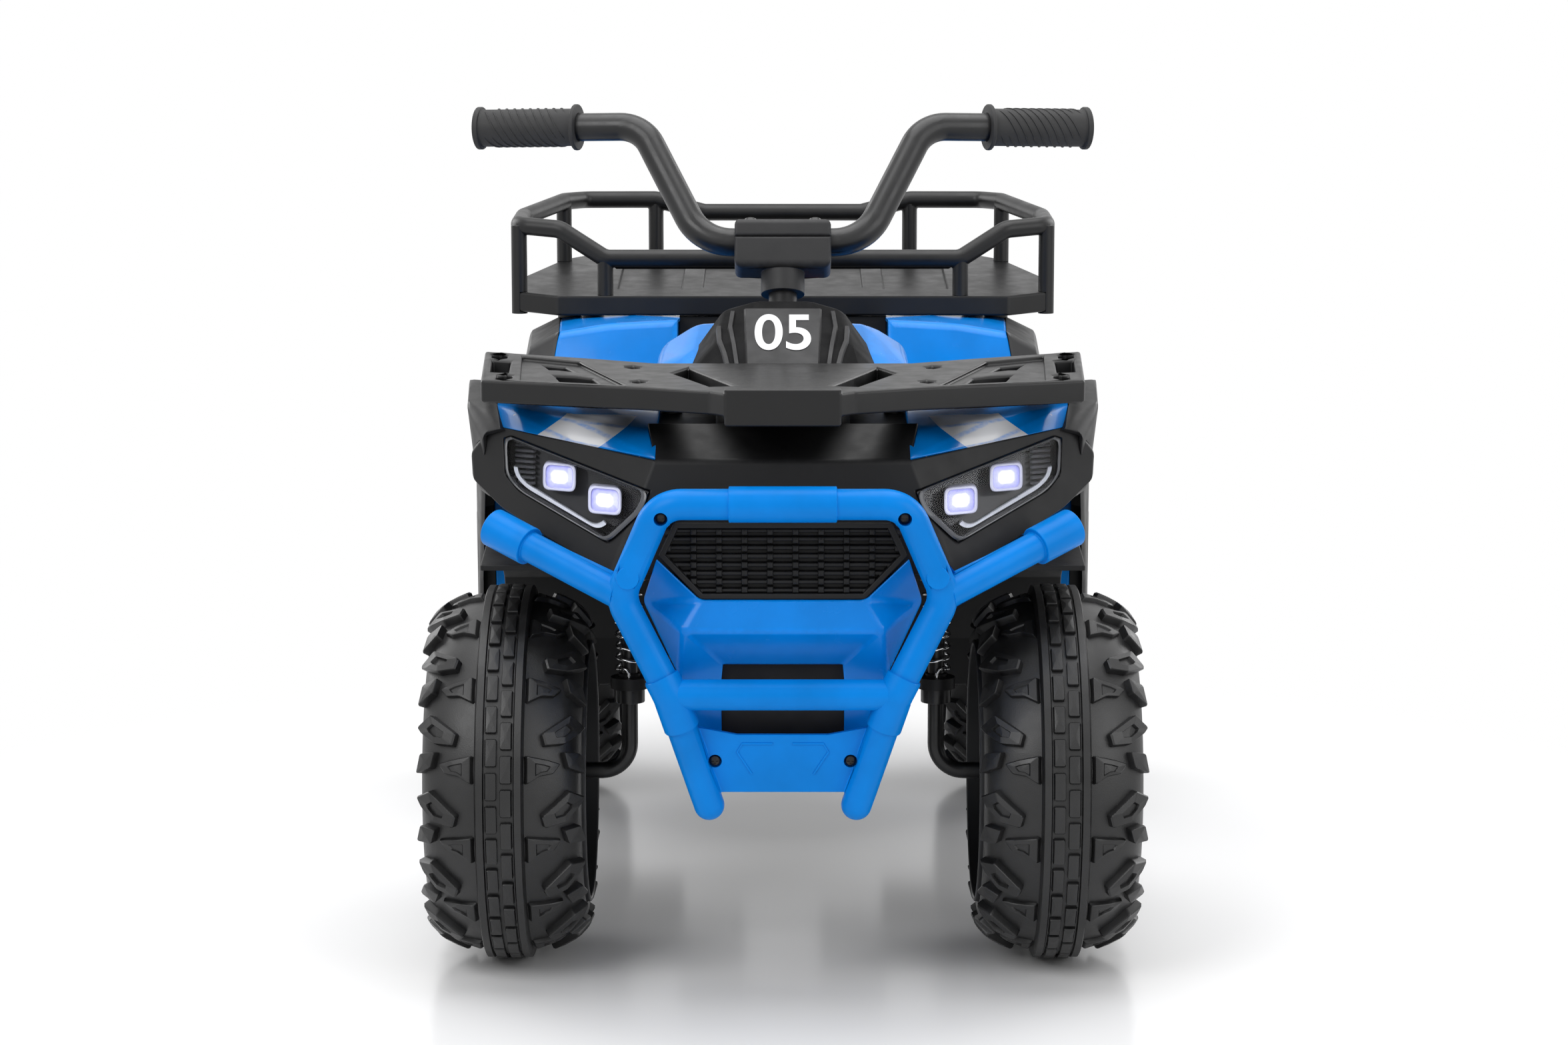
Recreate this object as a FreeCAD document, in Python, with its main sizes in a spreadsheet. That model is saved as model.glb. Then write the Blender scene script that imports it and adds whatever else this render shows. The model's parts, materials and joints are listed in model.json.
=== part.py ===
import FreeCAD, Part
import math
import os
import re

import Sketcher
from FreeCAD import Placement, Rotation, Vector

# A ride-on electric quad bike for a child, built as separate mouldings, rods, wheels and springs.
# Millimetres, +Z up, front towards -Y, the rider's left towards +X, ground at zero height.

os.makedirs("parts", exist_ok=True)
doc = FreeCAD.newDocument("kids_quad_bike")
sheet = doc.addObject("Spreadsheet::Sheet", "sizes")

SIZES = {
    # Whole vehicle
    "wheelbase": 670, "axle_shift": 10.085, "wheel_track": 464, "wheel_diameter": 322,
    "body_half_width": 270, "body_height": 495, "cut_overrun": 4, "running_gap": 0.05, "loose_gap": 0.4,
    "panel_wall": 4, "screw_diameter": 5, "screw_head_diameter": 9, "screw_head_height": 3,
    # Wheels
    "tyre_width": 136, "tyre_wall": 4, "tyre_bead_diameter": 224, "rim_overhang": 1, "rim_wall": 4,
    "rim_web_depth": 18, "rim_recess_depth": 10, "rim_lip": 3.5, "rim_web_wall": 8, "hub_diameter": 34,
    "hub_outer_reach": 32, "hub_inner_reach": 60, "nut_recess_diameter": 42, "rim_window_count": 6,
    "rim_window_inner_width": 14, "rim_window_outer_width": 56, "rim_window_low": 45,
    "rim_window_high": 90, "axle_diameter": 14, "axle_tail": 16, "nut_across_flats": 22,
    "nut_height": 9,
    # Front struts
    "kingpin_offset": 131, "spindle_bend": 24,
    "knuckle_arm_height": 221, "knuckle_arm_wall": 6, "knuckle_arm_reach": 45, "knuckle_arm_width": 18,
    "knuckle_hub_diameter": 26, "knuckle_hub_height": 12, "knuckle_pin_diameter": 8,
    "knuckle_pin_height": 32, "spring_seat_diameter": 32, "spring_seat_height": 10,
    "spring_seat_lip": 3, "spring_coil_diameter": 25, "spring_wire": 2.6, "spring_turns": 7,
    "tower_height": 54, "tower_diameter": 44, "bush_wall": 4,
    "bush_flange": 3,
    # Steering
    "steering_rake": 22, "clamp_rise": 104, "clamp_setback": 205, "column_diameter": 25,
    "column_wall": 3, "column_length": 345, "column_top_depth": 20, "crank_reach": 45, "crank_wall": 6,
    "crank_width": 22, "crank_pin_diameter": 8, "crank_pin_length": 28, "tie_rod_wall": 4,
    "tie_rod_width": 10, "tie_rod_eye_diameter": 20, "tie_rod_height": 242, "tie_rod_gap": 0.5,
    "tie_rod_play": 0.6, "upper_bush_depth": 136, "upper_bush_length": 26, "lower_bush_depth": 284,
    "lower_bush_length": 40, "bush_boss_wall": 4,
    # Handlebar
    "bar_diameter": 25.4, "bar_wall": 2, "bar_drop_bend": 44, "bar_rise_bend": 36,
    "bar_knee_offset": 73, "bar_elbow_offset": 128, "bar_elbow_rise": 101, "bar_elbow_setback": 57,
    "bar_end_offset": 275, "bar_end_rise": 98, "bar_end_setback": 95, "grip_diameter": 34,
    "grip_length": 92, "grip_flange_diameter": 42, "grip_flange_wall": 4, "grip_end_diameter": 39,
    "grip_end_wall": 5, "clamp_width": 86, "clamp_depth": 40, "clamp_base_height": 29,
    "clamp_cap_height": 17, "clamp_split": 0.5, "clamp_stem_diameter": 39,
    "clamp_stem_length": 20, "clamp_bolt_spacing": 58, "clamp_bolt_diameter": 6, "clamp_bolt_depth": 22,
    "clamp_bolt_head_diameter": 15, "clamp_bolt_head_height": 5,
    # Chassis tub
    "core_half_width": 105, "liner_outer": 250, "liner_wall": 5, "keel_half_width": 52,
    "keel_front": 136, "keel_length": 50, "keel_foot_half": 64,
    "keel_foot_height": 26, "bay_length": 245, "bay_half_width": 88, "bay_setback": 345,
    "carrier_inner": 40, "carrier_outer": 88, "carrier_length": 64,
    "axle_plate_wall": 3, "axle_plate_length": 60, "axle_plate_screw_across": 28,
    "axle_plate_screw_along": 44, "axle_plate_screw_depth": 18,
    # Front body
    "fascia_nose": 125, "fascia_wall": 7, "fascia_block": 26, "lamp_depth": 22, "lamp_wall": 3,
    "lens_wall": 3, "lamp_gap": 0.4, "led_width": 21, "led_height": 20,
    "led_length": 9, "grille_front": 147, "grille_depth": 26, "grille_rim": 5, "grille_recess": 9,
    "grille_louvre": 3, "grille_louvre_count": 8, "nose_wall": 6, "nose_post_diameter": 16,
    "bumper_tube": 25,
    "bumper_sleeve": 29, "bumper_bend": 26, "bumper_sleeve_half": 43, "bumper_cap_length": 40,
    "bumper_cap_tube": 32, "bumper_boss_diameter": 18,
    "bumper_screw_depth": 14, "bumper_screw_hole": 11, "skid_wall": 6, "skid_post_diameter": 14,
    "skid_screw_offset": 55, "rack_wall": 19, "rack_lip_wall": 15,
    "rack_hole": 15, "rack_hole_length": 26, "rack_recess": 4, "rack_leg_diameter": 20, "cowl_wall": 4,
    "dash_length": 50, "dash_width": 96, "dash_wall": 15, "dash_tilt": 19.7, "dash_sink": 2.8,
    "dash_rise": 18.8, "button_diameter": 18, "button_height": 11, "button_well": 11,
    "button_travel": 2.5, "button_offset": 26, "rocker_length": 26, "rocker_width": 14,
    "rocker_wall": 9, "rocker_well": 10, "rocker_end_gap": 1.6, "rocker_pin_diameter": 3,
    "rocker_round": 3,
    # Seat
    "seat_setback": 331, "seat_length": 264, "seat_half_width": 100, "seat_base_wall": 10,
    "seat_pad_height": 40, "seat_channel": 5, "seat_plug_drop": 12, "seat_plug_gap": 2,
    # Rear body
    "tray_front": 605, "tray_length": 245, "tray_half_width": 272, "tray_lift": 1, "tray_rise": 24,
    "tray_wall": 20, "tray_recess": 5, "tray_leg_diameter": 24, "rail_height": 103, "rail_tube": 18,
    "rail_bend": 18, "rail_post": 16,
    # Drive
    "gear_module": 2, "gear_teeth": 40, "pinion_teeth": 12, "gear_width": 12, "pinion_width": 15,
    "gear_backlash": 0.3, "gear_hub_diameter": 30, "gear_inset": 8, "case_wall": 4, "case_width": 51,
    "case_gear_gap": 3, "motor_diameter": 36, "motor_length": 52, "motor_shaft": 5,
    "dog_across_flats": 24, "dog_depth": 14, "battery_length": 151, "battery_width": 65,
    "battery_height": 94, "battery_setback": 390, "battery_round": 3,
    # Foot pedal
    "pedal_offset": 180, "pedal_heel_setback": 372, "pedal_length": 92, "pedal_width": 58,
    "pedal_wall": 6, "pedal_tilt": 16, "pedal_pin_diameter": 8, "pedal_pin_height": 9,
    "pedal_ear_wall": 6, "pedal_spring_diameter": 14, "pedal_spring_wire": 1.4,
    "pedal_spring_turns": 3, "pedal_spring_reach": 62,
}

for row, (alias, number) in enumerate(SIZES.items(), start=1):
    sheet.set("A%d" % row, alias)
    sheet.set("B%d" % row, str(number))
    sheet.setAlias("B%d" % row, alias)
doc.recompute()


class Reader:
    """Reads a size from the sheet by its alias."""

    def __getattr__(self, alias):
        return float(getattr(sheet, alias))


mm = Reader()
front_axle_y = mm.axle_shift - mm.wheelbase / 2
rear_axle_y = mm.axle_shift + mm.wheelbase / 2
axle_height = mm.wheel_diameter / 2
tower_foot_share = 2 / 3
keel_low_share = 0.406
carrier_top_share = 4 / 9
dash_share = 0.37015
tower_foot = tower_foot_share * mm.body_height
keel_low = keel_low_share * mm.body_height
carrier_top = carrier_top_share * mm.body_height
pieces = {}

# Body styling points: shares of half width, wheelbase behind the front axle, and body height.
front_fender_shares = [
    [(0.385, -0.173, 0.902), (0.637, -0.107, 0.917), (0.893, -0.040, 0.934)],
    [(0.385, -0.104, 0.936), (0.648, -0.060, 0.946), (0.900, -0.003, 0.964)],
    [(0.385, 0.090, 0.960), (0.659, 0.090, 0.972), (0.911, 0.090, 0.988)],
    [(0.385, 0.209, 0.948), (0.667, 0.216, 0.944), (0.933, 0.224, 0.932)],
    [(0.385, 0.293, 0.800), (0.674, 0.306, 0.770), (0.970, 0.319, 0.730)],
    [(0.385, 0.358, 0.388), (0.674, 0.361, 0.388), (0.970, 0.367, 0.388)],
]
front_fender_inward_shares = [(0, 1, -1), (0, 0, -1), (0, 0, -1), (0, -0.6, -1), (0, -1, -0.3),
                              (0, -1, 0)]
front_flare_shares = [
    [(0.874, -0.057, 0.932), (0.933, -0.048, 0.922), (0.915, -0.051, 0.816)],
    [(0.896, 0.000, 0.968), (0.989, 0.000, 0.964), (0.956, -0.012, 0.824)],
    [(0.907, 0.090, 0.992), (1.000, 0.090, 0.996), (0.974, 0.090, 0.840)],
    [(0.930, 0.224, 0.938), (1.011, 0.224, 0.932), (0.993, 0.224, 0.790)],
    [(0.970, 0.319, 0.734), (1.030, 0.319, 0.726), (1.022, 0.319, 0.600)],
    [(0.970, 0.367, 0.394), (1.037, 0.367, 0.394), (1.037, 0.367, 0.356)],
]
front_flare_inward_shares = [(-1, 1, -0.6), (-1, 0.4, -1), (-1, 0, -1), (-1, -0.6, -1), (-1, -1, -0.4),
                             (-1, -1, 0)]
rear_fender_shares = [
    [(0.385, 0.713, 0.384), (0.648, 0.716, 0.384), (0.907, 0.719, 0.384)],
    [(0.385, 0.722, 0.660), (0.637, 0.725, 0.650), (0.896, 0.728, 0.636)],
    [(0.385, 0.740, 0.920), (0.630, 0.743, 0.910), (0.852, 0.749, 0.884)],
    [(0.385, 0.773, 1.010), (0.630, 0.778, 1.002), (0.822, 0.785, 0.984)],
    [(0.385, 0.970, 0.994), (0.630, 0.970, 1.000), (0.844, 0.970, 0.992)],
    [(0.385, 1.142, 0.968), (0.611, 1.142, 0.972), (0.833, 1.142, 0.940)],
    [(0.385, 1.212, 0.860), (0.593, 1.212, 0.854), (0.796, 1.209, 0.824)],
]
rear_fender_inward_shares = [(0, 1, 0), (0, 1, 0), (0, 1, -0.3), (0, 0.6, -1), (0, 0, -1), (0, -0.6, -1),
                             (0, -1, -0.3)]
rear_flare_shares = [
    [(0.907, 0.719, 0.394), (1.044, 0.719, 0.394), (1.044, 0.719, 0.356)],
    [(0.896, 0.728, 0.636), (1.022, 0.728, 0.620), (1.037, 0.728, 0.580)],
    [(0.852, 0.749, 0.884), (0.970, 0.749, 0.850), (1.000, 0.749, 0.760)],
    [(0.822, 0.785, 0.986), (0.933, 0.785, 0.952), (0.978, 0.785, 0.820)],
    [(0.844, 0.970, 0.994), (0.956, 0.970, 0.964), (1.000, 0.970, 0.840)],
    [(0.833, 1.142, 0.942), (0.944, 1.142, 0.910), (0.985, 1.142, 0.800)],
    [(0.796, 1.209, 0.824), (0.896, 1.209, 0.796), (0.933, 1.209, 0.720)],
]
rear_flare_inward_shares = [
    (-1, 1, 0), (-1, 1, 0), (-1, 1, -0.4), (-1, 0.6, -1), (-1, 0, -1), (-1, -0.6, -1), (-1, -1, -0.4)]
tank_cover_shares = [
    [(0.407, 0.093, 0.910), (0.393, 0.093, 0.960), (0.267, 0.093, 0.976), (0.000, 0.093, 0.978)],
    [(0.437, 0.194, 0.910), (0.415, 0.194, 1.000), (0.311, 0.194, 1.024), (0.000, 0.194, 1.028)],
    [(0.437, 0.299, 0.900), (0.407, 0.299, 1.024), (0.289, 0.299, 1.064), (0.000, 0.299, 1.072)],
    [(0.400, 0.440, 0.860), (0.363, 0.440, 0.964), (0.259, 0.440, 0.996), (0.000, 0.440, 1.004)],
    [(0.385, 0.481, 0.848), (0.341, 0.481, 0.890), (0.244, 0.481, 0.908), (0.000, 0.481, 0.914)],
]
cowl_shares = [
    [(0.270, 0.088, 0.968), (0.174, 0.088, 1.006), (0.081, 0.088, 1.014), (0.000, 0.088, 1.014)],
    [(0.322, 0.142, 0.988), (0.222, 0.142, 1.048), (0.104, 0.142, 1.060), (0.000, 0.142, 1.060)],
    [(0.290, 0.224, 1.026), (0.193, 0.224, 1.099), (0.089, 0.224, 1.115), (0.000, 0.224, 1.115)],
    [(0.240, 0.246, 1.034), (0.156, 0.246, 1.086), (0.074, 0.246, 1.100), (0.000, 0.246, 1.100)],
]
nose_shares = {
    "brow": (0.248, -0.224, 0.676), "cheek": (0.378, -0.224, 0.744), "wing": (0.422, -0.194, 0.668),
    "crease": (0.300, -0.239, 0.628), "jaw": (0.315, -0.224, 0.552), "mouth": (0.181, -0.212, 0.566),
    "chin": (0.267, -0.209, 0.480), "lip": (0.200, -0.197, 0.458)}
core_shares = [
    (-0.155, 0.670), (-0.155, 0.884), (-0.030, 0.932), (0.090, 0.948), (0.254, 0.932), (0.481, 0.850),
    (0.903, 0.850), (0.913, 1.000), (1.194, 1.006), (1.216, 0.860), (1.142, 0.510), (1.045, 0.410),
    (0.896, 0.380), (0.346, 0.380), (0.293, 0.480), (0.257, 0.670)]
liner_shares = [
    (-0.131, 0.704), (0.000, 0.728), (0.134, 0.700), (0.246, 0.610), (0.316, 0.480), (0.346, 0.384),
    (0.713, 0.376), (0.725, 0.644)]
fascia_shares = [
    (0.385, 0.898), (0.904, 0.934), (0.970, 0.888), (0.963, 0.844), (0.867, 0.802), (0.715, 0.760),
    (0.517, 0.712)]
fascia_pivot_share = (0.389, 0.848)
fascia_sweep_share = 0.6
fascia_lean_share = 0.38
hood_shares = (0.415, -0.090, 0.948)
lamp_shares = [
    (0.402, 0.848), (0.426, 0.816), (0.530, 0.762), (0.813, 0.832), (0.856, 0.856), (0.863, 0.914),
    (0.841, 0.918)]
led_shares = [(0.685, 0.857), (0.541, 0.826)]
grille_shares = [(0.326, 0.804), (0.374, 0.748), (0.248, 0.676)]
bumper_hoop_shares = [
    (0.222, -0.236, 0.338), (0.335, -0.269, 0.531), (0.485, -0.257, 0.690), (0.363, -0.281, 0.846)]
bumper_arm_shares = [(0.485, -0.257, 0.694), (0.881, -0.149, 0.782)]
skid_shares = [(0.267, 0.474), (0.137, 0.460), (0.222, 0.360)]
skid_top_share = -0.254
skid_low_share = -0.239
skid_screw_share = 0.475
bumper_boss_shares = [(0.99, 0.861), (1.265, 0.226)]
nose_post_shares = (0.3333, -0.2015, 0.685)
rack_centre_shares = [(0.173, -0.261, 0.984), (0.217, -0.239, 0.984), (0.407, -0.197, 0.984)]
rack_tip_shares = [(0.926, -0.090, 0.980), (0.948, 0.090, 1.004)]
rack_root_shares = (0.407, 0.082, 0.984)
rack_lip_shares = (0.968, 1.028)
rack_slot_shares = [
    [(0.84, 0.30), (0.95, 0.30), (0.95, 0.72), (0.84, 0.72)],
    [(0.44, 0.56), (0.60, 0.58), (0.66, 0.80), (0.52, 0.78)],
    [(0.29, 0.20), (0.52, 0.22), (0.57, 0.42), (0.34, 0.38)],
]
rack_recess_shares = [(0.12, 0.06), (0.76, 0.06), (0.78, 0.92), (0.44, 0.86)]
rack_notch_shares = [(0.297, 0.034), (0.141, -0.180), (0.220, -0.190), (0.350, -0.034)]
rack_hole_shares = [(0.91, 0.86), (0.86, 0.15), (0.12, 0.78), (0.06, 0.22)]
rack_leg_shares = [(0.17, -0.06), (0.355, 0.05)]
seat_shares = [
    (0.00, 0.66, 0.62), (0.06, 0.74, 0.90), (0.22, 0.86, 0.90), (0.50, 0.97, 0.80), (0.78, 1.00, 0.92),
    (0.94, 0.97, 1.00), (1.00, 0.90, 0.72)]
seat_section_shares = [(0.94, 0.0), (1.0, 0.42), (0.93, 0.80), (0.60, 0.985), (0.0, 1.0)]
tray_shares = [(0.30, 0.0), (0.84, 0.0), (1.0, 0.10), (1.0, 0.42), (0.86, 0.88), (0.76, 1.0)]
tray_panel_shares = [(0.07, 0.30, 0.20, 0.80), (0.38, 0.62, 0.16, 0.82)]
rail_shares = [
    (0.66, 0.035, 0.557), (0.83, 0.06, 0.84), (0.985, 0.12, 0.868), (0.985, 0.42, 0.906),
    (0.855, 0.84, 1.00), (0.78, 0.97, 1.00), (0.50, 0.98, 1.00), (0.31, 0.98, 0.868)]
tray_leg_shares = [(0.80, 0.16), (0.74, 0.62), (0.25, 0.30)]


def spot(shares):
    """Point of the body from its three shares."""
    x, y, z = shares
    return Vector(x * mm.body_half_width, front_axle_y + y * mm.wheelbase, z * mm.body_height)


def bound(text):
    """The same sum with every alias looked up in the sheet."""
    return re.sub(r"[a-z]\w*",
                  lambda word: "sizes." + word.group() if word.group() in SIZES else word.group(), text)


def worth(text):
    """Number that a sum of aliases comes to now."""
    return float(sheet.evalExpression(text))


def keep(label, item):
    """Register a finished document object as a node."""
    item.Label = label
    pieces[label] = item
    return item


def shaped(label, shape):
    """A document object that holds a shape made with the Part functions."""
    item = doc.addObject("Part::Feature", label)
    item.Shape = shape
    return keep(label, item)


def placed(item, x="0", y="0", z="0"):
    """Bind the place of a document object."""
    item.setExpression("Placement.Base.x", bound(x))
    item.setExpression("Placement.Base.y", bound(y))
    item.setExpression("Placement.Base.z", bound(z))
    return item


def sketch(body, role, corners=(), circles=(), lift="0"):
    """A sketch of straight outlines and circles, each corner bound to the sheet."""
    drawing = body.newObject("Sketcher::SketchObject", body.Name + "_sketch")
    plane = next(item for item in body.Origin.OriginFeatures if item.Role == role)
    drawing.AttachmentSupport = [(plane, "")]
    drawing.MapMode = "FlatFace"
    drawing.setExpression("AttachmentOffset.Base.z", bound(lift))
    count = len(corners)
    spots = [Vector(worth(across), worth(up), 0) for across, up in corners]
    for index in range(count):
        drawing.addGeometry(Part.LineSegment(spots[index], spots[(index + 1) % count]), False)
    for index in range(count):
        drawing.addConstraint(Sketcher.Constraint("Coincident", index, 2, (index + 1) % count, 1))
    for index, texts in enumerate(corners):
        for kind, text in zip(("DistanceX", "DistanceY"), texts):
            number = drawing.addConstraint(Sketcher.Constraint(kind, -1, 1, index, 1, worth(text)))
            drawing.setExpression("Constraints[%d]" % number, bound(text))
    for across, up, radius in circles:
        ring = drawing.addGeometry(Part.Circle(Vector(worth(across), worth(up), 0), Vector(0, 0, 1),
                                               worth(radius)), False)
        number = drawing.addConstraint(Sketcher.Constraint("Radius", ring, worth(radius)))
        drawing.setExpression("Constraints[%d]" % number, bound(radius))
        for kind, text in (("DistanceX", across), ("DistanceY", up)):
            number = drawing.addConstraint(Sketcher.Constraint(kind, -1, 1, ring, 3, worth(text)))
            drawing.setExpression("Constraints[%d]" % number, bound(text))
    return drawing


def box_corners(half_width, low, high):
    """Corners of a rectangle that is centred across."""
    return [("-(%s)" % half_width, low), (half_width, low), (half_width, high),
            ("-(%s)" % half_width, high)]


def pad(body, drawing, length, side="One side", reverse=False):
    """Pad a sketch by a bound length."""
    feature = body.newObject("PartDesign::Pad", body.Name + "_pad")
    feature.Profile = drawing
    feature.SideType = side
    feature.Reversed = reverse
    feature.setExpression("Length", bound(length))
    doc.recompute()
    return feature


def pocket(body, drawing, length, side="One side", reverse=False):
    """Cut a sketch into the body and make sure that it took something away."""
    before = body.Shape.Volume
    feature = body.newObject("PartDesign::Pocket", body.Name + "_pocket")
    feature.Profile = drawing
    feature.SideType = side
    feature.Reversed = reverse
    feature.setExpression("Length", bound(length))
    doc.recompute()
    if body.Shape.Volume >= before:
        raise RuntimeError("pocket cuts nothing in " + body.Name)
    return feature


def turned(label, corners, role="XZ_Plane", axis="H_Axis"):
    """A body turned about a sketch axis."""
    body = doc.addObject("PartDesign::Body", label)
    drawing = sketch(body, role, corners)
    feature = body.newObject("PartDesign::Revolution", label + "_turn")
    feature.Profile = drawing
    feature.ReferenceAxis = (drawing, [axis])
    feature.Angle = 360
    doc.recompute()
    return keep(label, body)


def around(body, feature, role, count):
    """Repeat a feature about an axis of its own body."""
    pattern = body.newObject("PartDesign::PolarPattern", body.Name + "_pattern")
    pattern.Originals = [feature]
    axis = next(item for item in body.Origin.OriginFeatures if item.Role == role)
    pattern.Axis = (axis, [""])
    pattern.Angle = 360
    body.Tip = pattern
    pattern.setExpression("Occurrences", bound(count))
    doc.recompute()
    return pattern


def flat_face(points):
    """Plane face through its corners."""
    return Part.Face(Part.makePolygon(list(points) + [points[0]]))


def prism(points, shift):
    """Solid that a plane outline sweeps along a straight line."""
    return flat_face(points).extrude(shift)


def patch(corners):
    """One face for flat corners, two for a warped quad."""
    if len(corners) == 4:
        first, second, third, fourth = corners
        normal = (second - first).cross(third - first)
        reach = abs(normal.dot(fourth - first)) / max(normal.Length, mm.running_gap)
        if reach > mm.running_gap / 1000:
            return [flat_face([first, second, third]), flat_face([first, third, fourth])]
    return [flat_face(corners)]


def thick_sheet(points, faces, shifts):
    """Solid between a sheet of facets and the same sheet moved by each point's shift."""
    under = [point + shift for point, shift in zip(points, shifts)]
    skins = []
    rims = {}
    for face in faces:
        skins += patch([points[index] for index in face])
        skins += patch([under[index] for index in face])
        for start, end in zip(face, face[1:] + face[:1]):
            key = tuple(sorted((start, end)))
            rims[key] = rims.get(key, 0) + 1
    for (start, end), uses in rims.items():
        if uses == 1:
            skins += patch([points[start], points[end], under[end], under[start]])
    shell = Part.Shell(skins)
    shell.sewShape()
    solid = Part.Solid(Part.Shell(shell.Faces))
    if solid.Volume < 0:
        solid.reverse()
    return solid


def panel(rows, inward_rows, wall):
    """Panel from rows of points, thickened by a direction for each row or each point."""
    width = len(rows[0])
    points = [point for row in rows for point in row]
    shifts = []
    for row, inward in zip(rows, inward_rows):
        inwards = inward if isinstance(inward, list) else [inward] * width
        shifts += [Vector(*direction) * wall for direction in inwards]
    faces = []
    for down in range(len(rows) - 1):
        for across in range(width - 1):
            corner = down * width + across
            faces.append([corner, corner + 1, corner + width + 1, corner + width])
    return thick_sheet(points, faces, shifts)


def vault(half_rows, wall):
    """Arched cover from half rows that end on the centre line."""
    rows = []
    inwards = []
    for half in half_rows:
        mirror = [Vector(-point.x, point.y, point.z) for point in reversed(half[:-1])]
        rows.append(list(half) + mirror)
        sides = [-1] * (len(half) - 1)
        inwards.append([(side, 0, -1) for side in sides] + [(0, 0, -1)] + [(-side, 0,
                                                                            -1) for side in sides])
    return panel(rows, inwards, wall)


def mirrored(shape):
    """The same shape on the other side of the bike."""
    return shape.mirror(Vector(0, 0, 0), Vector(1, 0, 0))


def pair(shape):
    """A shape and its mirror image as two separate solids."""
    return Part.makeCompound([shape, mirrored(shape)])


def tidy(shape, least_share=0.02):
    """Drop crumbs that a cut leaves behind."""
    solids = sorted(shape.Solids, key=lambda solid: solid.Volume)
    largest = solids[-1].Volume
    kept = [solid for solid in solids if solid.Volume > largest * least_share]
    return kept[0] if len(kept) == 1 else Part.makeCompound(kept)


def fitted(shape, *labels):
    """Trim a moulding where it would run into pieces that are already there."""
    for label in labels:
        other = pieces[label].Shape
        if shape.BoundBox.intersect(other.BoundBox):
            shape = shape.cut(other)
    return tidy(shape)


def rod(start, end, radius):
    """Round bar between two points."""
    return Part.makeCylinder(radius, (end - start).Length, start, end - start)


def ball(centre, radius):
    """Round end."""
    return Part.makeSphere(radius, centre)


def fillet_path(points, bend):
    """Wire of straights with round bends at the inner corners."""
    bends = bend if isinstance(bend, list) else [bend] * (len(points) - 2)
    edges = []
    last = points[0]
    for before, corner, after, radius in zip(points, points[1:], points[2:], bends):
        back = (before - corner).normalize()
        ahead = (after - corner).normalize()
        half = back.getAngle(ahead) / 2
        reach = radius / math.tan(half)
        start = corner + back * reach
        end = corner + ahead * reach
        middle = corner + (back + ahead).normalize() * (radius / math.sin(half) - radius)
        if (start - last).Length > mm.running_gap:
            edges.append(Part.makeLine(last, start))
        edges.append(Part.Arc(start, middle, end).toShape())
        last = end
    edges.append(Part.makeLine(last, points[-1]))
    return Part.Wire(edges)


def pipe(wire, radius, start, direction):
    """Round tube swept along a wire."""
    profile = Part.Wire([Part.makeCircle(radius, start, direction)])
    return wire.makePipeShell([profile], True, False)


def tube(points, radius, bend):
    """Bent round tube through points."""
    return pipe(fillet_path(points, bend), radius, points[0], points[1] - points[0])


def biarc(start, start_way, end, end_way):
    """Two arcs that join two points in the given directions."""
    span = end - start
    both = start_way + end_way
    open_share = 2 * (1 - start_way.dot(end_way))
    slack = span.dot(both)
    if open_share < 1e-9:
        reach = span.dot(span) / (4 * span.dot(end_way))
    else:
        reach = (math.sqrt(slack * slack + open_share * span.dot(span)) - slack) / open_share
    first = start + start_way * reach
    second = end - end_way * reach
    joint = (first + second) / 2
    edges = []
    for near, corner, far in ((start, first, joint), (joint, second, end)):
        chord = (near + far) / 2
        lean = (corner - near).getAngle(far - near)
        middle = chord + (corner - chord) * (math.tan(lean / 2) / math.tan(lean))
        edges.append(Part.Arc(near, middle, far).toShape())
    return edges


def coil(base, diameter, wire, height, turns):
    """Open coil spring on a base point, its two ends run straight into the seats."""
    radius = (diameter - wire) / 2
    lead = wire * 3
    climb = height - 2 * lead
    steps = int(turns) * 4
    turn = math.pi / 2

    def on_coil(step):
        angle = step * turn
        return base + Vector(radius * math.cos(angle), radius * math.sin(angle),
                             lead + climb * step / steps)

    def way(step):
        angle = step * turn
        rise = climb / steps / turn
        return Vector(-radius * math.sin(angle), radius * math.cos(angle), rise).normalize()

    up = Vector(0, 0, 1)
    foot = base + Vector(radius * math.cos(-turn), radius * math.sin(-turn), 0)
    top_angle = (steps + 1) * turn
    head = base + Vector(radius * math.cos(top_angle), radius * math.sin(top_angle), height)
    edges = [Part.makeLine(foot, foot + up * wire)]
    edges += biarc(foot + up * wire, up, on_coil(0), way(0))
    for step in range(steps):
        edges += biarc(on_coil(step), way(step), on_coil(step + 1), way(step + 1))
    edges += biarc(on_coil(steps), way(steps), head - up * wire, up)
    edges.append(Part.makeLine(head - up * wire, head))
    path = Part.Wire(edges)
    points = path.discretize(Number=steps * 24)
    apart = int(len(points) / (turns + 1) / 2)
    least = min((points[i] - points[j]).Length for i in range(0, len(points), 3)
                for j in range(i + apart, len(points), 3))
    print("coil gap to itself %.2f mm" % (least - wire))
    return pipe(path, wire / 2, foot, up)


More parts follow.
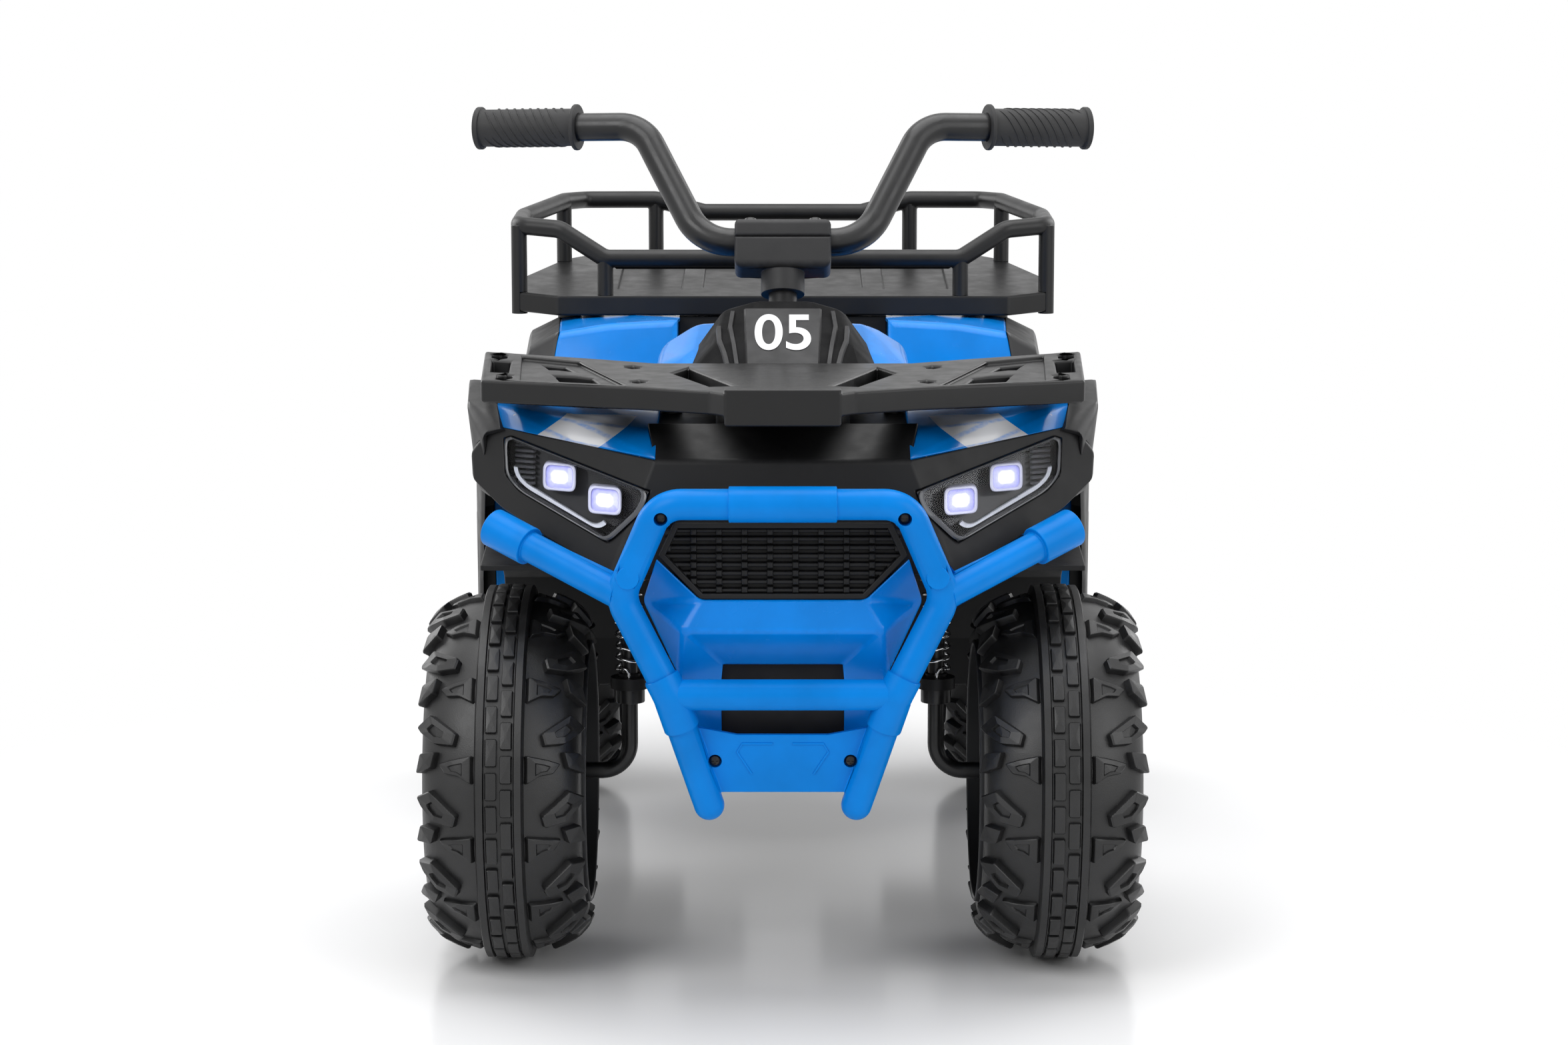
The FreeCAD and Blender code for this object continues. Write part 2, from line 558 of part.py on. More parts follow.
def gear_outline(teeth, module, phase, backlash):
    """Corners of a spur gear with involute flanks about the X axis."""
    pitch = module * teeth / 2
    base = pitch * math.cos(math.radians(20))
    tip = pitch + module
    root = pitch - module * 1.25
    half = math.pi / 2 / teeth - backlash / 2 / pitch
    spread = math.tan(math.acos(base / pitch)) - math.acos(base / pitch)
    corners = []
    low = max(root, base)
    radii = [low + (tip - low) * share / 3 for share in range(4)]
    for tooth in range(teeth):
        middle = phase + 2 * math.pi * tooth / teeth
        flank = []
        for radius in radii:
            press = math.acos(min(1, base / radius))
            flank.append((radius, half + spread - (math.tan(press) - press)))
        flank.insert(0, (root, (flank[0][1] + math.pi / teeth) / 2))
        corners += [(radius, middle - lean) for radius, lean in flank]
        corners += [(radius, middle + lean) for radius, lean in reversed(flank)]
    return [Vector(0, radius * math.cos(angle), radius * math.sin(angle)) for radius, angle in corners]


# Wheels: hollow tyre on a dished disc
tyre_shares = [(1.0, 0.0), (1.0, 0.15), (0.92, 0.45), (0.69, 0.72), (0.39, 0.9), (0.345, 1.0)]
tyre_outer = [("%s*tyre_width/2" % side,
               "tyre_bead_diameter/2 + %s*(wheel_diameter - tyre_bead_diameter)/2" % up)
              for side, up in tyre_shares]
tyre_inner = [("%s*(tyre_width/2 - tyre_wall)" % side,
               "tyre_bead_diameter/2 + %s*((wheel_diameter - tyre_bead_diameter)/2 - tyre_wall)" % up)
              for side, up in tyre_shares]


def flipped(corners):
    """The same corners on the other side of the sketch, in reverse order."""
    return [("-(%s)" % across, up) for across, up in reversed(corners)]


tyre_corners = tyre_outer + flipped(tyre_outer) + list(reversed(flipped(tyre_inner)))
tyre_corners += list(reversed(tyre_inner))
rim_inner_end = "-(tyre_width/2 + rim_overhang)"
rim_corners = [
    (rim_inner_end, "tyre_bead_diameter/2"),
    ("tyre_width/2 - rim_lip", "tyre_bead_diameter/2"),
    ("tyre_width/2 - rim_lip", "tyre_bead_diameter/2 - rim_wall"),
    ("hub_outer_reach + rim_web_depth", "tyre_bead_diameter/2 - rim_wall"),
    ("hub_outer_reach + rim_recess_depth", "nut_recess_diameter/2"),
    ("hub_outer_reach", "nut_recess_diameter/2"),
    ("hub_outer_reach", "axle_diameter/2 + running_gap"),
    ("-hub_inner_reach", "axle_diameter/2 + running_gap"),
    ("-hub_inner_reach", "hub_diameter/2"),
    ("hub_outer_reach - rim_web_wall", "hub_diameter/2"),
    ("hub_outer_reach + rim_recess_depth - rim_web_wall", "nut_recess_diameter/2 + rim_wall"),
    ("hub_outer_reach + rim_web_depth - rim_web_wall", "tyre_bead_diameter/2 - rim_wall"),
    (rim_inner_end, "tyre_bead_diameter/2 - rim_wall"),
]
window_corners = [
    ("-rim_window_inner_width/2", "rim_window_low"), ("rim_window_inner_width/2", "rim_window_low"),
    ("rim_window_outer_width/2", "rim_window_high"), ("-rim_window_outer_width/2", "rim_window_high")]
hex_shares = [(math.cos(math.radians(30 + 60 * side)),
               math.sin(math.radians(30 + 60 * side))) for side in range(6)]
dog_corners = [("%.6f*dog_across_flats/sqrt(3)" % across, "%.6f*dog_across_flats/sqrt(3)" % up)
               for across, up in hex_shares]
front_y = "axle_shift - wheelbase/2"
rear_y = "axle_shift + wheelbase/2"


def wheel(name, side, place, driven):
    """Tyre and disc of one wheel."""
    tyre = turned(name + "_tyre", tyre_corners)
    disc = turned(name + "_wheel_disc", rim_corners)
    window = pocket(disc, sketch(disc, "YZ_Plane", window_corners, lift="hub_outer_reach"),
                    "4*rim_web_depth", "Symmetric")
    around(disc, window, "X_Axis", "rim_window_count")
    if driven:
        socket = sketch(disc, "YZ_Plane", dog_corners, lift="-hub_inner_reach")
        disc.Tip = pocket(disc, socket, "dog_depth", reverse=True)
    for item in (tyre, disc):
        if side < 0:
            item.Placement = Placement(Vector(0, 0, 0), Rotation(Vector(0, 0, 1), 180))
        placed(item, "%d*wheel_track/2" % side, place, "wheel_diameter/2")


wheel("front_left", 1, front_y, False)
wheel("front_right", -1, front_y, False)
wheel("rear_left", 1, rear_y, True)
wheel("rear_right", -1, rear_y, True)


def nut(name, side, place):
    """Hexagon nut on an axle end."""
    hexagon = doc.addObject("Part::Prism", name + "_hexagon")
    hexagon.Polygon = 6
    hexagon.setExpression("Circumradius", bound("nut_across_flats/sqrt(3)"))
    hexagon.setExpression("Height", bound("nut_height"))
    bore = doc.addObject("Part::Cylinder", name + "_bore")
    bore.setExpression("Radius", bound("axle_diameter/2"))
    bore.setExpression("Height", bound("nut_height"))
    cut = doc.addObject("Part::Cut", name)
    cut.Base = hexagon
    cut.Tool = bore
    cut.Placement = Placement(Vector(0, 0, 0), Rotation(Vector(0, 1, 0), 90 * side))
    placed(cut, "%d*(wheel_track/2 + hub_outer_reach + loose_gap)" % side, place, "wheel_diameter/2")
    return cut


keep("left_axle_nut", nut("left_axle_nut", 1, front_y))
keep("right_axle_nut", nut("right_axle_nut", -1, front_y))
rear_nuts = doc.addObject("Part::Compound", "rear_axle_nuts")
rear_nuts.Links = [nut("rear_left_nut", 1, rear_y), nut("rear_right_nut", -1, rear_y)]
keep("rear_axle_nuts", rear_nuts)
rear_axle = doc.addObject("Part::Cylinder", "rear_axle")
rear_axle.setExpression("Radius", bound("axle_diameter/2"))
rear_axle.setExpression("Height", bound("wheel_track + 2*hub_outer_reach + 2*axle_tail"))
rear_axle.Placement = Placement(Vector(0, 0, 0), Rotation(Vector(0, 1, 0), 90))
keep("rear_axle", placed(rear_axle, "-(wheel_track/2 + hub_outer_reach + axle_tail)", rear_y,
                         "wheel_diameter/2"))

# Front struts
pin_radius = mm.knuckle_pin_diameter / 2
arm_low = mm.knuckle_arm_height
hub_top = arm_low + mm.knuckle_hub_height
axle_end = mm.wheel_track / 2 + mm.hub_outer_reach + mm.axle_tail
kingpin = Vector(mm.kingpin_offset, front_axle_y, 0)
axle_centre = kingpin + Vector(0, 0, axle_height)
spindle_path = [Vector(axle_end, front_axle_y, axle_height), axle_centre,
                kingpin + Vector(0, 0, tower_foot + mm.tower_height - mm.bush_flange)]
spindle = tube(spindle_path, mm.axle_diameter / 2, mm.spindle_bend)
spindle = spindle.fuse(Part.makeCylinder(mm.knuckle_hub_diameter / 2, mm.knuckle_hub_height,
                                         kingpin + Vector(0, 0, arm_low)))
arm_corner = kingpin + Vector(-mm.knuckle_arm_width / 2, 0, arm_low)
spindle = spindle.fuse(Part.makeBox(mm.knuckle_arm_width, mm.knuckle_arm_reach, mm.knuckle_arm_wall,
                                    arm_corner))
arm_pin = kingpin + Vector(0, mm.knuckle_arm_reach, arm_low)
spindle = spindle.fuse(Part.makeCylinder(mm.knuckle_arm_width / 2, mm.knuckle_arm_wall, arm_pin))
spindle = spindle.fuse(Part.makeCylinder(pin_radius, mm.knuckle_arm_wall + mm.knuckle_pin_height,
                                         arm_pin)).removeSplitter()
shaped("left_spindle", spindle)
shaped("right_spindle", mirrored(spindle))

lip_radius = "spring_coil_diameter/2 - spring_wire - loose_gap"
seat_corners = [
    ("axle_diameter/2 + running_gap", "running_gap"), ("spring_seat_diameter/2", "running_gap"),
    ("spring_seat_diameter/2", "spring_seat_height"), (lip_radius, "spring_seat_height"),
    (lip_radius, "spring_seat_height + spring_seat_lip"),
    ("axle_diameter/2 + running_gap", "spring_seat_height + spring_seat_lip")]
for name, side in (("left_spring_seat", 1), ("right_spring_seat", -1)):
    ring = turned(name, seat_corners, axis="V_Axis")
    placed(ring, "%d*kingpin_offset" % side, front_y, "knuckle_arm_height + knuckle_hub_height")

spring_foot = kingpin + Vector(0, 0, hub_top + mm.spring_seat_height)
spring_height = tower_foot - mm.bush_flange - spring_foot.z
spring = coil(spring_foot, mm.spring_coil_diameter, mm.spring_wire, spring_height, mm.spring_turns)
shaped("left_front_spring", spring)
shaped("right_front_spring", mirrored(spring))


def bush(bore, length, flange):
    """Flanged plain bush standing on its flange, the bore along Z."""
    body = Part.makeCylinder(bore + mm.bush_wall, length)
    body = body.fuse(Part.makeCylinder(bore + 2 * mm.bush_wall, flange, Vector(0, 0, -flange)))
    whole = length + flange
    return body.cut(Part.makeCylinder(bore, whole, Vector(0, 0, -flange))).removeSplitter()


# Steering column frame: origin at the bar centre, Z up along the column
rake = Rotation(Vector(1, 0, 0), -mm.steering_rake)
clamp_centre = Vector(0, front_axle_y + mm.clamp_setback, mm.body_height + mm.clamp_rise)
column_frame = Placement(clamp_centre, rake)
column_up = rake.multVec(Vector(0, 0, 1))


def raked(item):
    """Place a document object in the steering column frame."""
    item.Placement = Placement(Vector(0, 0, 0), rake)
    item.setExpression("Placement.Rotation.Angle", bound("-steering_rake"))
    return placed(item, "0", front_y + " + clamp_setback", "body_height + clamp_rise")


def in_column(shape):
    """Move a shape into the steering column frame."""
    return shape.transformed(column_frame.toMatrix())


def along_column(depth, radius, length):
    """Cylinder on the column axis that starts at a depth below the bar and runs down."""
    return in_column(Part.makeCylinder(radius, length, Vector(0, 0, -depth - length)))


kingpin_bush = bush(mm.axle_diameter / 2 + mm.running_gap, mm.tower_height, mm.bush_flange)
kingpin_bush.translate(kingpin + Vector(0, 0, tower_foot))
column_bore = mm.column_diameter / 2 + mm.running_gap
upper_bush = in_column(Part.makeCylinder(column_bore + mm.bush_wall, mm.upper_bush_length,
                                         Vector(0, 0, -mm.upper_bush_depth - mm.upper_bush_length)))
upper_bush = upper_bush.cut(along_column(mm.upper_bush_depth, column_bore, mm.upper_bush_length))
lower_bush = along_column(mm.lower_bush_depth, column_bore + mm.bush_wall, mm.lower_bush_length)
lower_bush = lower_bush.cut(along_column(mm.lower_bush_depth, column_bore, mm.lower_bush_length))
shaped("steering_bushes", Part.makeCompound([kingpin_bush, mirrored(kingpin_bush), upper_bush,
                                             lower_bush]))

column = doc.addObject("PartDesign::Body", "steering_column")
pad(column, sketch(column, "XY_Plane", circles=[("0", "0", "column_diameter/2")], lift="-column_length"),
    "column_length - column_top_depth")
pad(column, sketch(column, "XY_Plane", box_corners("crank_width/2", "-crank_width/2",
                                                   "crank_reach + crank_width/2"),
                   lift="-column_length"), "crank_wall")
pad(column, sketch(column, "XY_Plane", circles=[("0", "crank_reach", "crank_pin_diameter/2")],
                   lift="-column_length"),
    "crank_pin_length", reverse=True)
pocket(column, sketch(column, "XY_Plane", circles=[("0", "0", "column_diameter/2 - column_wall")],
                      lift="-column_top_depth"), "column_length - column_top_depth - 2*crank_wall")
keep("steering_column", raked(column))

clamp_base = doc.addObject("PartDesign::Body", "clamp_base")
pad(clamp_base, sketch(clamp_base, "XZ_Plane", box_corners("clamp_width/2", "-clamp_base_height",
                                                           "-clamp_split/2")),
    "clamp_depth", "Symmetric")
pad(clamp_base, sketch(clamp_base, "XY_Plane", circles=[("0", "0", "clamp_stem_diameter/2")],
                       lift="-clamp_base_height"),
    "clamp_stem_length", reverse=True)
pocket(clamp_base, sketch(clamp_base, "YZ_Plane", circles=[("0", "0", "bar_diameter/2")]),
       "clamp_width + cut_overrun", "Symmetric")
pocket(clamp_base, sketch(clamp_base, "XY_Plane", circles=[("0", "0", "column_diameter/2")],
                          lift="-(clamp_base_height + clamp_stem_length)"),
       "clamp_base_height + clamp_stem_length - column_top_depth", reverse=True)
bolt_holes = [("%d*clamp_bolt_spacing/2" % side, "0", "clamp_bolt_diameter/2") for side in (1, -1)]
pocket(clamp_base, sketch(clamp_base, "XY_Plane", circles=bolt_holes), "clamp_bolt_depth")
keep("clamp_base", raked(clamp_base))

clamp_cap = doc.addObject("PartDesign::Body", "clamp_cap")
pad(clamp_cap, sketch(clamp_cap, "XZ_Plane", box_corners("clamp_width/2", "clamp_split/2",
                                                         "clamp_cap_height")),
    "clamp_depth", "Symmetric")
pocket(clamp_cap, sketch(clamp_cap, "YZ_Plane", circles=[("0", "0", "bar_diameter/2")]),
       "clamp_width + cut_overrun", "Symmetric")
pocket(clamp_cap, sketch(clamp_cap, "XY_Plane", circles=bolt_holes, lift="clamp_cap_height"),
       "clamp_cap_height")
keep("clamp_cap", raked(clamp_cap))

bolt = Part.makeCylinder(mm.clamp_bolt_diameter / 2, mm.clamp_cap_height + mm.clamp_bolt_depth,
                         Vector(mm.clamp_bolt_spacing / 2, 0, -mm.clamp_bolt_depth))
bolt_shank = in_column(bolt)
bolt = bolt.fuse(Part.makeCone(mm.clamp_bolt_head_diameter / 2, mm.clamp_bolt_head_diameter / 3,
                               mm.clamp_bolt_head_height,
                               Vector(mm.clamp_bolt_spacing / 2, 0, mm.clamp_cap_height)))
bolt = in_column(bolt)
shaped("clamp_bolts", pair(bolt))

bar_half = [clamp_centre,
            clamp_centre + Vector(mm.bar_knee_offset, 0, 0),
            clamp_centre + Vector(mm.bar_elbow_offset, mm.bar_elbow_setback, mm.bar_elbow_rise),
            clamp_centre + Vector(mm.bar_end_offset, mm.bar_end_setback, mm.bar_end_rise)]
bar_points = [Vector(-point.x, point.y, point.z) for point in reversed(bar_half[1:])] + bar_half[1:]
bar_bends = [mm.bar_rise_bend, mm.bar_drop_bend, mm.bar_drop_bend, mm.bar_rise_bend]
handlebar = tube(bar_points, mm.bar_diameter / 2, bar_bends)
handlebar = handlebar.cut(tube(bar_points, mm.bar_diameter / 2 - mm.bar_wall, bar_bends))
shaped("handlebar", handlebar.cut(bolt_shank).cut(mirrored(bolt_shank)))
grip_way = (bar_half[3] - bar_half[2]).normalize()
grip_end = bar_half[3]
grip_start = grip_end - grip_way * mm.grip_length
grip = rod(grip_start, grip_end + grip_way * mm.grip_end_wall, mm.grip_diameter / 2)
grip = grip.fuse(rod(grip_start, grip_start + grip_way * mm.grip_flange_wall,
                     mm.grip_flange_diameter / 2))
grip = grip.fuse(rod(grip_end, grip_end + grip_way * mm.grip_end_wall, mm.grip_end_diameter / 2))
grip = grip.cut(rod(grip_start, grip_end, mm.bar_diameter / 2)).removeSplitter()
shaped("handlebar_grips", pair(grip))

crank_pin = column_frame.multVec(Vector(0, mm.crank_reach, -mm.column_length))


def tie_rod(side, low):
    """Flat steering rod from the crank pin to the knuckle pin of one side."""
    middle = low + mm.tie_rod_wall / 2
    inner = crank_pin + column_up * ((middle - crank_pin.z) / column_up.z)
    inner.z = low
    outer = Vector(side * mm.kingpin_offset, front_axle_y + mm.knuckle_arm_reach, low)
    across = Vector(0, 0, 1).cross(outer - inner).normalize() * (mm.tie_rod_width / 2)
    up = Vector(0, 0, mm.tie_rod_wall)
    bar = prism([inner + across, outer + across, outer - across, inner - across], up)
    for eye in (inner, outer):
        bar = bar.fuse(Part.makeCylinder(mm.tie_rod_eye_diameter / 2, mm.tie_rod_wall, eye))
    hole = mm.knuckle_pin_diameter / 2 + mm.tie_rod_play
    bar = bar.cut(Part.makeCylinder(hole, mm.tie_rod_wall, outer))
    pivot = mm.crank_pin_diameter / 2 + mm.running_gap
    reach = column_up * mm.crank_pin_length
    bar = bar.cut(rod(crank_pin - reach, crank_pin + reach, pivot))
    return bar.removeSplitter()


shaped("left_tie_rod", tie_rod(1, mm.tie_rod_height))
shaped("right_tie_rod", tie_rod(-1, mm.tie_rod_height + mm.tie_rod_wall + mm.tie_rod_gap))


def offset_outline(points, distance, closed=True):
    """Flat outline moved to the left of its run by a distance, corners mitred; pairs in and out."""
    count = len(points)
    moved = []
    for index in range(count):
        ways = []
        if closed or index > 0:
            ways.append((points[index - 1], points[index]))
        if closed or index < count - 1:
            ways.append((points[index], points[(index + 1) % count]))
        normals = []
        for (x0, y0), (x1, y1) in ways:
            length = math.hypot(x1 - x0, y1 - y0)
            normals.append(((y0 - y1) / length, (x1 - x0) / length))
        across = sum(normal[0] for normal in normals)
        up = sum(normal[1] for normal in normals)
        scale = distance / ((across * across + up * up) / len(normals))
        moved.append((points[index][0] + across * scale, points[index][1] + up * scale))
    return moved


def side_outline(shares):
    """Places along the bike and heights of a side profile."""
    return [(front_axle_y + along * mm.wheelbase, up * mm.body_height) for along, up in shares]


def across_bike(outline, start, end):
    """Solid that a side profile sweeps across the bike."""
    return prism([Vector(start, along, up) for along, up in outline], Vector(end - start, 0, 0))


def span_box(half_width, front, length, low, high):
    """Box centred on the bike."""
    return Part.makeBox(2 * half_width, length, high - low, Vector(-half_width, front, low))


# Chassis tub: hollow core, wheel arch liners with footboards, strut towers, keel and axle carriers
core_outline = side_outline(core_shares)
tub = across_bike(core_outline, -mm.core_half_width, mm.core_half_width)
hollow_half = mm.core_half_width - mm.panel_wall
tub = tub.cut(across_bike(offset_outline(core_outline, -mm.panel_wall), -hollow_half, hollow_half))
seat_height = core_outline[6][1]
bay_front = front_axle_y + mm.bay_setback
tub = tub.cut(span_box(mm.bay_half_width, bay_front, mm.bay_length, seat_height - 2 * mm.panel_wall,
                       seat_height + mm.cut_overrun))
liner_outline = side_outline(liner_shares)
liner_outline = liner_outline + list(reversed(offset_outline(liner_outline, mm.liner_wall, closed=False)))
liner = across_bike(liner_outline, mm.core_half_width, mm.liner_outer)
tower_top = tower_foot + mm.tower_height
tower = Part.makeCylinder(mm.tower_diameter / 2, mm.tower_height,
                          kingpin + Vector(0, 0, tower_foot))
tower = tower.fuse(Part.makeBox(mm.kingpin_offset - mm.core_half_width, mm.tower_diameter,
                                mm.tower_height,
                                Vector(mm.core_half_width, front_axle_y - mm.tower_diameter / 2,
                                       tower_foot)))
carrier_low = axle_height - mm.axle_diameter / 2
carrier = Part.makeBox(mm.carrier_outer - mm.carrier_inner, mm.carrier_length,
                       carrier_top - carrier_low,
                       Vector(mm.carrier_inner, rear_axle_y - mm.carrier_length / 2, carrier_low))
for block in (liner, tower, carrier):
    tub = tub.fuse(block).fuse(mirrored(block))
keel_y = front_axle_y - mm.keel_front
keel = span_box(mm.keel_half_width, keel_y, mm.keel_length, keel_low,
                tower_foot + 2 * mm.panel_wall)
keel = keel.fuse(span_box(mm.keel_foot_half, keel_y, mm.keel_length, keel_low,
                          keel_low + mm.keel_foot_height))
keel = keel.cut(span_box(mm.keel_half_width - mm.panel_wall, keel_y + mm.panel_wall, mm.keel_length,
                         keel_low + mm.panel_wall, tower_foot - mm.panel_wall))
tub = tub.fuse(keel)
bush_radius = column_bore + mm.bush_wall
for depth, length in ((mm.upper_bush_depth, mm.upper_bush_length),
                      (mm.lower_bush_depth, mm.lower_bush_length)):
    tub = tub.fuse(along_column(depth, bush_radius + mm.bush_boss_wall, length))
for depth, length in ((mm.upper_bush_depth, mm.upper_bush_length),
                      (mm.lower_bush_depth, mm.lower_bush_length)):
    tub = tub.cut(along_column(depth - 2 * mm.bush_boss_wall, bush_radius,
                               length + 4 * mm.bush_boss_wall))
kingpin_hole = Part.makeCylinder(mm.axle_diameter / 2 + mm.running_gap + mm.bush_wall, mm.tower_height,
                                 kingpin + Vector(0, 0, tower_foot))
axle_groove = Part.makeCylinder(mm.axle_diameter / 2, 2 * mm.carrier_outer,
                                Vector(-mm.carrier_outer, rear_axle_y, axle_height),
                                Vector(1, 0, 0))
axle_groove = axle_groove.fuse(span_box(mm.carrier_outer, rear_axle_y - mm.axle_diameter / 2,
                                        mm.axle_diameter,
                                        carrier_low, axle_height))
tub = tub.cut(kingpin_hole).cut(mirrored(kingpin_hole)).cut(axle_groove)

# Pedal ears on the right footboard
foot_height = liner_outline[-6][1]
pedal_pivot = Vector(-mm.pedal_offset, front_axle_y + mm.pedal_heel_setback,
                     foot_height + mm.pedal_pin_height)
ear_gap = mm.pedal_width / 2 + mm.loose_gap
for side in (-1, 1):
    start = side * ear_gap if side > 0 else -ear_gap - mm.pedal_ear_wall
    ear = Part.makeBox(mm.pedal_ear_wall, 2 * mm.pedal_pin_diameter,
                       2 * mm.pedal_pin_height + mm.liner_wall,
                       pedal_pivot + Vector(start, -mm.pedal_pin_diameter,
                                            -mm.pedal_pin_height - mm.liner_wall))
    tub = tub.fuse(ear)
pedal_pin_reach = ear_gap + mm.pedal_ear_wall
tub = tub.cut(rod(pedal_pivot - Vector(pedal_pin_reach, 0, 0),
                  pedal_pivot + Vector(pedal_pin_reach, 0, 0),
                  mm.pedal_pin_diameter / 2 + mm.running_gap))

# Screws that hold the axle plates
plate_centre = Vector((mm.carrier_inner + mm.carrier_outer) / 2, rear_axle_y, carrier_low)
plate_width = mm.carrier_outer - mm.carrier_inner
plate = Part.makeBox(plate_width, mm.axle_plate_length, mm.axle_plate_wall,
                     plate_centre - Vector(plate_width / 2, mm.axle_plate_length / 2, mm.axle_plate_wall))
screws = []
for across in (-1, 1):
    for along in (-1, 1):
        foot = plate_centre + Vector(across * mm.axle_plate_screw_across / 2,
                                     along * mm.axle_plate_screw_along / 2, 0)
        head = foot - Vector(0, 0, mm.axle_plate_wall)
        shank = rod(head, foot + Vector(0, 0, mm.axle_plate_screw_depth), mm.screw_diameter / 2)
        plate = plate.cut(shank)
        tub = tub.cut(shank).cut(mirrored(shank))
        screw = shank.fuse(rod(head - Vector(0, 0, mm.screw_head_height), head,
                               mm.screw_head_diameter / 2))
        screws += [screw.removeSplitter(), mirrored(screw.removeSplitter())]
shaped("axle_plates", pair(plate))
shaped("chassis_tub", tidy(tub.removeSplitter()))

# Front fascia with the lamp openings
pivot_x = fascia_pivot_share[0] * mm.body_half_width
pivot_z = fascia_pivot_share[1] * mm.body_height


def on_fascia(across, up, depth=0):
    """Point on the swept face of the fascia, or behind it."""
    sweep = fascia_sweep_share * (across - pivot_x) + fascia_lean_share * (up - pivot_z)
    return Vector(across, front_axle_y - mm.fascia_nose + sweep + depth, up)


def face_outline(shares):
    """Distances across and heights of a front outline."""
    return [(across * mm.body_half_width, up * mm.body_height) for across, up in shares]


def fascia_slab(outline, start, depth):
    """Slab that follows the swept face."""
    return prism([on_fascia(across, up, start) for across, up in outline], Vector(0, depth, 0))


def mirror_point(point):
    """The same point on the other side."""
    return Vector(-point.x, point.y, point.z)


fascia_outline = face_outline(fascia_shares)
cheek = fascia_slab(fascia_outline, 0, mm.fascia_wall)
top_corner = on_fascia(*fascia_outline[0])
low_corner = on_fascia(*fascia_outline[-1])
middle = prism([top_corner, low_corner, mirror_point(low_corner), mirror_point(top_corner)],
               Vector(0, mm.fascia_block, 0))
hood_corner = spot(hood_shares)
hood = prism([top_corner, hood_corner, mirror_point(hood_corner), mirror_point(top_corner)],
             Vector(0, mm.fascia_wall, -mm.fascia_wall))
lamp_outline = face_outline(lamp_shares)
opening = fascia_slab(offset_outline(lamp_outline, mm.lamp_gap), -mm.lamp_depth, 3 * mm.lamp_depth)
if opening.BoundBox.XLength < fascia_slab(lamp_outline, 0, mm.lamp_depth).BoundBox.XLength:
    opening = fascia_slab(offset_outline(lamp_outline, -mm.lamp_gap), -mm.lamp_depth, 3 * mm.lamp_depth)
cheek = cheek.cut(opening)
fascia = middle.fuse(hood).fuse(cheek).fuse(mirrored(cheek))
fascia = fascia.cut(opening).cut(mirrored(opening)).removeSplitter()
shaped("front_fascia", fitted(fascia, "chassis_tub"))

# Headlights: bucket, light blocks on its floor, lens on its rim
inside = offset_outline(lamp_outline, mm.lamp_wall)
bucket = fascia_slab(lamp_outline, 0, mm.lamp_depth).cut(fascia_slab(inside, 0,
                                                                     mm.lamp_depth - mm.lamp_wall))
shaped("headlight_reflectors", pair(bucket))
shaped("headlight_lenses", pair(fascia_slab(lamp_outline, -mm.lens_wall, mm.lens_wall)))
leds = []
for across, up in face_outline(led_shares):
    corners = [(across - mm.led_width / 2, up - mm.led_height / 2),
               (across + mm.led_width / 2, up - mm.led_height / 2),
               (across + mm.led_width / 2, up + mm.led_height / 2),
               (across - mm.led_width / 2, up + mm.led_height / 2)]
    block = fascia_slab(corners, mm.lamp_depth - mm.lamp_wall - mm.led_length, mm.led_length)
    leds += [block, mirrored(block)]
shaped("headlight_leds", Part.makeCompound(leds))

# Grille
grille_half = face_outline(grille_shares)
grille_outline = grille_half + [(-across, up) for across, up in reversed(grille_half)]


def front_slab(outline, start, depth):
    """Slab square to the travel of the bike, its front face ahead of the front axle."""
    return prism([Vector(across, front_axle_y - start, up) for across, up in outline],
                 Vector(0, depth, 0))


grille = front_slab(grille_outline, mm.grille_front, mm.grille_depth)
mouth_outline = offset_outline(grille_outline, -mm.grille_rim)
if front_slab(mouth_outline, 0, mm.grille_rim).Volume > front_slab(grille_outline, 0,
                                                                   mm.grille_rim).Volume:
    mouth_outline = offset_outline(grille_outline, mm.grille_rim)
recess = front_slab(mouth_outline, mm.grille_front, mm.grille_recess)
grille = grille.cut(recess)
grille_low = grille_half[-1][1]
grille_pitch = (grille_half[0][1] - grille_low) / (mm.grille_louvre_count + 1)
for louvre in range(int(mm.grille_louvre_count)):
    height = grille_low + (louvre + 1) * grille_pitch
    slat = span_box(mm.body_half_width, front_axle_y - mm.grille_front + mm.grille_louvre,
                    mm.grille_recess,
                    height - mm.grille_louvre / 2, height + mm.grille_louvre / 2)
    grille = grille.fuse(slat.common(recess))
shaped("grille", fitted(grille.removeSplitter(), "front_fascia", "chassis_tub"))

# Nose panel on two posts
nose_points = []
nose_index = {}
for name, shares in nose_shares.items():
    nose_index[name] = len(nose_points)
    nose_points.append(spot(shares))
    nose_index["far_" + name] = len(nose_points)
    nose_points.append(mirror_point(spot(shares)))
nose_faces = [["brow", "far_brow", "far_crease", "crease"],
              ["crease", "far_crease", "far_mouth", "mouth"]]
for prefix in ("", "far_"):
    for corners in (["crease", "mouth", "jaw"], ["crease", "jaw", "wing"],
                    ["brow", "crease", "wing", "cheek"],
                    ["jaw", "mouth", "lip", "chin"]):
        nose_faces.append([prefix + corner for corner in corners])
nose_faces = [[nose_index[corner] for corner in face] for face in nose_faces]
nose = thick_sheet(nose_points, nose_faces, [Vector(0, mm.nose_wall, 0)] * len(nose_points))
post_start = spot(nose_post_shares)
post = rod(post_start, Vector(post_start.x, core_outline[0][0] + mm.panel_wall, post_start.z),
           mm.nose_post_diameter / 2)
nose = nose.fuse(post).fuse(mirrored(post))
shaped("nose_panel", fitted(nose, "grille", "front_fascia", "chassis_tub"))

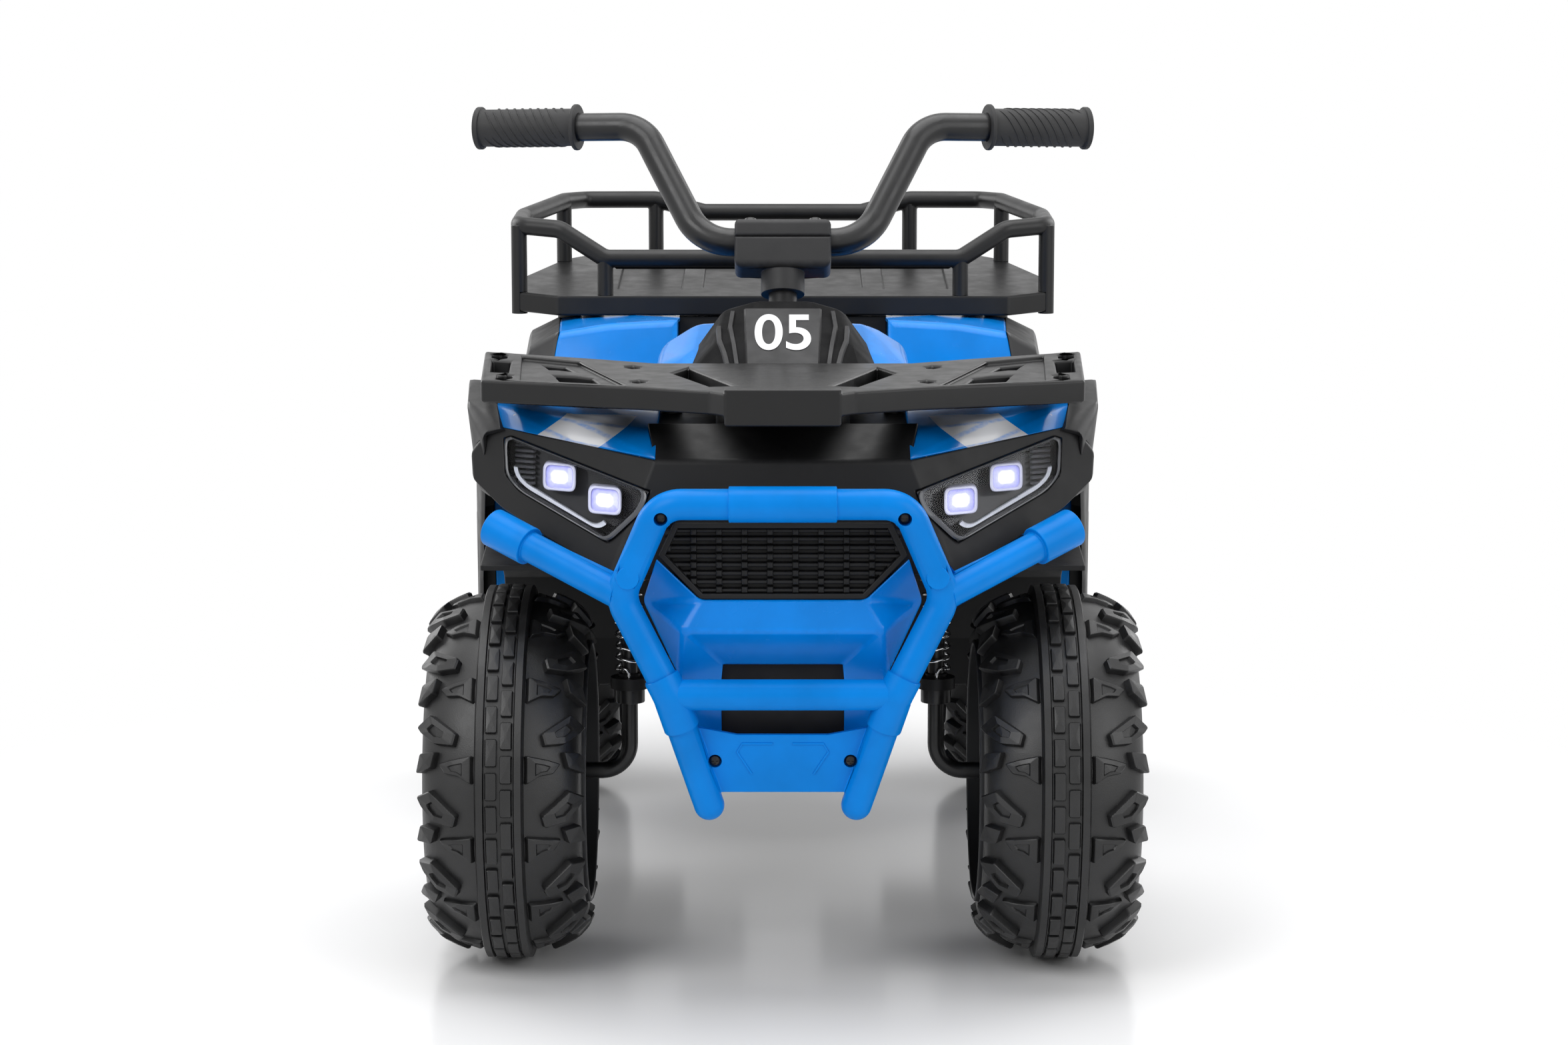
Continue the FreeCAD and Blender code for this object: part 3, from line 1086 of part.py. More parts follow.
# Front bumper: one hoop, cross bar, two arms, bosses and skid plate moulded together
tube_radius = mm.bumper_tube / 2
hoop_half = [spot(shares) for shares in bumper_hoop_shares]
hoop_points = hoop_half + [mirror_point(point) for point in reversed(hoop_half)]
bumper = tube(hoop_points, tube_radius, mm.bumper_bend)
bar_y = hoop_half[3].y
bar_z = hoop_half[3].z
foot = hoop_half[0]
arm_root, arm_tip = [spot(shares) for shares in bumper_arm_shares]
arm_way = (arm_tip - arm_root).normalize()
cap_start = arm_tip - arm_way * mm.bumper_cap_length
extras = [ball(foot, tube_radius), rod(arm_root, arm_tip, tube_radius),
          rod(cap_start, arm_tip, mm.bumper_cap_tube / 2)]
knee_z = hoop_half[2].z
bosses = [(across * hoop_half[3].x, knee_z + up * (bar_z - knee_z)) for across, up in bumper_boss_shares]
for across, up in bosses:
    boss = Vector(across, bar_y, up)
    extras.append(rod(boss, Vector(across, front_axle_y - mm.keel_front + mm.fascia_block, up),
                      mm.bumper_boss_diameter / 2))
skid_rows = face_outline(skid_shares)
skid_top = skid_rows[0][1]
skid_low = skid_rows[-1][1]


def skid_spot(across, up):
    """Point on the leaning skid plate."""
    share = skid_low_share + (skid_top_share - skid_low_share) * (up - skid_low) / (skid_top - skid_low)
    return Vector(across, front_axle_y + share * mm.wheelbase, up)


skid_half = [skid_spot(across, up) for across, up in skid_rows]
skid = prism([skid_half[1], skid_half[0], skid_half[2], mirror_point(skid_half[2]),
              mirror_point(skid_half[0]),
              mirror_point(skid_half[1])], Vector(0, mm.skid_wall, 0))
skid_screw_up = skid_low + skid_screw_share * (skid_top - skid_low)
skid_boss = skid_spot(mm.skid_screw_offset, skid_screw_up) + Vector(0, mm.skid_wall / 2, 0)
extras.append(rod(skid_boss, Vector(skid_boss.x, keel_y + mm.panel_wall, skid_boss.z),
                  mm.skid_post_diameter / 2))
for extra in extras:
    bumper = bumper.fuse(extra).fuse(mirrored(extra))
bumper = bumper.fuse(skid)
bumper = bumper.fuse(rod(hoop_half[1], mirror_point(hoop_half[1]), tube_radius))
sleeve_end = Vector(mm.bumper_sleeve_half, bar_y, bar_z)
bumper = bumper.fuse(rod(sleeve_end, mirror_point(sleeve_end), mm.bumper_sleeve / 2))
screw_across, screw_up = bosses[0]
screw_spots = [Vector(screw_across, bar_y - tube_radius, screw_up),
               skid_spot(mm.skid_screw_offset, skid_screw_up)]
sinks = [mm.bumper_screw_depth, mm.skid_wall]
for start, sink in zip(screw_spots, sinks):
    floor = start + Vector(0, sink, 0)
    tail = floor + Vector(0, mm.bumper_screw_depth, 0)
    well = rod(start - Vector(0, mm.bumper_tube, 0), floor, mm.bumper_screw_hole / 2)
    shank = rod(floor, tail, mm.screw_diameter / 2)
    bumper = bumper.cut(well).cut(mirrored(well)).cut(shank).cut(mirrored(shank))
    screw = shank.fuse(rod(floor - Vector(0, mm.screw_head_height, 0), floor,
                           mm.screw_head_diameter / 2)).removeSplitter()
    screws += [screw, mirrored(screw)]
shaped("front_bumper", fitted(bumper.removeSplitter(), "chassis_tub", "front_fascia", "headlight_lenses",
                              "headlight_reflectors", "grille", "nose_panel"))
shaped("body_screws", Part.makeCompound(screws))

# Tank cover, cowl and front fenders
column_room = along_column(-mm.clamp_stem_length, mm.column_diameter / 2 + mm.bush_wall, mm.column_length)
tank = vault([[spot(shares) for shares in row] for row in tank_cover_shares], mm.panel_wall)
shaped("tank_cover", fitted(tank.cut(column_room), "chassis_tub"))
cowl = vault([[spot(shares) for shares in row] for row in cowl_shares], mm.cowl_wall)
shaped("tank_cowl", fitted(cowl.cut(column_room), "tank_cover", "chassis_tub"))


def side_panel(rows, inwards, wall):
    """Panel of one side from share rows."""
    return panel([[spot(shares) for shares in row] for row in rows], inwards, wall)


def both_fitted(shape, *labels):
    """Trim the left moulding and mirror it."""
    return pair(fitted(shape, *labels))


fender = side_panel(front_fender_shares, front_fender_inward_shares, mm.panel_wall)
tank = pieces["tank_cover"].Shape
for shell in (tank, mirrored(tank)):
    fender = fender.cut(shell.translated(Vector(mm.loose_gap, 0, mm.loose_gap))).cut(shell)
shaped("front_fenders", both_fitted(fender, "chassis_tub", "front_fascia", "tank_cover",
                                    "headlight_reflectors"))
flare = side_panel(front_flare_shares, front_flare_inward_shares, mm.panel_wall)
shaped("front_flares", both_fitted(flare, "chassis_tub", "front_fascia", "front_fenders",
                                   "headlight_reflectors"))

# Front rack
rack_up = Vector(0, 0, mm.rack_wall)
rack_half = [spot(shares) for shares in rack_centre_shares]
rack_tip_front, rack_tip_back = [spot(shares) for shares in rack_tip_shares]
rack_root = spot(rack_root_shares)
rack_front = rack_half[-1]
centre_half = rack_half + [rack_root]
centre_points = centre_half + [mirror_point(point) for point in reversed(centre_half)]
rack = prism(centre_points, rack_up)


def upright(start, end):
    """Closed outline of a plate's edge."""
    return Part.makePolygon([start, end, end + rack_up, start + rack_up, start])


wing = Part.makeLoft([upright(rack_front, rack_root), upright(rack_tip_front, rack_tip_back)], True, True)


def on_wing(out, back):
    """Place on the rack wing, from root to tip and from front to back."""
    front = rack_front + (rack_tip_front - rack_front) * out
    rear = rack_root + (rack_tip_back - rack_root) * out
    return front + (rear - front) * back


drop = Vector(0, 0, mm.rack_wall + mm.cut_overrun)
floor = [on_wing(*shares) + rack_up - Vector(0, 0, mm.rack_recess) for shares in rack_recess_shares]
wing = wing.cut(thick_sheet(floor, [[0, 1, 2, 3]], [rack_up] * len(floor)))
for slot_shares in rack_slot_shares:
    corners = [on_wing(*shares) for shares in slot_shares]
    for corner in corners:
        corner.z = rack_root.z
    wing = wing.cut(prism([corner - drop for corner in corners], drop * 4))
for out, back in rack_hole_shares:
    centre = on_wing(out, back)
    turns = [math.radians(60 * side) for side in (0, 1, 2, 3, 4, 5, 0)]
    hole = Part.makePolygon([centre - drop + Vector(mm.rack_hole / 2 * math.sin(turn),
                                                    mm.rack_hole_length / 2 * math.cos(turn), 0)
                             for turn in turns])
    wing = wing.cut(Part.Face(hole).extrude(drop * 3))
rack = rack.fuse(wing).fuse(mirrored(wing))
notch = [spot((across, along, rack_root_shares[2])) for across, along in rack_notch_shares]
notch = prism([corner - drop for corner in notch], drop * 3)
rack = rack.cut(notch).cut(mirrored(notch))
lip_low, lip_high = [share * mm.body_height for share in rack_lip_shares]
rack = rack.fuse(span_box(rack_half[0].x, rack_half[0].y, mm.rack_lip_wall, lip_low, lip_high))
for across, along in rack_leg_shares:
    leg_top = spot((across, along, rack_root_shares[2]))
    leg = rod(leg_top, Vector(leg_top.x, leg_top.y, core_outline[1][1]), mm.rack_leg_diameter / 2)
    rack = rack.fuse(leg).fuse(mirrored(leg))
shaped("front_rack", fitted(rack.removeSplitter(), "chassis_tub", "front_fascia", "tank_cover",
                            "tank_cowl",
                            "front_fenders", "front_flares"))

# Dash panel with its button and rocker, built flat and then leaned on the tank
dash_frame = Placement(Vector(0, front_axle_y + dash_share * mm.wheelbase, mm.body_height + mm.dash_rise),
                       Rotation(Vector(1, 0, 0), -mm.dash_tilt))


def on_dash(shape):
    """Move a shape onto the dash."""
    return shape.transformed(dash_frame.toMatrix())


dash_top = mm.dash_wall - mm.dash_sink
dash = span_box(mm.dash_width / 2, -mm.dash_length / 2, mm.dash_length, -mm.dash_sink, dash_top)
button_radius = mm.button_diameter / 2
button_spot = Vector(mm.button_offset, 0, dash_top - mm.button_well)
dash = dash.cut(Part.makeCylinder(button_radius + mm.running_gap, mm.button_well, button_spot))
button = Part.makeCylinder(button_radius, mm.button_height,
                           button_spot + Vector(0, 0, mm.button_travel + mm.loose_gap))
shaped("power_button", on_dash(button))
rocker_spot = Vector(-mm.button_offset, 0, dash_top - mm.rocker_well)
well_half = mm.rocker_length / 2 + mm.rocker_end_gap
dash = dash.cut(Part.makeBox(mm.rocker_width + 2 * mm.loose_gap, 2 * well_half, mm.rocker_well,
                             rocker_spot - Vector(mm.rocker_width / 2 + mm.loose_gap, well_half, 0)))
rocker_centre = rocker_spot + Vector(0, 0, mm.rocker_well - mm.rocker_wall / 2 + mm.rocker_round)
rocker = Part.makeBox(mm.rocker_width, mm.rocker_length, mm.rocker_wall,
                      rocker_centre - Vector(mm.rocker_width / 2, mm.rocker_length / 2,
                                             mm.rocker_wall / 2))
rocker = rocker.makeFillet(mm.rocker_round,
                           [edge for edge in rocker.Edges if edge.BoundBox.ZLength < mm.running_gap
                                             and edge.BoundBox.YLength < mm.running_gap])
pin_half = mm.rocker_width / 2 + mm.rocker_end_gap + mm.loose_gap
rocker_axis = rocker_centre - Vector(0, 0, mm.rocker_round)
pin_ends = [rocker_axis - Vector(pin_half, 0, 0), rocker_axis + Vector(pin_half, 0, 0)]
dash = dash.cut(rod(pin_ends[0], pin_ends[1], mm.rocker_pin_diameter / 2 + mm.running_gap))
rocker = rocker.fuse(rod(pin_ends[0], pin_ends[1], mm.rocker_pin_diameter / 2)).removeSplitter()
shaped("direction_rocker", on_dash(rocker))
shaped("dash_panel", fitted(on_dash(dash), "tank_cover"))

# Seat: moulded base with a plug in the bay, padded top with sewn channels
seat_front = front_axle_y + mm.seat_setback
seat_base = doc.addObject("PartDesign::Body", "seat_base")
seat_low = "%.3f*body_height" % core_shares[6][1]
pad(seat_base, sketch(seat_base, "XY_Plane", box_corners("seat_half_width", "0", "seat_length")),
    "seat_base_wall")
plug = box_corners("bay_half_width - seat_plug_gap", "bay_setback + seat_plug_gap - seat_setback",
                   "bay_setback + bay_length - seat_plug_gap - seat_setback")
pad(seat_base, sketch(seat_base, "XY_Plane", plug), "seat_plug_drop", reverse=True)
keep("seat_base", placed(seat_base, "0", front_y + " + seat_setback", seat_low))
pad_low = seat_height + mm.seat_base_wall


def seat_section(along, wide, high):
    """Half outline of the cushion at one place along the seat, from its foot to the crown."""
    return [Vector(across * wide * mm.seat_half_width, seat_front + along * mm.seat_length,
                   pad_low + up * high * mm.seat_pad_height) for across, up in seat_section_shares]


def seat_wire(shares):
    """Closed outline of the cushion."""
    half = seat_section(*shares)
    top = Part.BSplineCurve()
    top.interpolate(half + [mirror_point(point) for point in reversed(half[:-1])])
    return Part.Wire([top.toShape(), Part.makeLine(mirror_point(half[0]), half[0])])


cushion = Part.makeLoft([seat_wire(shares) for shares in seat_shares], True, False)
for first, second in zip(seat_shares[1:-2], seat_shares[2:-1]):
    half = [(low + high) / 2 for low, high in zip(seat_section(*first), seat_section(*second))]
    lift = Vector(0, 0, mm.seat_channel / 2)
    run = [point + lift for point in half[2:]]
    run += [mirror_point(point) for point in reversed(run[:-1])]
    cushion = cushion.cut(tube(run, mm.seat_channel, mm.seat_channel))
shaped("seat_pad", tidy(cushion))

# Rear fenders and flares
fender = side_panel(rear_fender_shares, rear_fender_inward_shares, mm.panel_wall)
shaped("rear_fenders", both_fitted(fender, "chassis_tub"))
flare = side_panel(rear_flare_shares, rear_flare_inward_shares, mm.panel_wall)
shaped("rear_flares", both_fitted(flare, "chassis_tub", "rear_fenders"))

# Rear rack: recessed tray on legs, rail on posts
tray_front = front_axle_y + mm.tray_front
tray_slope = mm.tray_rise / mm.tray_length
tray_base = mm.body_height + mm.tray_lift


def on_tray(across, along, up=0):
    """Point on the underside of the rising tray, or above it."""
    back = along * mm.tray_length
    return Vector(across * mm.tray_half_width, tray_front + back, tray_base + back * tray_slope + up)


tray_half = [on_tray(*shares) for shares in tray_shares]
tray = prism(tray_half + [mirror_point(point) for point in reversed(tray_half)],
             Vector(0, 0, mm.tray_wall))
for inner, outer, front, back in tray_panel_shares:
    deep = mm.tray_wall - mm.tray_recess
    corners = [on_tray(across, along, deep) for across, along in
               ((inner, front), (outer, front), (outer, back), (inner, back))]
    recess = prism(corners, Vector(0, 0, mm.tray_wall))
    tray = tray.cut(recess).cut(mirrored(recess))
for across, along in tray_leg_shares:
    top = on_tray(across, along, mm.tray_wall / 2)
    leg = rod(top, Vector(top.x, top.y, tray_base - mm.tray_leg_diameter), mm.tray_leg_diameter / 2)
    tray = tray.fuse(leg).fuse(mirrored(leg))
shaped("rear_rack_tray", fitted(tray.removeSplitter(), "chassis_tub", "rear_fenders", "rear_flares"))
rail_half = [Vector(across * mm.tray_half_width, tray_front + along * mm.tray_length,
                    tray_base + up * mm.rail_height)
             for across, along, up in rail_shares]
front_middle = Vector(0, rail_half[0].y, rail_half[0].z)
rear_middle = Vector(0, rail_half[-1].y, rail_half[-1].z)
rail = tube([front_middle] + rail_half + [rear_middle], mm.rail_tube / 2, mm.rail_bend)
for top in rail_half[::2]:
    rail = rail.fuse(rod(Vector(top.x, top.y, tray_base), top, mm.rail_post / 2))
rail = rail.fuse(mirrored(rail)).removeSplitter()
shaped("rear_rack_rail", fitted(rail, "rear_rack_tray"))

# Rear drive: gearbox cases, motors, drive gears on the wheels, pinions on the motors
case_start = mm.core_half_width
case_end = case_start + mm.case_width
gear_pitch = mm.gear_module * mm.gear_teeth / 2
pinion_pitch = mm.gear_module * mm.pinion_teeth / 2
centres = gear_pitch + pinion_pitch
motor_y = rear_axle_y - centres
gear_room = gear_pitch + mm.gear_module + mm.case_gear_gap
pinion_room = pinion_pitch + mm.gear_module + mm.case_gear_gap
forward = Vector(1, 0, 0)


def oblong(start, end, big, small):
    """Two round ends joined by straight sides, about the axle and the motor."""
    length = end - start
    shape = Part.makeCylinder(big, length, Vector(start, rear_axle_y, axle_height), forward)
    shape = shape.fuse(Part.makeCylinder(small, length, Vector(start, motor_y, axle_height), forward))
    lean = (big - small) / centres
    rise = math.sqrt(1 - lean * lean)
    outline = [(rear_axle_y - big * lean, axle_height + big * rise),
               (motor_y - small * lean, axle_height + small * rise),
               (motor_y - small * lean, axle_height - small * rise),
               (rear_axle_y - big * lean, axle_height - big * rise)]
    return shape.fuse(across_bike(outline, start, end)).removeSplitter()


case = oblong(case_start, case_end, gear_room + mm.case_wall, pinion_room + mm.case_wall)
case = case.cut(oblong(case_start + mm.case_wall, case_end - mm.case_wall, gear_room, pinion_room))
axle_here = Vector(mm.carrier_outer, rear_axle_y, axle_height)
case = case.fuse(Part.makeCylinder(mm.gear_hub_diameter / 2,
                                   case_start + mm.case_wall - mm.carrier_outer, axle_here, forward))
case = case.cut(Part.makeCylinder(mm.axle_diameter / 2, mm.case_width, axle_here, forward))
case = case.cut(Part.makeCylinder(mm.gear_hub_diameter / 2 + mm.loose_gap, mm.case_width,
                                  Vector(case_end - mm.case_wall, rear_axle_y, axle_height), forward))
case = case.cut(Part.makeCylinder(mm.motor_shaft, mm.case_width / 2,
                                  Vector(case_start, motor_y, axle_height), forward))
shaped("gearbox_cases", both_fitted(case.removeSplitter(), "chassis_tub"))

gear_end = case_end - mm.case_wall - mm.gear_inset
gear_start = gear_end - mm.gear_width
hub_end = mm.wheel_track / 2 - mm.hub_inner_reach
outline = gear_outline(int(mm.gear_teeth), mm.gear_module, math.pi, mm.gear_backlash)
gear_centre = Vector(0, rear_axle_y, axle_height)
gear = prism([corner + gear_centre + forward * gear_start for corner in outline], forward * mm.gear_width)
gear = gear.fuse(rod(gear_centre + forward * gear_start, gear_centre + forward * hub_end,
                     mm.gear_hub_diameter / 2))
dog_radius = (mm.dog_across_flats - 2 * mm.running_gap) / math.sqrt(3)
dog_points = [gear_centre + Vector(hub_end, across * dog_radius, up * dog_radius) for across,
              up in hex_shares]
gear = gear.fuse(prism(dog_points, forward * (mm.dog_depth - mm.loose_gap)))
gear = gear.cut(rod(gear_centre, gear_centre + forward * mm.wheel_track,
                    mm.axle_diameter / 2 + mm.running_gap))
shaped("left_drive_gear", gear.removeSplitter())
shaped("right_drive_gear", mirrored(gear.removeSplitter()))

pinion_start = gear_start - (mm.pinion_width - mm.gear_width) / 2
pinion_centre = Vector(0, motor_y, axle_height)
outline = gear_outline(int(mm.pinion_teeth), mm.gear_module, math.pi / mm.pinion_teeth, mm.gear_backlash)
pinion = prism([corner + pinion_centre + forward * pinion_start for corner in outline],
               forward * mm.pinion_width)
shaft_start = pinion_centre + forward * (case_start - mm.motor_length / 2)
pinion = pinion.fuse(rod(shaft_start, pinion_centre + forward * pinion_start, mm.motor_shaft / 2))
shaped("left_motor_pinion", pinion.removeSplitter())
shaped("right_motor_pinion", mirrored(pinion.removeSplitter()))
motor_end = pinion_centre + forward * case_start
motor = rod(motor_end - forward * mm.motor_length, motor_end, mm.motor_diameter / 2)
motor = motor.cut(rod(shaft_start, motor_end, mm.motor_shaft / 2 + mm.running_gap))
shaped("drive_motors", pair(motor))

battery = doc.addObject("PartDesign::Body", "battery")
block = pad(battery, sketch(battery, "XY_Plane", box_corners("battery_width/2", "0", "battery_length")),
            "battery_height")
edges = battery.newObject("PartDesign::Fillet", "battery_round_edges")
edges.Base = (block, ["Edge%d" % (index + 1) for index, edge in enumerate(block.Shape.Edges)
                      if edge.BoundBox.ZLength > mm.battery_round])
edges.setExpression("Radius", bound("battery_round"))
doc.recompute()
floor_text = "%.3f*body_height + panel_wall" % core_shares[13][1]
keep("battery", placed(battery, "0", front_y + " + battery_setback", floor_text))

# Foot pedal, its pin turns in the ears; a small coil under the plate brings it back
pedal_frame = Placement(pedal_pivot, Rotation(Vector(1, 0, 0), -mm.pedal_tilt))
pedal = Part.makeBox(mm.pedal_width, mm.pedal_length, mm.pedal_wall,
                     Vector(-mm.pedal_width / 2, -mm.pedal_length, -mm.pedal_wall / 2))
pedal = pedal.transformed(pedal_frame.toMatrix())
pedal = pedal.fuse(rod(pedal_pivot - Vector(pedal_pin_reach, 0, 0),
                       pedal_pivot + Vector(pedal_pin_reach, 0, 0),
                       mm.pedal_pin_diameter / 2))
spring_y = pedal_pivot.y - mm.pedal_spring_reach
board = pieces["chassis_tub"].Shape
column_probe = rod(Vector(pedal_pivot.x, spring_y, pedal_pivot.z), Vector(pedal_pivot.x, spring_y, 0),
                   mm.running_gap)
board_top = board.common(column_probe).BoundBox.ZMax
plate_height = pedal_frame.multVec(Vector(0, -mm.pedal_spring_reach, 0)).z
boss_low = plate_height - mm.pedal_wall
pedal = pedal.fuse(rod(Vector(pedal_pivot.x, spring_y, boss_low),
                       Vector(pedal_pivot.x, spring_y, plate_height),
                       mm.pedal_spring_diameter / 2 + mm.loose_gap))
shaped("foot_pedal", pedal.removeSplitter())
pedal_spring = coil(Vector(pedal_pivot.x, spring_y, board_top), mm.pedal_spring_diameter,
                    mm.pedal_spring_wire,
                    boss_low - board_top, mm.pedal_spring_turns)
shaped("pedal_spring", pedal_spring)

doc.recompute()
for label, item in pieces.items():
    bad = [word for word in item.State if "Invalid" in word or "Error" in word]
    if bad or item.Shape.isNull() or not item.Shape.isValid():
        raise RuntimeError("bad shape: " + label + " " + str(item.State))
for item in doc.Objects:
    if any("Invalid" in word or "Error" in word for word in item.State):
        raise RuntimeError("bad feature: " + item.Name)
for label, item in pieces.items():
    item.Shape.exportStep("parts/" + label + ".step")
print("pieces", len(pieces))
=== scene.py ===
"""Looks of a child's ride-on quad bike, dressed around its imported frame.

Metres, +Z up, the front towards -Y and the rider's left towards +X.
"""

import json
import logging
import math
from dataclasses import dataclass, field
from enum import Enum
from typing import Any, Callable, Iterable, Sequence

import bmesh
import bpy
import numpy as np
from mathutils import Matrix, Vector
from mathutils.bvhtree import BVHTree
from mathutils.geometry import convex_hull_2d

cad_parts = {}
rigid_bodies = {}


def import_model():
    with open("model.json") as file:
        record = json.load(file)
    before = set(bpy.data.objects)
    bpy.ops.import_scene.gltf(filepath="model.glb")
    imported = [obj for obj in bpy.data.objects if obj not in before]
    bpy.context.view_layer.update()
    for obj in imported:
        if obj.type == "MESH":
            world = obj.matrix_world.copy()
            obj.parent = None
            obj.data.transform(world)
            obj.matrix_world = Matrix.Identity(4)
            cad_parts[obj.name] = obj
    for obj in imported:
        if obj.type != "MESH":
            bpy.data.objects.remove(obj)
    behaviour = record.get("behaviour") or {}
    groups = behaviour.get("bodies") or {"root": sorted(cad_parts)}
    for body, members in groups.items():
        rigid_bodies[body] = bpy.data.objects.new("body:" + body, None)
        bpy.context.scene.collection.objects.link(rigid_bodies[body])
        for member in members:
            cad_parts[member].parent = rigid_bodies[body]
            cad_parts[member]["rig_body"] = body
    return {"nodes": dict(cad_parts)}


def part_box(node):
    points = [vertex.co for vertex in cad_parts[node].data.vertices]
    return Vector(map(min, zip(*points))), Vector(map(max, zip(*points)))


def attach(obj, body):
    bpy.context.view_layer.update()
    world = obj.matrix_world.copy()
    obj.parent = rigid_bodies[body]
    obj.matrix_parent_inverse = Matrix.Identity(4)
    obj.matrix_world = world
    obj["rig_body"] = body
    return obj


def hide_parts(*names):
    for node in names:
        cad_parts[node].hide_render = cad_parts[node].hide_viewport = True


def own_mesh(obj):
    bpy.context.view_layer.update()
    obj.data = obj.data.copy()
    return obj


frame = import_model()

LOG = logging.getLogger("quad_bike")
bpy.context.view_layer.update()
MM = 0.001
MERGE = 0.004 * MM
FLAT_DEGREES = 0.7
SMOOTH_DEGREES = 40.0
NOISE_LOW, NOISE_HIGH = 0.3, 0.7
MIX_SOCKETS = (0, 6, 7)
MIX_RESULT = 2
CORNER_REACH = 0.45
RIDGE_TOP = 0.6
CAST_FROM = 1.0
TINY = 1e-9
# Mark on rounded edges: wear, and on plastics also a painted edge highlight.
EDGE_WEAR_AND_HIGHLIGHT = "edge_wear"
GLOW = "glow"
FACING = "facing"
ACROSS = Vector((1, 0, 0))
AHEAD = Vector((0, -1, 0))
UP = Vector((0, 0, 1))

Colour = tuple[float, float, float]
Outline = list[tuple[float, float]]
Pairs = tuple[tuple[float, float], ...]
Levels = Sequence[tuple[float, float]]
Spot = tuple[Vector, Vector]
Socket = bpy.types.NodeSocket
Material = bpy.types.Material
Mesh = bpy.types.Mesh
Piece = bpy.types.Object
Shape = bmesh.types.BMesh


class Slot(Enum):
    """Material slots of the record."""

    BLUE = "blue_gloss"
    BLACK = "black_matte"
    TYRE = "tyre_black"
    WHEEL = "wheel_grey"
    PAINTED = "black_metal"
    ZINC = "zinc_steel"
    GRIP = "grip_rubber"
    LENS = "lamp_lens"
    REFLECTOR = "lamp_reflector"
    LED = "lamp_led"
    LEATHER = "seat_leather"
    BATTERY = "battery_case"
    MOTOR = "motor_metal"
    GEAR = "gear_nylon"
    SWITCH = "switch_black"
    BUTTON = "button_red"


class Side(Enum):
    """Sides of the bike, by the sign of X."""

    LEFT = 1
    RIGHT = -1


class Wiring:
    """Adds, sets and links the nodes of one tree."""

    def __init__(self, tree: bpy.types.NodeTree) -> None:
        """Keeps the tree that the nodes go to."""
        self.tree = tree

    def feed(self, socket: Socket, value: Any) -> None:
        """Links a socket to another one, or sets its value.

        Args:
            socket: The input.
            value: Another socket, or the input's value.
        """
        if isinstance(value, Socket):
            self.tree.links.new(value, socket)
        else:
            socket.default_value = value

    def add(self, kind: str, settings: dict[str, Any] | None = None, order: Sequence[Any] = (),
            **feeds: Any) -> bpy.types.Node:
        """Adds one node.

        Args:
            kind: Class name of the node.
            settings: Properties of the node, by name.
            order: Values or sockets for its first inputs, in order.
            feeds: Values or sockets by input name, with underscores for spaces.

        Returns:
            The node.
        """
        node = self.tree.nodes.new(kind)
        for key, value in (settings or {}).items():
            setattr(node, key, value)
        for index, value in enumerate(order):
            self.feed(node.inputs[index], value)
        for key, value in feeds.items():
            self.feed(node.inputs[key.replace("_", " ")], value)
        return node

    def maths(self, operation: str, *values: Any) -> Socket:
        """Result of one arithmetic node."""
        return self.add("ShaderNodeMath", {"operation": operation}, values).outputs[0]


class Recipe(Wiring):
    """Node tree of one material."""

    def __init__(self, name: str) -> None:
        """Starts an empty tree that reads object coordinates.

        Args:
            name: Name of the material.
        """
        self.material = bpy.data.materials.new(name)
        self.material.use_nodes = True
        super().__init__(self.material.node_tree)
        self.tree.nodes.clear()
        self.place = self.add("ShaderNodeTexCoord").outputs["Object"]

    def noise(self, size: float, detail: float = 3.0, rough: float = 0.55) -> Socket:
        """Cloudy noise whose blots have about this size."""
        return self.add("ShaderNodeTexNoise", Vector=self.place, Scale=1 / size, Detail=detail,
                        Roughness=rough).outputs[0]

    def cells(self, size: float) -> Socket:
        """Distance to the middle of the nearest cell of about this size."""
        return self.add("ShaderNodeTexVoronoi", Vector=self.place, Scale=1 / size).outputs[0]

    def value_of(self, attribute: str) -> Socket:
        """Number that the mesh stores at each point."""
        return self.add("ShaderNodeAttribute", {"attribute_name": attribute}).outputs["Fac"]

    def tint(self, source: Socket, *stops: tuple[float, Colour]) -> Socket:
        """Colours between stops.

        Args:
            source: Value from zero to one.
            stops: Place and colour of each stop.

        Returns:
            The colour.
        """
        node = self.add("ShaderNodeValToRGB", order=(source,))
        ramp = node.color_ramp
        while len(ramp.elements) < len(stops):
            ramp.elements.new(0.5)
        for element, (spot, colour) in zip(ramp.elements, stops):
            element.position = spot
            element.color = (*colour, 1.0)
        return node.outputs[0]

    def spread(self, source: Socket, low: float, high: float) -> Socket:
        """The middle of a noise, stretched between two values."""
        return self.add("ShaderNodeMapRange", Value=source, From_Min=NOISE_LOW, From_Max=NOISE_HIGH,
                        To_Min=low, To_Max=high).outputs[0]

    def clouded(self, source: Socket, low: Colour, high: Colour) -> Socket:
        """Two colours over the middle of a noise."""
        return self.tint(source, (NOISE_LOW, low), (NOISE_HIGH, high))

    def mix(self, share: Any, first: Any, second: Any, blend: str = "MIX") -> Socket:
        """Blend of two colours.

        Args:
            share: Weight of the second colour.
            first: Colour or socket.
            second: Colour or socket.
            blend: Way of blending.

        Returns:
            The colour.
        """
        node = self.add("ShaderNodeMix", {"data_type": "RGBA", "blend_type": blend})
        for index, value in zip(MIX_SOCKETS, (share, first, second)):
            self.feed(node.inputs[index], value)
        return node.outputs[MIX_RESULT]

    def relief(self, height: Socket, depth: float, **under: Any) -> Socket:
        """Normal of a surface with this relief."""
        return self.add("ShaderNodeBump", Height=height, Strength=1.0, Distance=depth,
                        **under).outputs[0]

    def shade(self, **feeds: Any) -> Socket:
        """Principled surface with these inputs."""
        return self.add("ShaderNodeBsdfPrincipled", **feeds).outputs[0]

    def done(self, surface: Socket) -> Material:
        """Links the surface and hands over the material."""
        self.add("ShaderNodeOutputMaterial", Surface=surface)
        return self.material


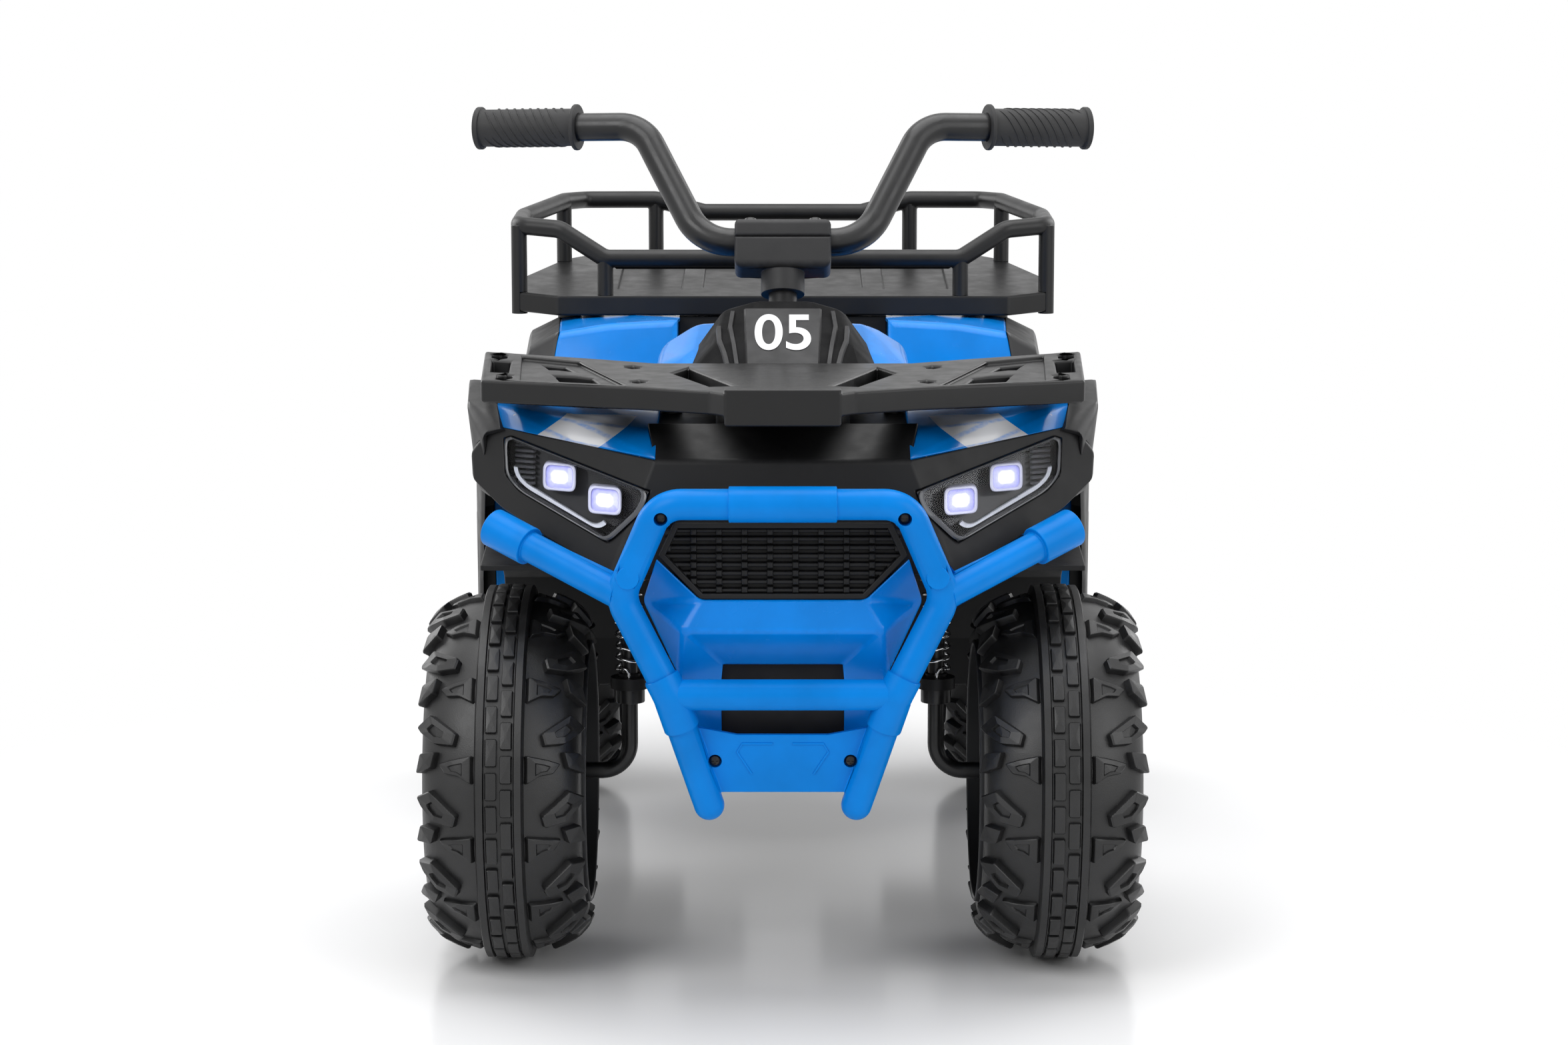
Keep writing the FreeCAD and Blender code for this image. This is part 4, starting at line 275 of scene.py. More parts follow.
def scaled(colour: Colour, share: float) -> Colour:
    """A colour made darker or paler."""
    return tuple(min(1.0, part * share) for part in colour)


@dataclass(frozen=True)
class Finish:
    """A surface finish: its name, its slot in the record and its material."""

    name: str
    slot: Slot

    def material(self) -> Material:
        """The material, made once."""
        return bpy.data.materials.get(self.name) or self.mixed(Recipe(self.name))

    def mixed(self, recipe: Recipe) -> Material:
        """Builds the material's nodes."""
        raise NotImplementedError


@dataclass(frozen=True)
class Plastic(Finish):
    """Moulded plastic with grain, faint flow marks and paler edges, partly wear and partly a painted edge
    highlight.
    """

    colour: Colour
    roughness: float
    grain: float = 1.1 * MM
    relief: float = 0.035 * MM
    coat: float = 0.0
    # Paling of the rounded edges: partly wear, partly a painted edge highlight.
    wear_and_highlight: float = 1.9
    shine: float = 0.28
    flow_mark: float = 70 * MM
    flow_tones: tuple[float, float] = (0.88, 1.1)
    wear_and_highlight_patch: float = 6 * MM
    dull_patch: float = 18 * MM

    def base(self, recipe: Recipe) -> Socket:
        """Colour with faint flow marks."""
        flow = recipe.noise(self.flow_mark, 4.0)
        return recipe.clouded(flow, *[scaled(self.colour, share) for share in self.flow_tones])

    def mixed(self, recipe: Recipe) -> Material:
        """Flow marks tint the colour, grain bumps it, and edges turn paler as wear and as a painted edge
        highlight.

        Args:
            recipe: The material's tree.

        Returns:
            The material.
        """
        tone = self.base(recipe)
        # Paler rounded edges: partly wear, partly a painted highlight where the edges catch light.
        wear = recipe.value_of(EDGE_WEAR_AND_HIGHLIGHT)
        scuff_and_highlight = recipe.maths("MULTIPLY", wear, recipe.spread(recipe.noise(self.wear_and_highlight_patch), 0.1, 0.6))
        tone = recipe.mix(scuff_and_highlight, tone, (*scaled(self.colour, self.wear_and_highlight), 1.0))
        rough = recipe.spread(recipe.noise(self.dull_patch), self.roughness * 0.86, self.roughness * 1.16)
        return recipe.done(recipe.shade(
            Base_Color=tone, Roughness=rough, IOR=1.47, Specular_IOR_Level=self.shine,
            Coat_Weight=self.coat, Coat_Roughness=0.06,
            Normal=recipe.relief(recipe.noise(self.grain), self.relief)))


@dataclass(frozen=True)
class BandedPlastic(Plastic):
    """Coloured moulding whose front carries a pale panel with slanting bands."""

    panel: Colour = (0.62, 0.63, 0.66)
    panel_behind: float = -345 * MM
    panel_inner: float = 117 * MM
    panel_outer: float = 226 * MM
    band_pitch: float = 104 * MM
    band_lean: float = 1.6
    band_share: float = 0.4

    def base(self, recipe: Recipe) -> Socket:
        """The panel's colour inside its limits, the moulding's own elsewhere and on the bands.

        Args:
            recipe: The material's tree.

        Returns:
            The colour.
        """
        spot = recipe.add("ShaderNodeSeparateXYZ", order=(recipe.place,)).outputs
        across = recipe.maths("ABSOLUTE", spot[0])
        leaning = recipe.maths("MULTIPLY_ADD", spot[2], self.band_lean, across)
        share = recipe.maths("FRACT", recipe.maths("DIVIDE", leaning, self.band_pitch))
        inside = [recipe.maths("LESS_THAN", spot[1], self.panel_behind),
                  recipe.maths("GREATER_THAN", across, self.panel_inner),
                  recipe.maths("LESS_THAN", across, self.panel_outer),
                  recipe.maths("GREATER_THAN", share, self.band_share)]
        mask = inside[0]
        for limit in inside[1:]:
            mask = recipe.maths("MULTIPLY", mask, limit)
        return recipe.mix(mask, super().base(recipe), (*self.panel, 1.0))


@dataclass(frozen=True)
class Rubber(Finish):
    """Tyre and grip rubber, with a dusty bloom and a fine pebbled skin."""

    colour: Colour
    bloom: Colour
    roughness: float = 0.62
    shine: float = 0.32
    cloud_size: float = 38 * MM
    pebble_size: float = 0.9 * MM
    pebble_depth: float = 0.05 * MM
    dimple_size: float = 9 * MM
    dimple_depth: float = 0.12 * MM

    def mixed(self, recipe: Recipe) -> Material:
        """Bloom gathers in clouds, and small pebbles break up the shine.

        Args:
            recipe: The material's tree.

        Returns:
            The material.
        """
        cloud = recipe.noise(self.cloud_size, 6.0, 0.65)
        tone = recipe.tint(cloud, (0.36, self.colour), (0.68, self.bloom))
        rough = recipe.spread(cloud, self.roughness * 0.8, self.roughness * 1.2)
        pebble = recipe.relief(recipe.cells(self.pebble_size), self.pebble_depth)
        return recipe.done(recipe.shade(
            Base_Color=tone, Roughness=rough, IOR=1.5, Specular_IOR_Level=self.shine,
            Normal=recipe.relief(recipe.noise(self.dimple_size), self.dimple_depth, Normal=pebble)))


@dataclass(frozen=True)
class Metal(Finish):
    """Bare or plated metal with fine scratches."""

    colour: Colour
    roughness: float
    stain_size: float = 22 * MM
    scratch_size: float = 2.5 * MM
    dent_size: float = 1.4 * MM
    dent_depth: float = 0.01 * MM

    def mixed(self, recipe: Recipe) -> Material:
        """Scratches and tarnish vary the colour and the shine.

        Args:
            recipe: The material's tree.

        Returns:
            The material.
        """
        stain = recipe.noise(self.stain_size, 5.0)
        tone = recipe.clouded(stain, scaled(self.colour, 0.8), self.colour)
        scratch = recipe.noise(self.scratch_size, 4.0)
        rough = recipe.spread(scratch, self.roughness * 0.7, self.roughness * 1.4)
        return recipe.done(recipe.shade(
            Base_Color=tone, Roughness=rough, Metallic=1.0,
            Normal=recipe.relief(recipe.noise(self.dent_size), self.dent_depth)))


@dataclass(frozen=True)
class PaintedMetal(Finish):
    """Powder coat on steel: a dark gloss over a soft orange peel."""

    colour: Colour
    roughness: float
    steel: Colour = (0.2, 0.2, 0.21)
    cloud_size: float = 50 * MM
    chip_size: float = 4 * MM
    dull_patch: float = 12 * MM
    peel_size: float = 2.6 * MM
    peel_depth: float = 0.02 * MM

    def mixed(self, recipe: Recipe) -> Material:
        """Orange peel bumps the coat, and edges rubbed through show steel.

        Args:
            recipe: The material's tree.

        Returns:
            The material.
        """
        cloud = recipe.noise(self.cloud_size, 4.0)
        tone = recipe.clouded(cloud, scaled(self.colour, 0.8), scaled(self.colour, 1.25))
        wear = recipe.value_of(EDGE_WEAR_AND_HIGHLIGHT)
        bare = recipe.maths("MULTIPLY", wear, recipe.spread(recipe.noise(self.chip_size), -0.2, 0.5))
        tone = recipe.mix(bare, tone, (*self.steel, 1.0))
        rough = recipe.spread(recipe.noise(self.dull_patch), self.roughness * 0.8, self.roughness * 1.25)
        return recipe.done(recipe.shade(
            Base_Color=tone, Roughness=rough, Specular_IOR_Level=0.38, Coat_Weight=0.08,
            Coat_Roughness=0.12, Normal=recipe.relief(recipe.noise(self.peel_size), self.peel_depth)))


@dataclass(frozen=True)
class ClearPlastic(Finish):
    """Clear lamp cover that lets light through to the bucket."""

    colour: Colour
    haze_size: float = 25 * MM
    tint_size: float = 60 * MM
    wave_size: float = 30 * MM
    wave_depth: float = 0.02 * MM

    def mixed(self, recipe: Recipe) -> Material:
        """Clear with faint moulding waves; shadows pass.

        Args:
            recipe: The material's tree.

        Returns:
            The material.
        """
        haze = recipe.spread(recipe.noise(self.haze_size), 0.0, 0.02)
        tone = recipe.clouded(recipe.noise(self.tint_size), scaled(self.colour, 0.97), self.colour)
        cover = recipe.shade(Base_Color=tone, Roughness=haze, IOR=1.15, Specular_IOR_Level=0.2,
                             Transmission_Weight=1.0,
                             Normal=recipe.relief(recipe.noise(self.wave_size), self.wave_depth))
        passing = recipe.add("ShaderNodeBsdfTransparent", order=(tone,)).outputs[0]
        shadow = recipe.add("ShaderNodeLightPath").outputs["Is Shadow Ray"]
        return recipe.done(recipe.add("ShaderNodeMixShader", order=(shadow, cover, passing)).outputs[0])


@dataclass(frozen=True)
class Lit(Finish):
    """Lit light block, white in the middle and lilac towards its edge."""

    core: Colour
    edge: Colour
    strength: float
    facet_size: float = 3.2 * MM
    facet_depth: float = 0.2 * MM

    def mixed(self, recipe: Recipe) -> Material:
        """The stored glow sets the colour, and facets break it up.

        Args:
            recipe: The material's tree.

        Returns:
            The material.
        """
        glow = recipe.value_of(GLOW)
        facet = recipe.cells(self.facet_size)
        tone = recipe.tint(glow, (0.05, scaled(self.edge, 0.7)), (0.4, self.edge), (0.72, self.core))
        sparkle = recipe.tint(facet, (0.0, (1.0, 1.0, 1.0)), (0.8, (0.72, 0.72, 0.8)))
        return recipe.done(recipe.shade(
            Base_Color=tone, Roughness=0.15, Emission_Color=recipe.mix(1.0, tone, sparkle, "MULTIPLY"),
            Emission_Strength=self.strength, Normal=recipe.relief(facet, self.facet_depth)))


@dataclass(frozen=True)
class Leather(Finish):
    """Stitched seat vinyl with a pebbled grain and rubbed highs."""

    colour: Colour
    rubbed: Colour
    pebble_size: float = 1.5 * MM
    pebble_depth: float = 0.16 * MM
    crease_size: float = 14 * MM
    crease_depth: float = 0.5 * MM

    def mixed(self, recipe: Recipe) -> Material:
        """Pebbles over soft creases, paler where a rider rubs.

        Args:
            recipe: The material's tree.

        Returns:
            The material.
        """
        pebble = recipe.cells(self.pebble_size)
        crease = recipe.noise(self.crease_size, 5.0, 0.6)
        tone = recipe.tint(crease, (0.35, self.colour), (0.75, self.rubbed))
        rough = recipe.spread(crease, 0.4, 0.6)
        fine = recipe.relief(pebble, self.pebble_depth)
        return recipe.done(recipe.shade(Base_Color=tone, Roughness=rough, IOR=1.5,
                                        Specular_IOR_Level=0.3,
                                        Normal=recipe.relief(crease, self.crease_depth, Normal=fine)))


BLUE = Plastic("blue_gloss_plastic", Slot.BLUE, (0.0, 0.2, 0.66), 0.24, grain=7 * MM, relief=0.03 * MM,
               coat=0.06, wear_and_highlight=1.25, shine=0.22)
BLUE_SATIN = Plastic("blue_satin_plastic", Slot.BLUE, (0.0, 0.195, 0.64), 0.34, grain=3 * MM,
                     relief=0.02 * MM, wear_and_highlight=1.2, shine=0.13)
FENDER_BLUE = BandedPlastic("blue_fender_plastic", Slot.BLUE, (0.0, 0.19, 0.63), 0.2, grain=7 * MM,
                            relief=0.03 * MM, coat=0.15, wear_and_highlight=1.25, shine=0.3)
BLACK = Plastic("black_grained_plastic", Slot.BLACK, (0.009, 0.009, 0.0095), 0.46, shine=0.25)
# The cowl's black, kept darker than its facets: painted shade in the recesses between them.
SHADED_MATT_BLACK = Plastic("black_matt_plastic", Slot.BLACK, (0.006, 0.006, 0.0064), 0.6, shine=0.07)
# Paler black: on the cowl's facets a lit copy of the cowl's black, a painted highlight on the raised faces;
# the clamp wears it too.
PALE_LIT_BLACK = Plastic("black_facet_plastic", Slot.BLACK, (0.02, 0.02, 0.021), 0.55, shine=0.3)
RACK_BLACK = Plastic("black_rack_plastic", Slot.BLACK, (0.007, 0.007, 0.0073), 0.38, shine=0.36)
GREY_BLACK = Plastic("charcoal_grained_plastic", Slot.BLACK, (0.013, 0.013, 0.0135), 0.45, shine=0.4)
GLOSS_BLACK = Plastic("black_smooth_plastic", Slot.REFLECTOR, (0.006, 0.006, 0.0075), 0.22, grain=5 * MM,
                      relief=0.01 * MM, coat=0.1)
# Silver strip that stands in for the lens's highlight along its lower edge: painted highlight.
HIGHLIGHT_STRIP = Plastic("silver_lacquered_strip", Slot.REFLECTOR, (0.42, 0.43, 0.47), 0.28, grain=4 * MM,
                       relief=0.01 * MM, coat=0.3, wear_and_highlight=1.1)
WHITE_PRINT = Plastic("white_number_print", Slot.BLACK, (0.72, 0.72, 0.74), 0.35, grain=3 * MM,
                      relief=0.005 * MM, wear_and_highlight=1.1)
WHEEL = Plastic("graphite_wheel_plastic", Slot.WHEEL, (0.022, 0.0225, 0.024), 0.4, relief=0.02 * MM)
TYRE = Rubber("tyre_rubber", Slot.TYRE, (0.0045, 0.0045, 0.0048), (0.011, 0.011, 0.0115), 0.42, shine=0.5)
GRIP = Rubber("grip_rubber_soft", Slot.GRIP, (0.021, 0.021, 0.0215), (0.036, 0.036, 0.037), 0.66)
PAINTED = PaintedMetal("black_powder_coat", Slot.PAINTED, (0.006, 0.006, 0.0065), 0.36)
ZINC = Metal("zinc_plate", Slot.ZINC, (0.62, 0.63, 0.65), 0.28)
CHROME = Metal("spring_chrome", Slot.ZINC, (0.78, 0.79, 0.8), 0.12)
MOTOR = Metal("motor_can_steel", Slot.MOTOR, (0.42, 0.43, 0.45), 0.34)
NYLON = Plastic("gear_nylon_white", Slot.GEAR, (0.62, 0.6, 0.54), 0.42, relief=0.015 * MM, wear_and_highlight=1.1)
BATTERY = Plastic("battery_grey_case", Slot.BATTERY, (0.05, 0.052, 0.058), 0.5)
SWITCH = Plastic("switch_cap_plastic", Slot.SWITCH, (0.009, 0.009, 0.01), 0.3, coat=0.1)
BUTTON = Plastic("red_button_plastic", Slot.BUTTON, (0.6, 0.015, 0.012), 0.28, coat=0.2, wear_and_highlight=1.2)
LAMP_GREY = Plastic("lamp_rib_grey", Slot.REFLECTOR, (0.045, 0.045, 0.05), 0.32, grain=2 * MM,
                    relief=0.01 * MM)
FROST = Plastic("lamp_frosted_rim", Slot.LENS, (0.075, 0.078, 0.085), 0.2, grain=4 * MM, relief=0.01 * MM,
                coat=0.4, wear_and_highlight=1.3)
LENS = ClearPlastic("clear_lamp_cover", Slot.LENS, (0.97, 0.98, 1.0))
LED = Lit("lit_light_block", Slot.LED, (1.0, 1.0, 1.0), (0.28, 0.285, 0.56), 1.25)
LED_RIM = Plastic("light_block_rim", Slot.LED, (0.5, 0.5, 0.62), 0.2, coat=0.3, wear_and_highlight=1.2)
VINYL = Leather("seat_vinyl", Slot.LEATHER, (0.012, 0.012, 0.0125), (0.024, 0.024, 0.025))
THREAD = Rubber("seat_thread", Slot.LEATHER, (0.05, 0.05, 0.052), (0.1, 0.1, 0.102), 0.7)


@dataclass(frozen=True)
class Rounding:
    """How the edges of a copied moulding are eased, in metres and degrees."""

    crease: float = 4 * MM
    rim: float = 1.3 * MM
    fold_from: float = 7.0
    rim_from: float = 70.0
    segments: int = 3
    smooth_below: float = 34.0
    room_share: float = 0.36


SHELL = Rounding()
SOFT_SHELL = Rounding(crease=8 * MM, rim=1.5 * MM, segments=4)
BLOCK = Rounding(crease=1.2 * MM, rim=1.2 * MM, fold_from=24.0)
TUBE = Rounding(crease=1.5 * MM, rim=1.5 * MM, fold_from=38.0, rim_from=60.0)
SMALL = Rounding(crease=0.5 * MM, rim=0.5 * MM, fold_from=38.0, segments=2)
CLAMP = Rounding(crease=7 * MM, rim=7 * MM, fold_from=30.0, segments=4)


def packed(node: str) -> tuple[list[Vector], list[tuple[int, ...]]]:
    """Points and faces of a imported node, whose own mesh is left alone."""
    data = frame["nodes"][node].data
    return [point.co for point in data.vertices], [tuple(face.vertices) for face in data.polygons]


def left_points(node: str) -> np.ndarray:
    """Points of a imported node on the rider's left."""
    points = np.array(packed(node)[0])
    return points[points[:, 0] > 0]


def merged(node: str) -> Shape:
    """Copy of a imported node's mesh, joined up and cleared of flat seams.

    Args:
        node: Name of the node.

    Returns:
        The copy, to be freed by the caller.
    """
    points, faces = packed(node)
    plain = bpy.data.meshes.new(node + "_copy")
    plain.from_pydata(points, [], faces)
    shape = bmesh.new()
    shape.from_mesh(plain)
    bpy.data.meshes.remove(plain)
    bmesh.ops.remove_doubles(shape, verts=shape.verts, dist=MERGE)
    bmesh.ops.dissolve_degenerate(shape, edges=shape.edges, dist=MERGE)
    bmesh.ops.dissolve_limit(shape, angle_limit=math.radians(FLAT_DEGREES), verts=shape.verts,
                             edges=shape.edges)
    return shape


def mesh_of(shape: Shape, name: str) -> Mesh:
    """Turns a working shape into a mesh.

    Args:
        shape: The shape, which is freed.
        name: Name of the mesh.

    Returns:
        The mesh.
    """
    mesh = bpy.data.meshes.new(name)
    shape.to_mesh(mesh)
    shape.free()
    return mesh


def linked(name: str, data: bpy.types.ID) -> Piece:
    """Puts data into the scene.

    Args:
        name: Name of the object.
        data: Mesh, text, lamp or camera.

    Returns:
        The object that shows it.
    """
    piece = bpy.data.objects.new(name, data)
    bpy.context.scene.collection.objects.link(piece)
    return piece


def frozen(carrier: Piece) -> Mesh:
    """Turns an object with its modifiers into a plain mesh.

    Args:
        carrier: The object, which is removed with its data.

    Returns:
        The mesh.
    """
    bpy.context.view_layer.update()
    graph = bpy.context.evaluated_depsgraph_get()
    made = bpy.data.meshes.new_from_object(carrier.evaluated_get(graph))
    carrier.modifiers.clear()
    data = carrier.data
    bpy.data.objects.remove(carrier)
    bpy.data.batch_remove([data])
    return made


def evaluated(mesh: Mesh, *modifiers: tuple[str, dict[str, Any]]) -> Mesh:
    """Runs modifiers on a mesh.

    Args:
        mesh: The mesh, which is used up.
        modifiers: Kind and settings of each modifier, in order.

    Returns:
        The plain mesh that they give.
    """
    carrier = linked(mesh.name, mesh)
    for kind, settings in modifiers:
        modifier = carrier.modifiers.new(kind.lower(), kind)
        for key, value in settings.items():
            setattr(modifier, key, value)
    return frozen(carrier)


def smoothed(mesh: Mesh, below: float) -> Mesh:
    """Shades a mesh smooth, with flat faces kept flat.

    Args:
        mesh: The mesh, which is used up.
        below: Angle over which edges stay sharp.

    Returns:
        The shaded mesh.
    """
    mesh.shade_smooth()
    mesh.set_sharp_from_angle(angle=math.radians(below))
    return evaluated(mesh, ("WEIGHTED_NORMAL", {"keep_sharp": True}))


def room_beside(edge: bmesh.types.BMEdge) -> float:
    """Length of the shortest edge that meets this one on a face of its own."""
    lengths = [other.calc_length() for face in edge.link_faces for other in face.edges
               if other is not edge and set(other.verts) & set(edge.verts)]
    return min(lengths)


def eased(shape: Shape, name: str, rounding: Rounding) -> Mesh:
    """Rounds the folds and rims of a shape, each as far as its faces allow.

    Args:
        shape: The working shape, which is freed.
        name: Name of the mesh.
        rounding: Sizes of the rounding.

    Returns:
        The rounded mesh, with a mark on its rounded edges stored on its points: wear, and on plastics also
        a painted edge highlight.
    """
    weight = shape.edges.layers.float.new("bevel_weight_edge")
    for edge in shape.edges:
        if len(edge.link_faces) != 2:
            continue
        fold = math.degrees(edge.calc_face_angle(0.0))
        if fold < rounding.fold_from:
            continue
        target = rounding.rim if fold > rounding.rim_from else rounding.crease
        edge[weight] = min(target, rounding.room_share * room_beside(edge)) / rounding.crease
    mesh = mesh_of(shape, name)
    for _ in range(2):
        mesh.materials.append(None)
    mesh = evaluated(mesh, ("BEVEL", {
        "width": rounding.crease, "segments": rounding.segments, "limit_method": "WEIGHT",
        "use_clamp_overlap": False, "material": 1, "miter_outer": "MITER_SHARP"}))
    faces = np.zeros(len(mesh.polygons), np.int32)
    mesh.polygons.foreach_get("material_index", faces)
    flat = {point for face, kind in zip(mesh.polygons, faces) if kind == 0 for point in face.vertices}
    mesh.polygons.foreach_set("material_index", np.zeros_like(faces))
    # Rounded faces carry the edge mark: wear, and on plastics also a painted edge highlight.
    wear_and_highlight = [0.0 if point in flat else 1.0 for point in range(len(mesh.vertices))]
    mesh.attributes.new(EDGE_WEAR_AND_HIGHLIGHT, "FLOAT", "POINT").data.foreach_set("value", wear_and_highlight)
    return smoothed(mesh, rounding.smooth_below)


def place(name: str, mesh: Mesh, body: str, finish: Finish, nodes: Sequence[str] = ()) -> Piece:
    """Puts a finished mesh into the scene as a piece.

    Args:
        name: Name of the piece.
        mesh: Its mesh, in the frame's place.
        body: The body that it rides on.
        finish: Its finish.
        nodes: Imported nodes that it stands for.

    Returns:
        The piece.
    """
    mesh.name = name
    mesh.materials.clear()
    mesh.materials.append(finish.material())
    piece = linked(name, mesh)
    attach(piece, body)
    if nodes:
        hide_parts(*nodes)
    LOG.info("%s on %s: %d faces, %s", name, body, len(mesh.polygons), finish.name)
    return piece


def body_of(node: str) -> str:
    """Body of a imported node."""
    return frame["nodes"][node]["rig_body"]


def joined(meshes: Iterable[Mesh], name: str) -> Mesh:
    """One mesh from several.

    Args:
        meshes: The meshes, which are used up.
        name: Name of the one mesh.

    Returns:
        The mesh.
    """
    shape = bmesh.new()
    for mesh in meshes:
        shape.from_mesh(mesh)
        bpy.data.meshes.remove(mesh)
    return mesh_of(shape, name)


def lay(name: str, meshes: Iterable[Mesh], node: str, finish: Finish, below: float = SMOOTH_DEGREES,
        nodes: Sequence[str] = ()) -> Piece:
    """Places meshes as one smooth piece on a node's body.

    Args:
        name: Name of the piece.
        meshes: Its parts, which are used up.
        node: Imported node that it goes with.
        finish: Its finish.
        below: Angle over which its edges stay sharp.
        nodes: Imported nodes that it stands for.

    Returns:
        The piece.
    """
    return place(name, smoothed(joined(meshes, name), below), body_of(node), finish, nodes)


def stacked(rings: Sequence[Sequence[Vector]], closed: bool = False) -> Shape:
    """Skin through rings of points, with both ends closed by fans or the ends joined.

    Args:
        rings: Rings of equally many points.
        closed: Whether the last ring joins the first, as on a tyre.

    Returns:
        The closed shape, faces outwards.
    """
    shape = bmesh.new()
    loops = [[shape.verts.new(point) for point in ring] for ring in rings]
    count = len(loops[0])
    pairs = list(zip(loops, loops[1:])) + ([(loops[-1], loops[0])] if closed else [])
    for low, high in pairs:
        for index in range(count):
            after = (index + 1) % count
            shape.faces.new((low[index], low[after], high[after], high[index]))
    if not closed:
        for loop in (loops[0], loops[-1]):
            middle = shape.verts.new(sum((point.co for point in loop), Vector()) / count)
            for index in range(count):
                shape.faces.new((loop[index], loop[(index + 1) % count], middle))
    bmesh.ops.recalc_face_normals(shape, faces=shape.faces)
    return shape


def shrunk(outline: Outline, share: float) -> Outline:
    """An outline drawn in towards its middle."""
    middle = [sum(axis) / len(outline) for axis in zip(*outline)]
    return [tuple(centre + share * (part - centre) for part, centre in zip(point, middle))
            for point in outline]


def rounded(outline: Outline, radius: float, steps: int = 6) -> Outline:
    """An outline with curved corners.

    Args:
        outline: Corner points.
        radius: Distance from a corner at which its curve starts.
        steps: Points along each curve.

    Returns:
        The points of the rounded outline.
    """
    points = []
    for before, corner, after in zip(outline[-1:] + outline[:-1], outline, outline[1:] + outline[:1]):
        start, bend, end = Vector(before), Vector(corner), Vector(after)
        start = bend + (start - bend).normalized() * min(radius, (start - bend).length * CORNER_REACH)
        end = bend + (end - bend).normalized() * min(radius, (end - bend).length * CORNER_REACH)
        for step in range(steps + 1):
            share = step / steps
            spot = start * (1 - share) ** 2 + bend * 2 * share * (1 - share) + end * share ** 2
            points.append(tuple(spot))
    return points


def rectangle(half_wide: float, half_high: float, middle: tuple[float, float] = (0.0, 0.0)) -> Outline:
    """Corners of a rectangle, in turn."""
    return [(middle[0] + x * half_wide, middle[1] + y * half_high)
            for x, y in ((-1, -1), (1, -1), (1, 1), (-1, 1))]


def in_metres(outline: Pairs) -> Outline:
    """An outline that is given in millimetres."""
    return [(across * MM, up * MM) for across, up in outline]


def raised(levels: Pairs) -> Levels:
    """Levels whose heights are given in millimetres."""
    return [(share, height * MM) for share, height in levels]


def upright(x: float, y: float, z: float) -> Vector:
    """Point of a pad that stands on the Z plane."""
    return Vector((x, y, z))


def pad_shape(outline: Outline, levels: Levels,
              where: Callable[[float, float, float], Vector] = upright) -> Shape:
    """Raised pad on a surface.

    Args:
        outline: Foot of the pad in the surface's own two coordinates.
        levels: Share of the outline and height of each ring, from the foot to the middle of the top.
        where: Gives the point at two coordinates and a height.

    Returns:
        The closed shape.
    """
    return stacked([[where(*point, height) for point in shrunk(outline, share)]
                    for share, height in levels])


def paired(outline: Outline, levels: Levels,
           where: Callable[[int, float, float, float], Vector]) -> list[Mesh]:
    """The same pad on both sides of the bike.

    Args:
        outline: Foot of the pad.
        levels: Share of the outline and height of each ring.
        where: Gives the point from the sign of the side, two coordinates and a height.

    Returns:
        The pads' meshes.
    """
    return [mesh_of(pad_shape(outline, levels, lambda *spot: where(side.value, *spot)), "pad")
            for side in Side]


class Pattern(Enum):
    """Ways of repeating a shape."""

    RING = "copies_round_axle"
    SPOTS = "copies_on_spots"
    PATH = "copies_along_seam"


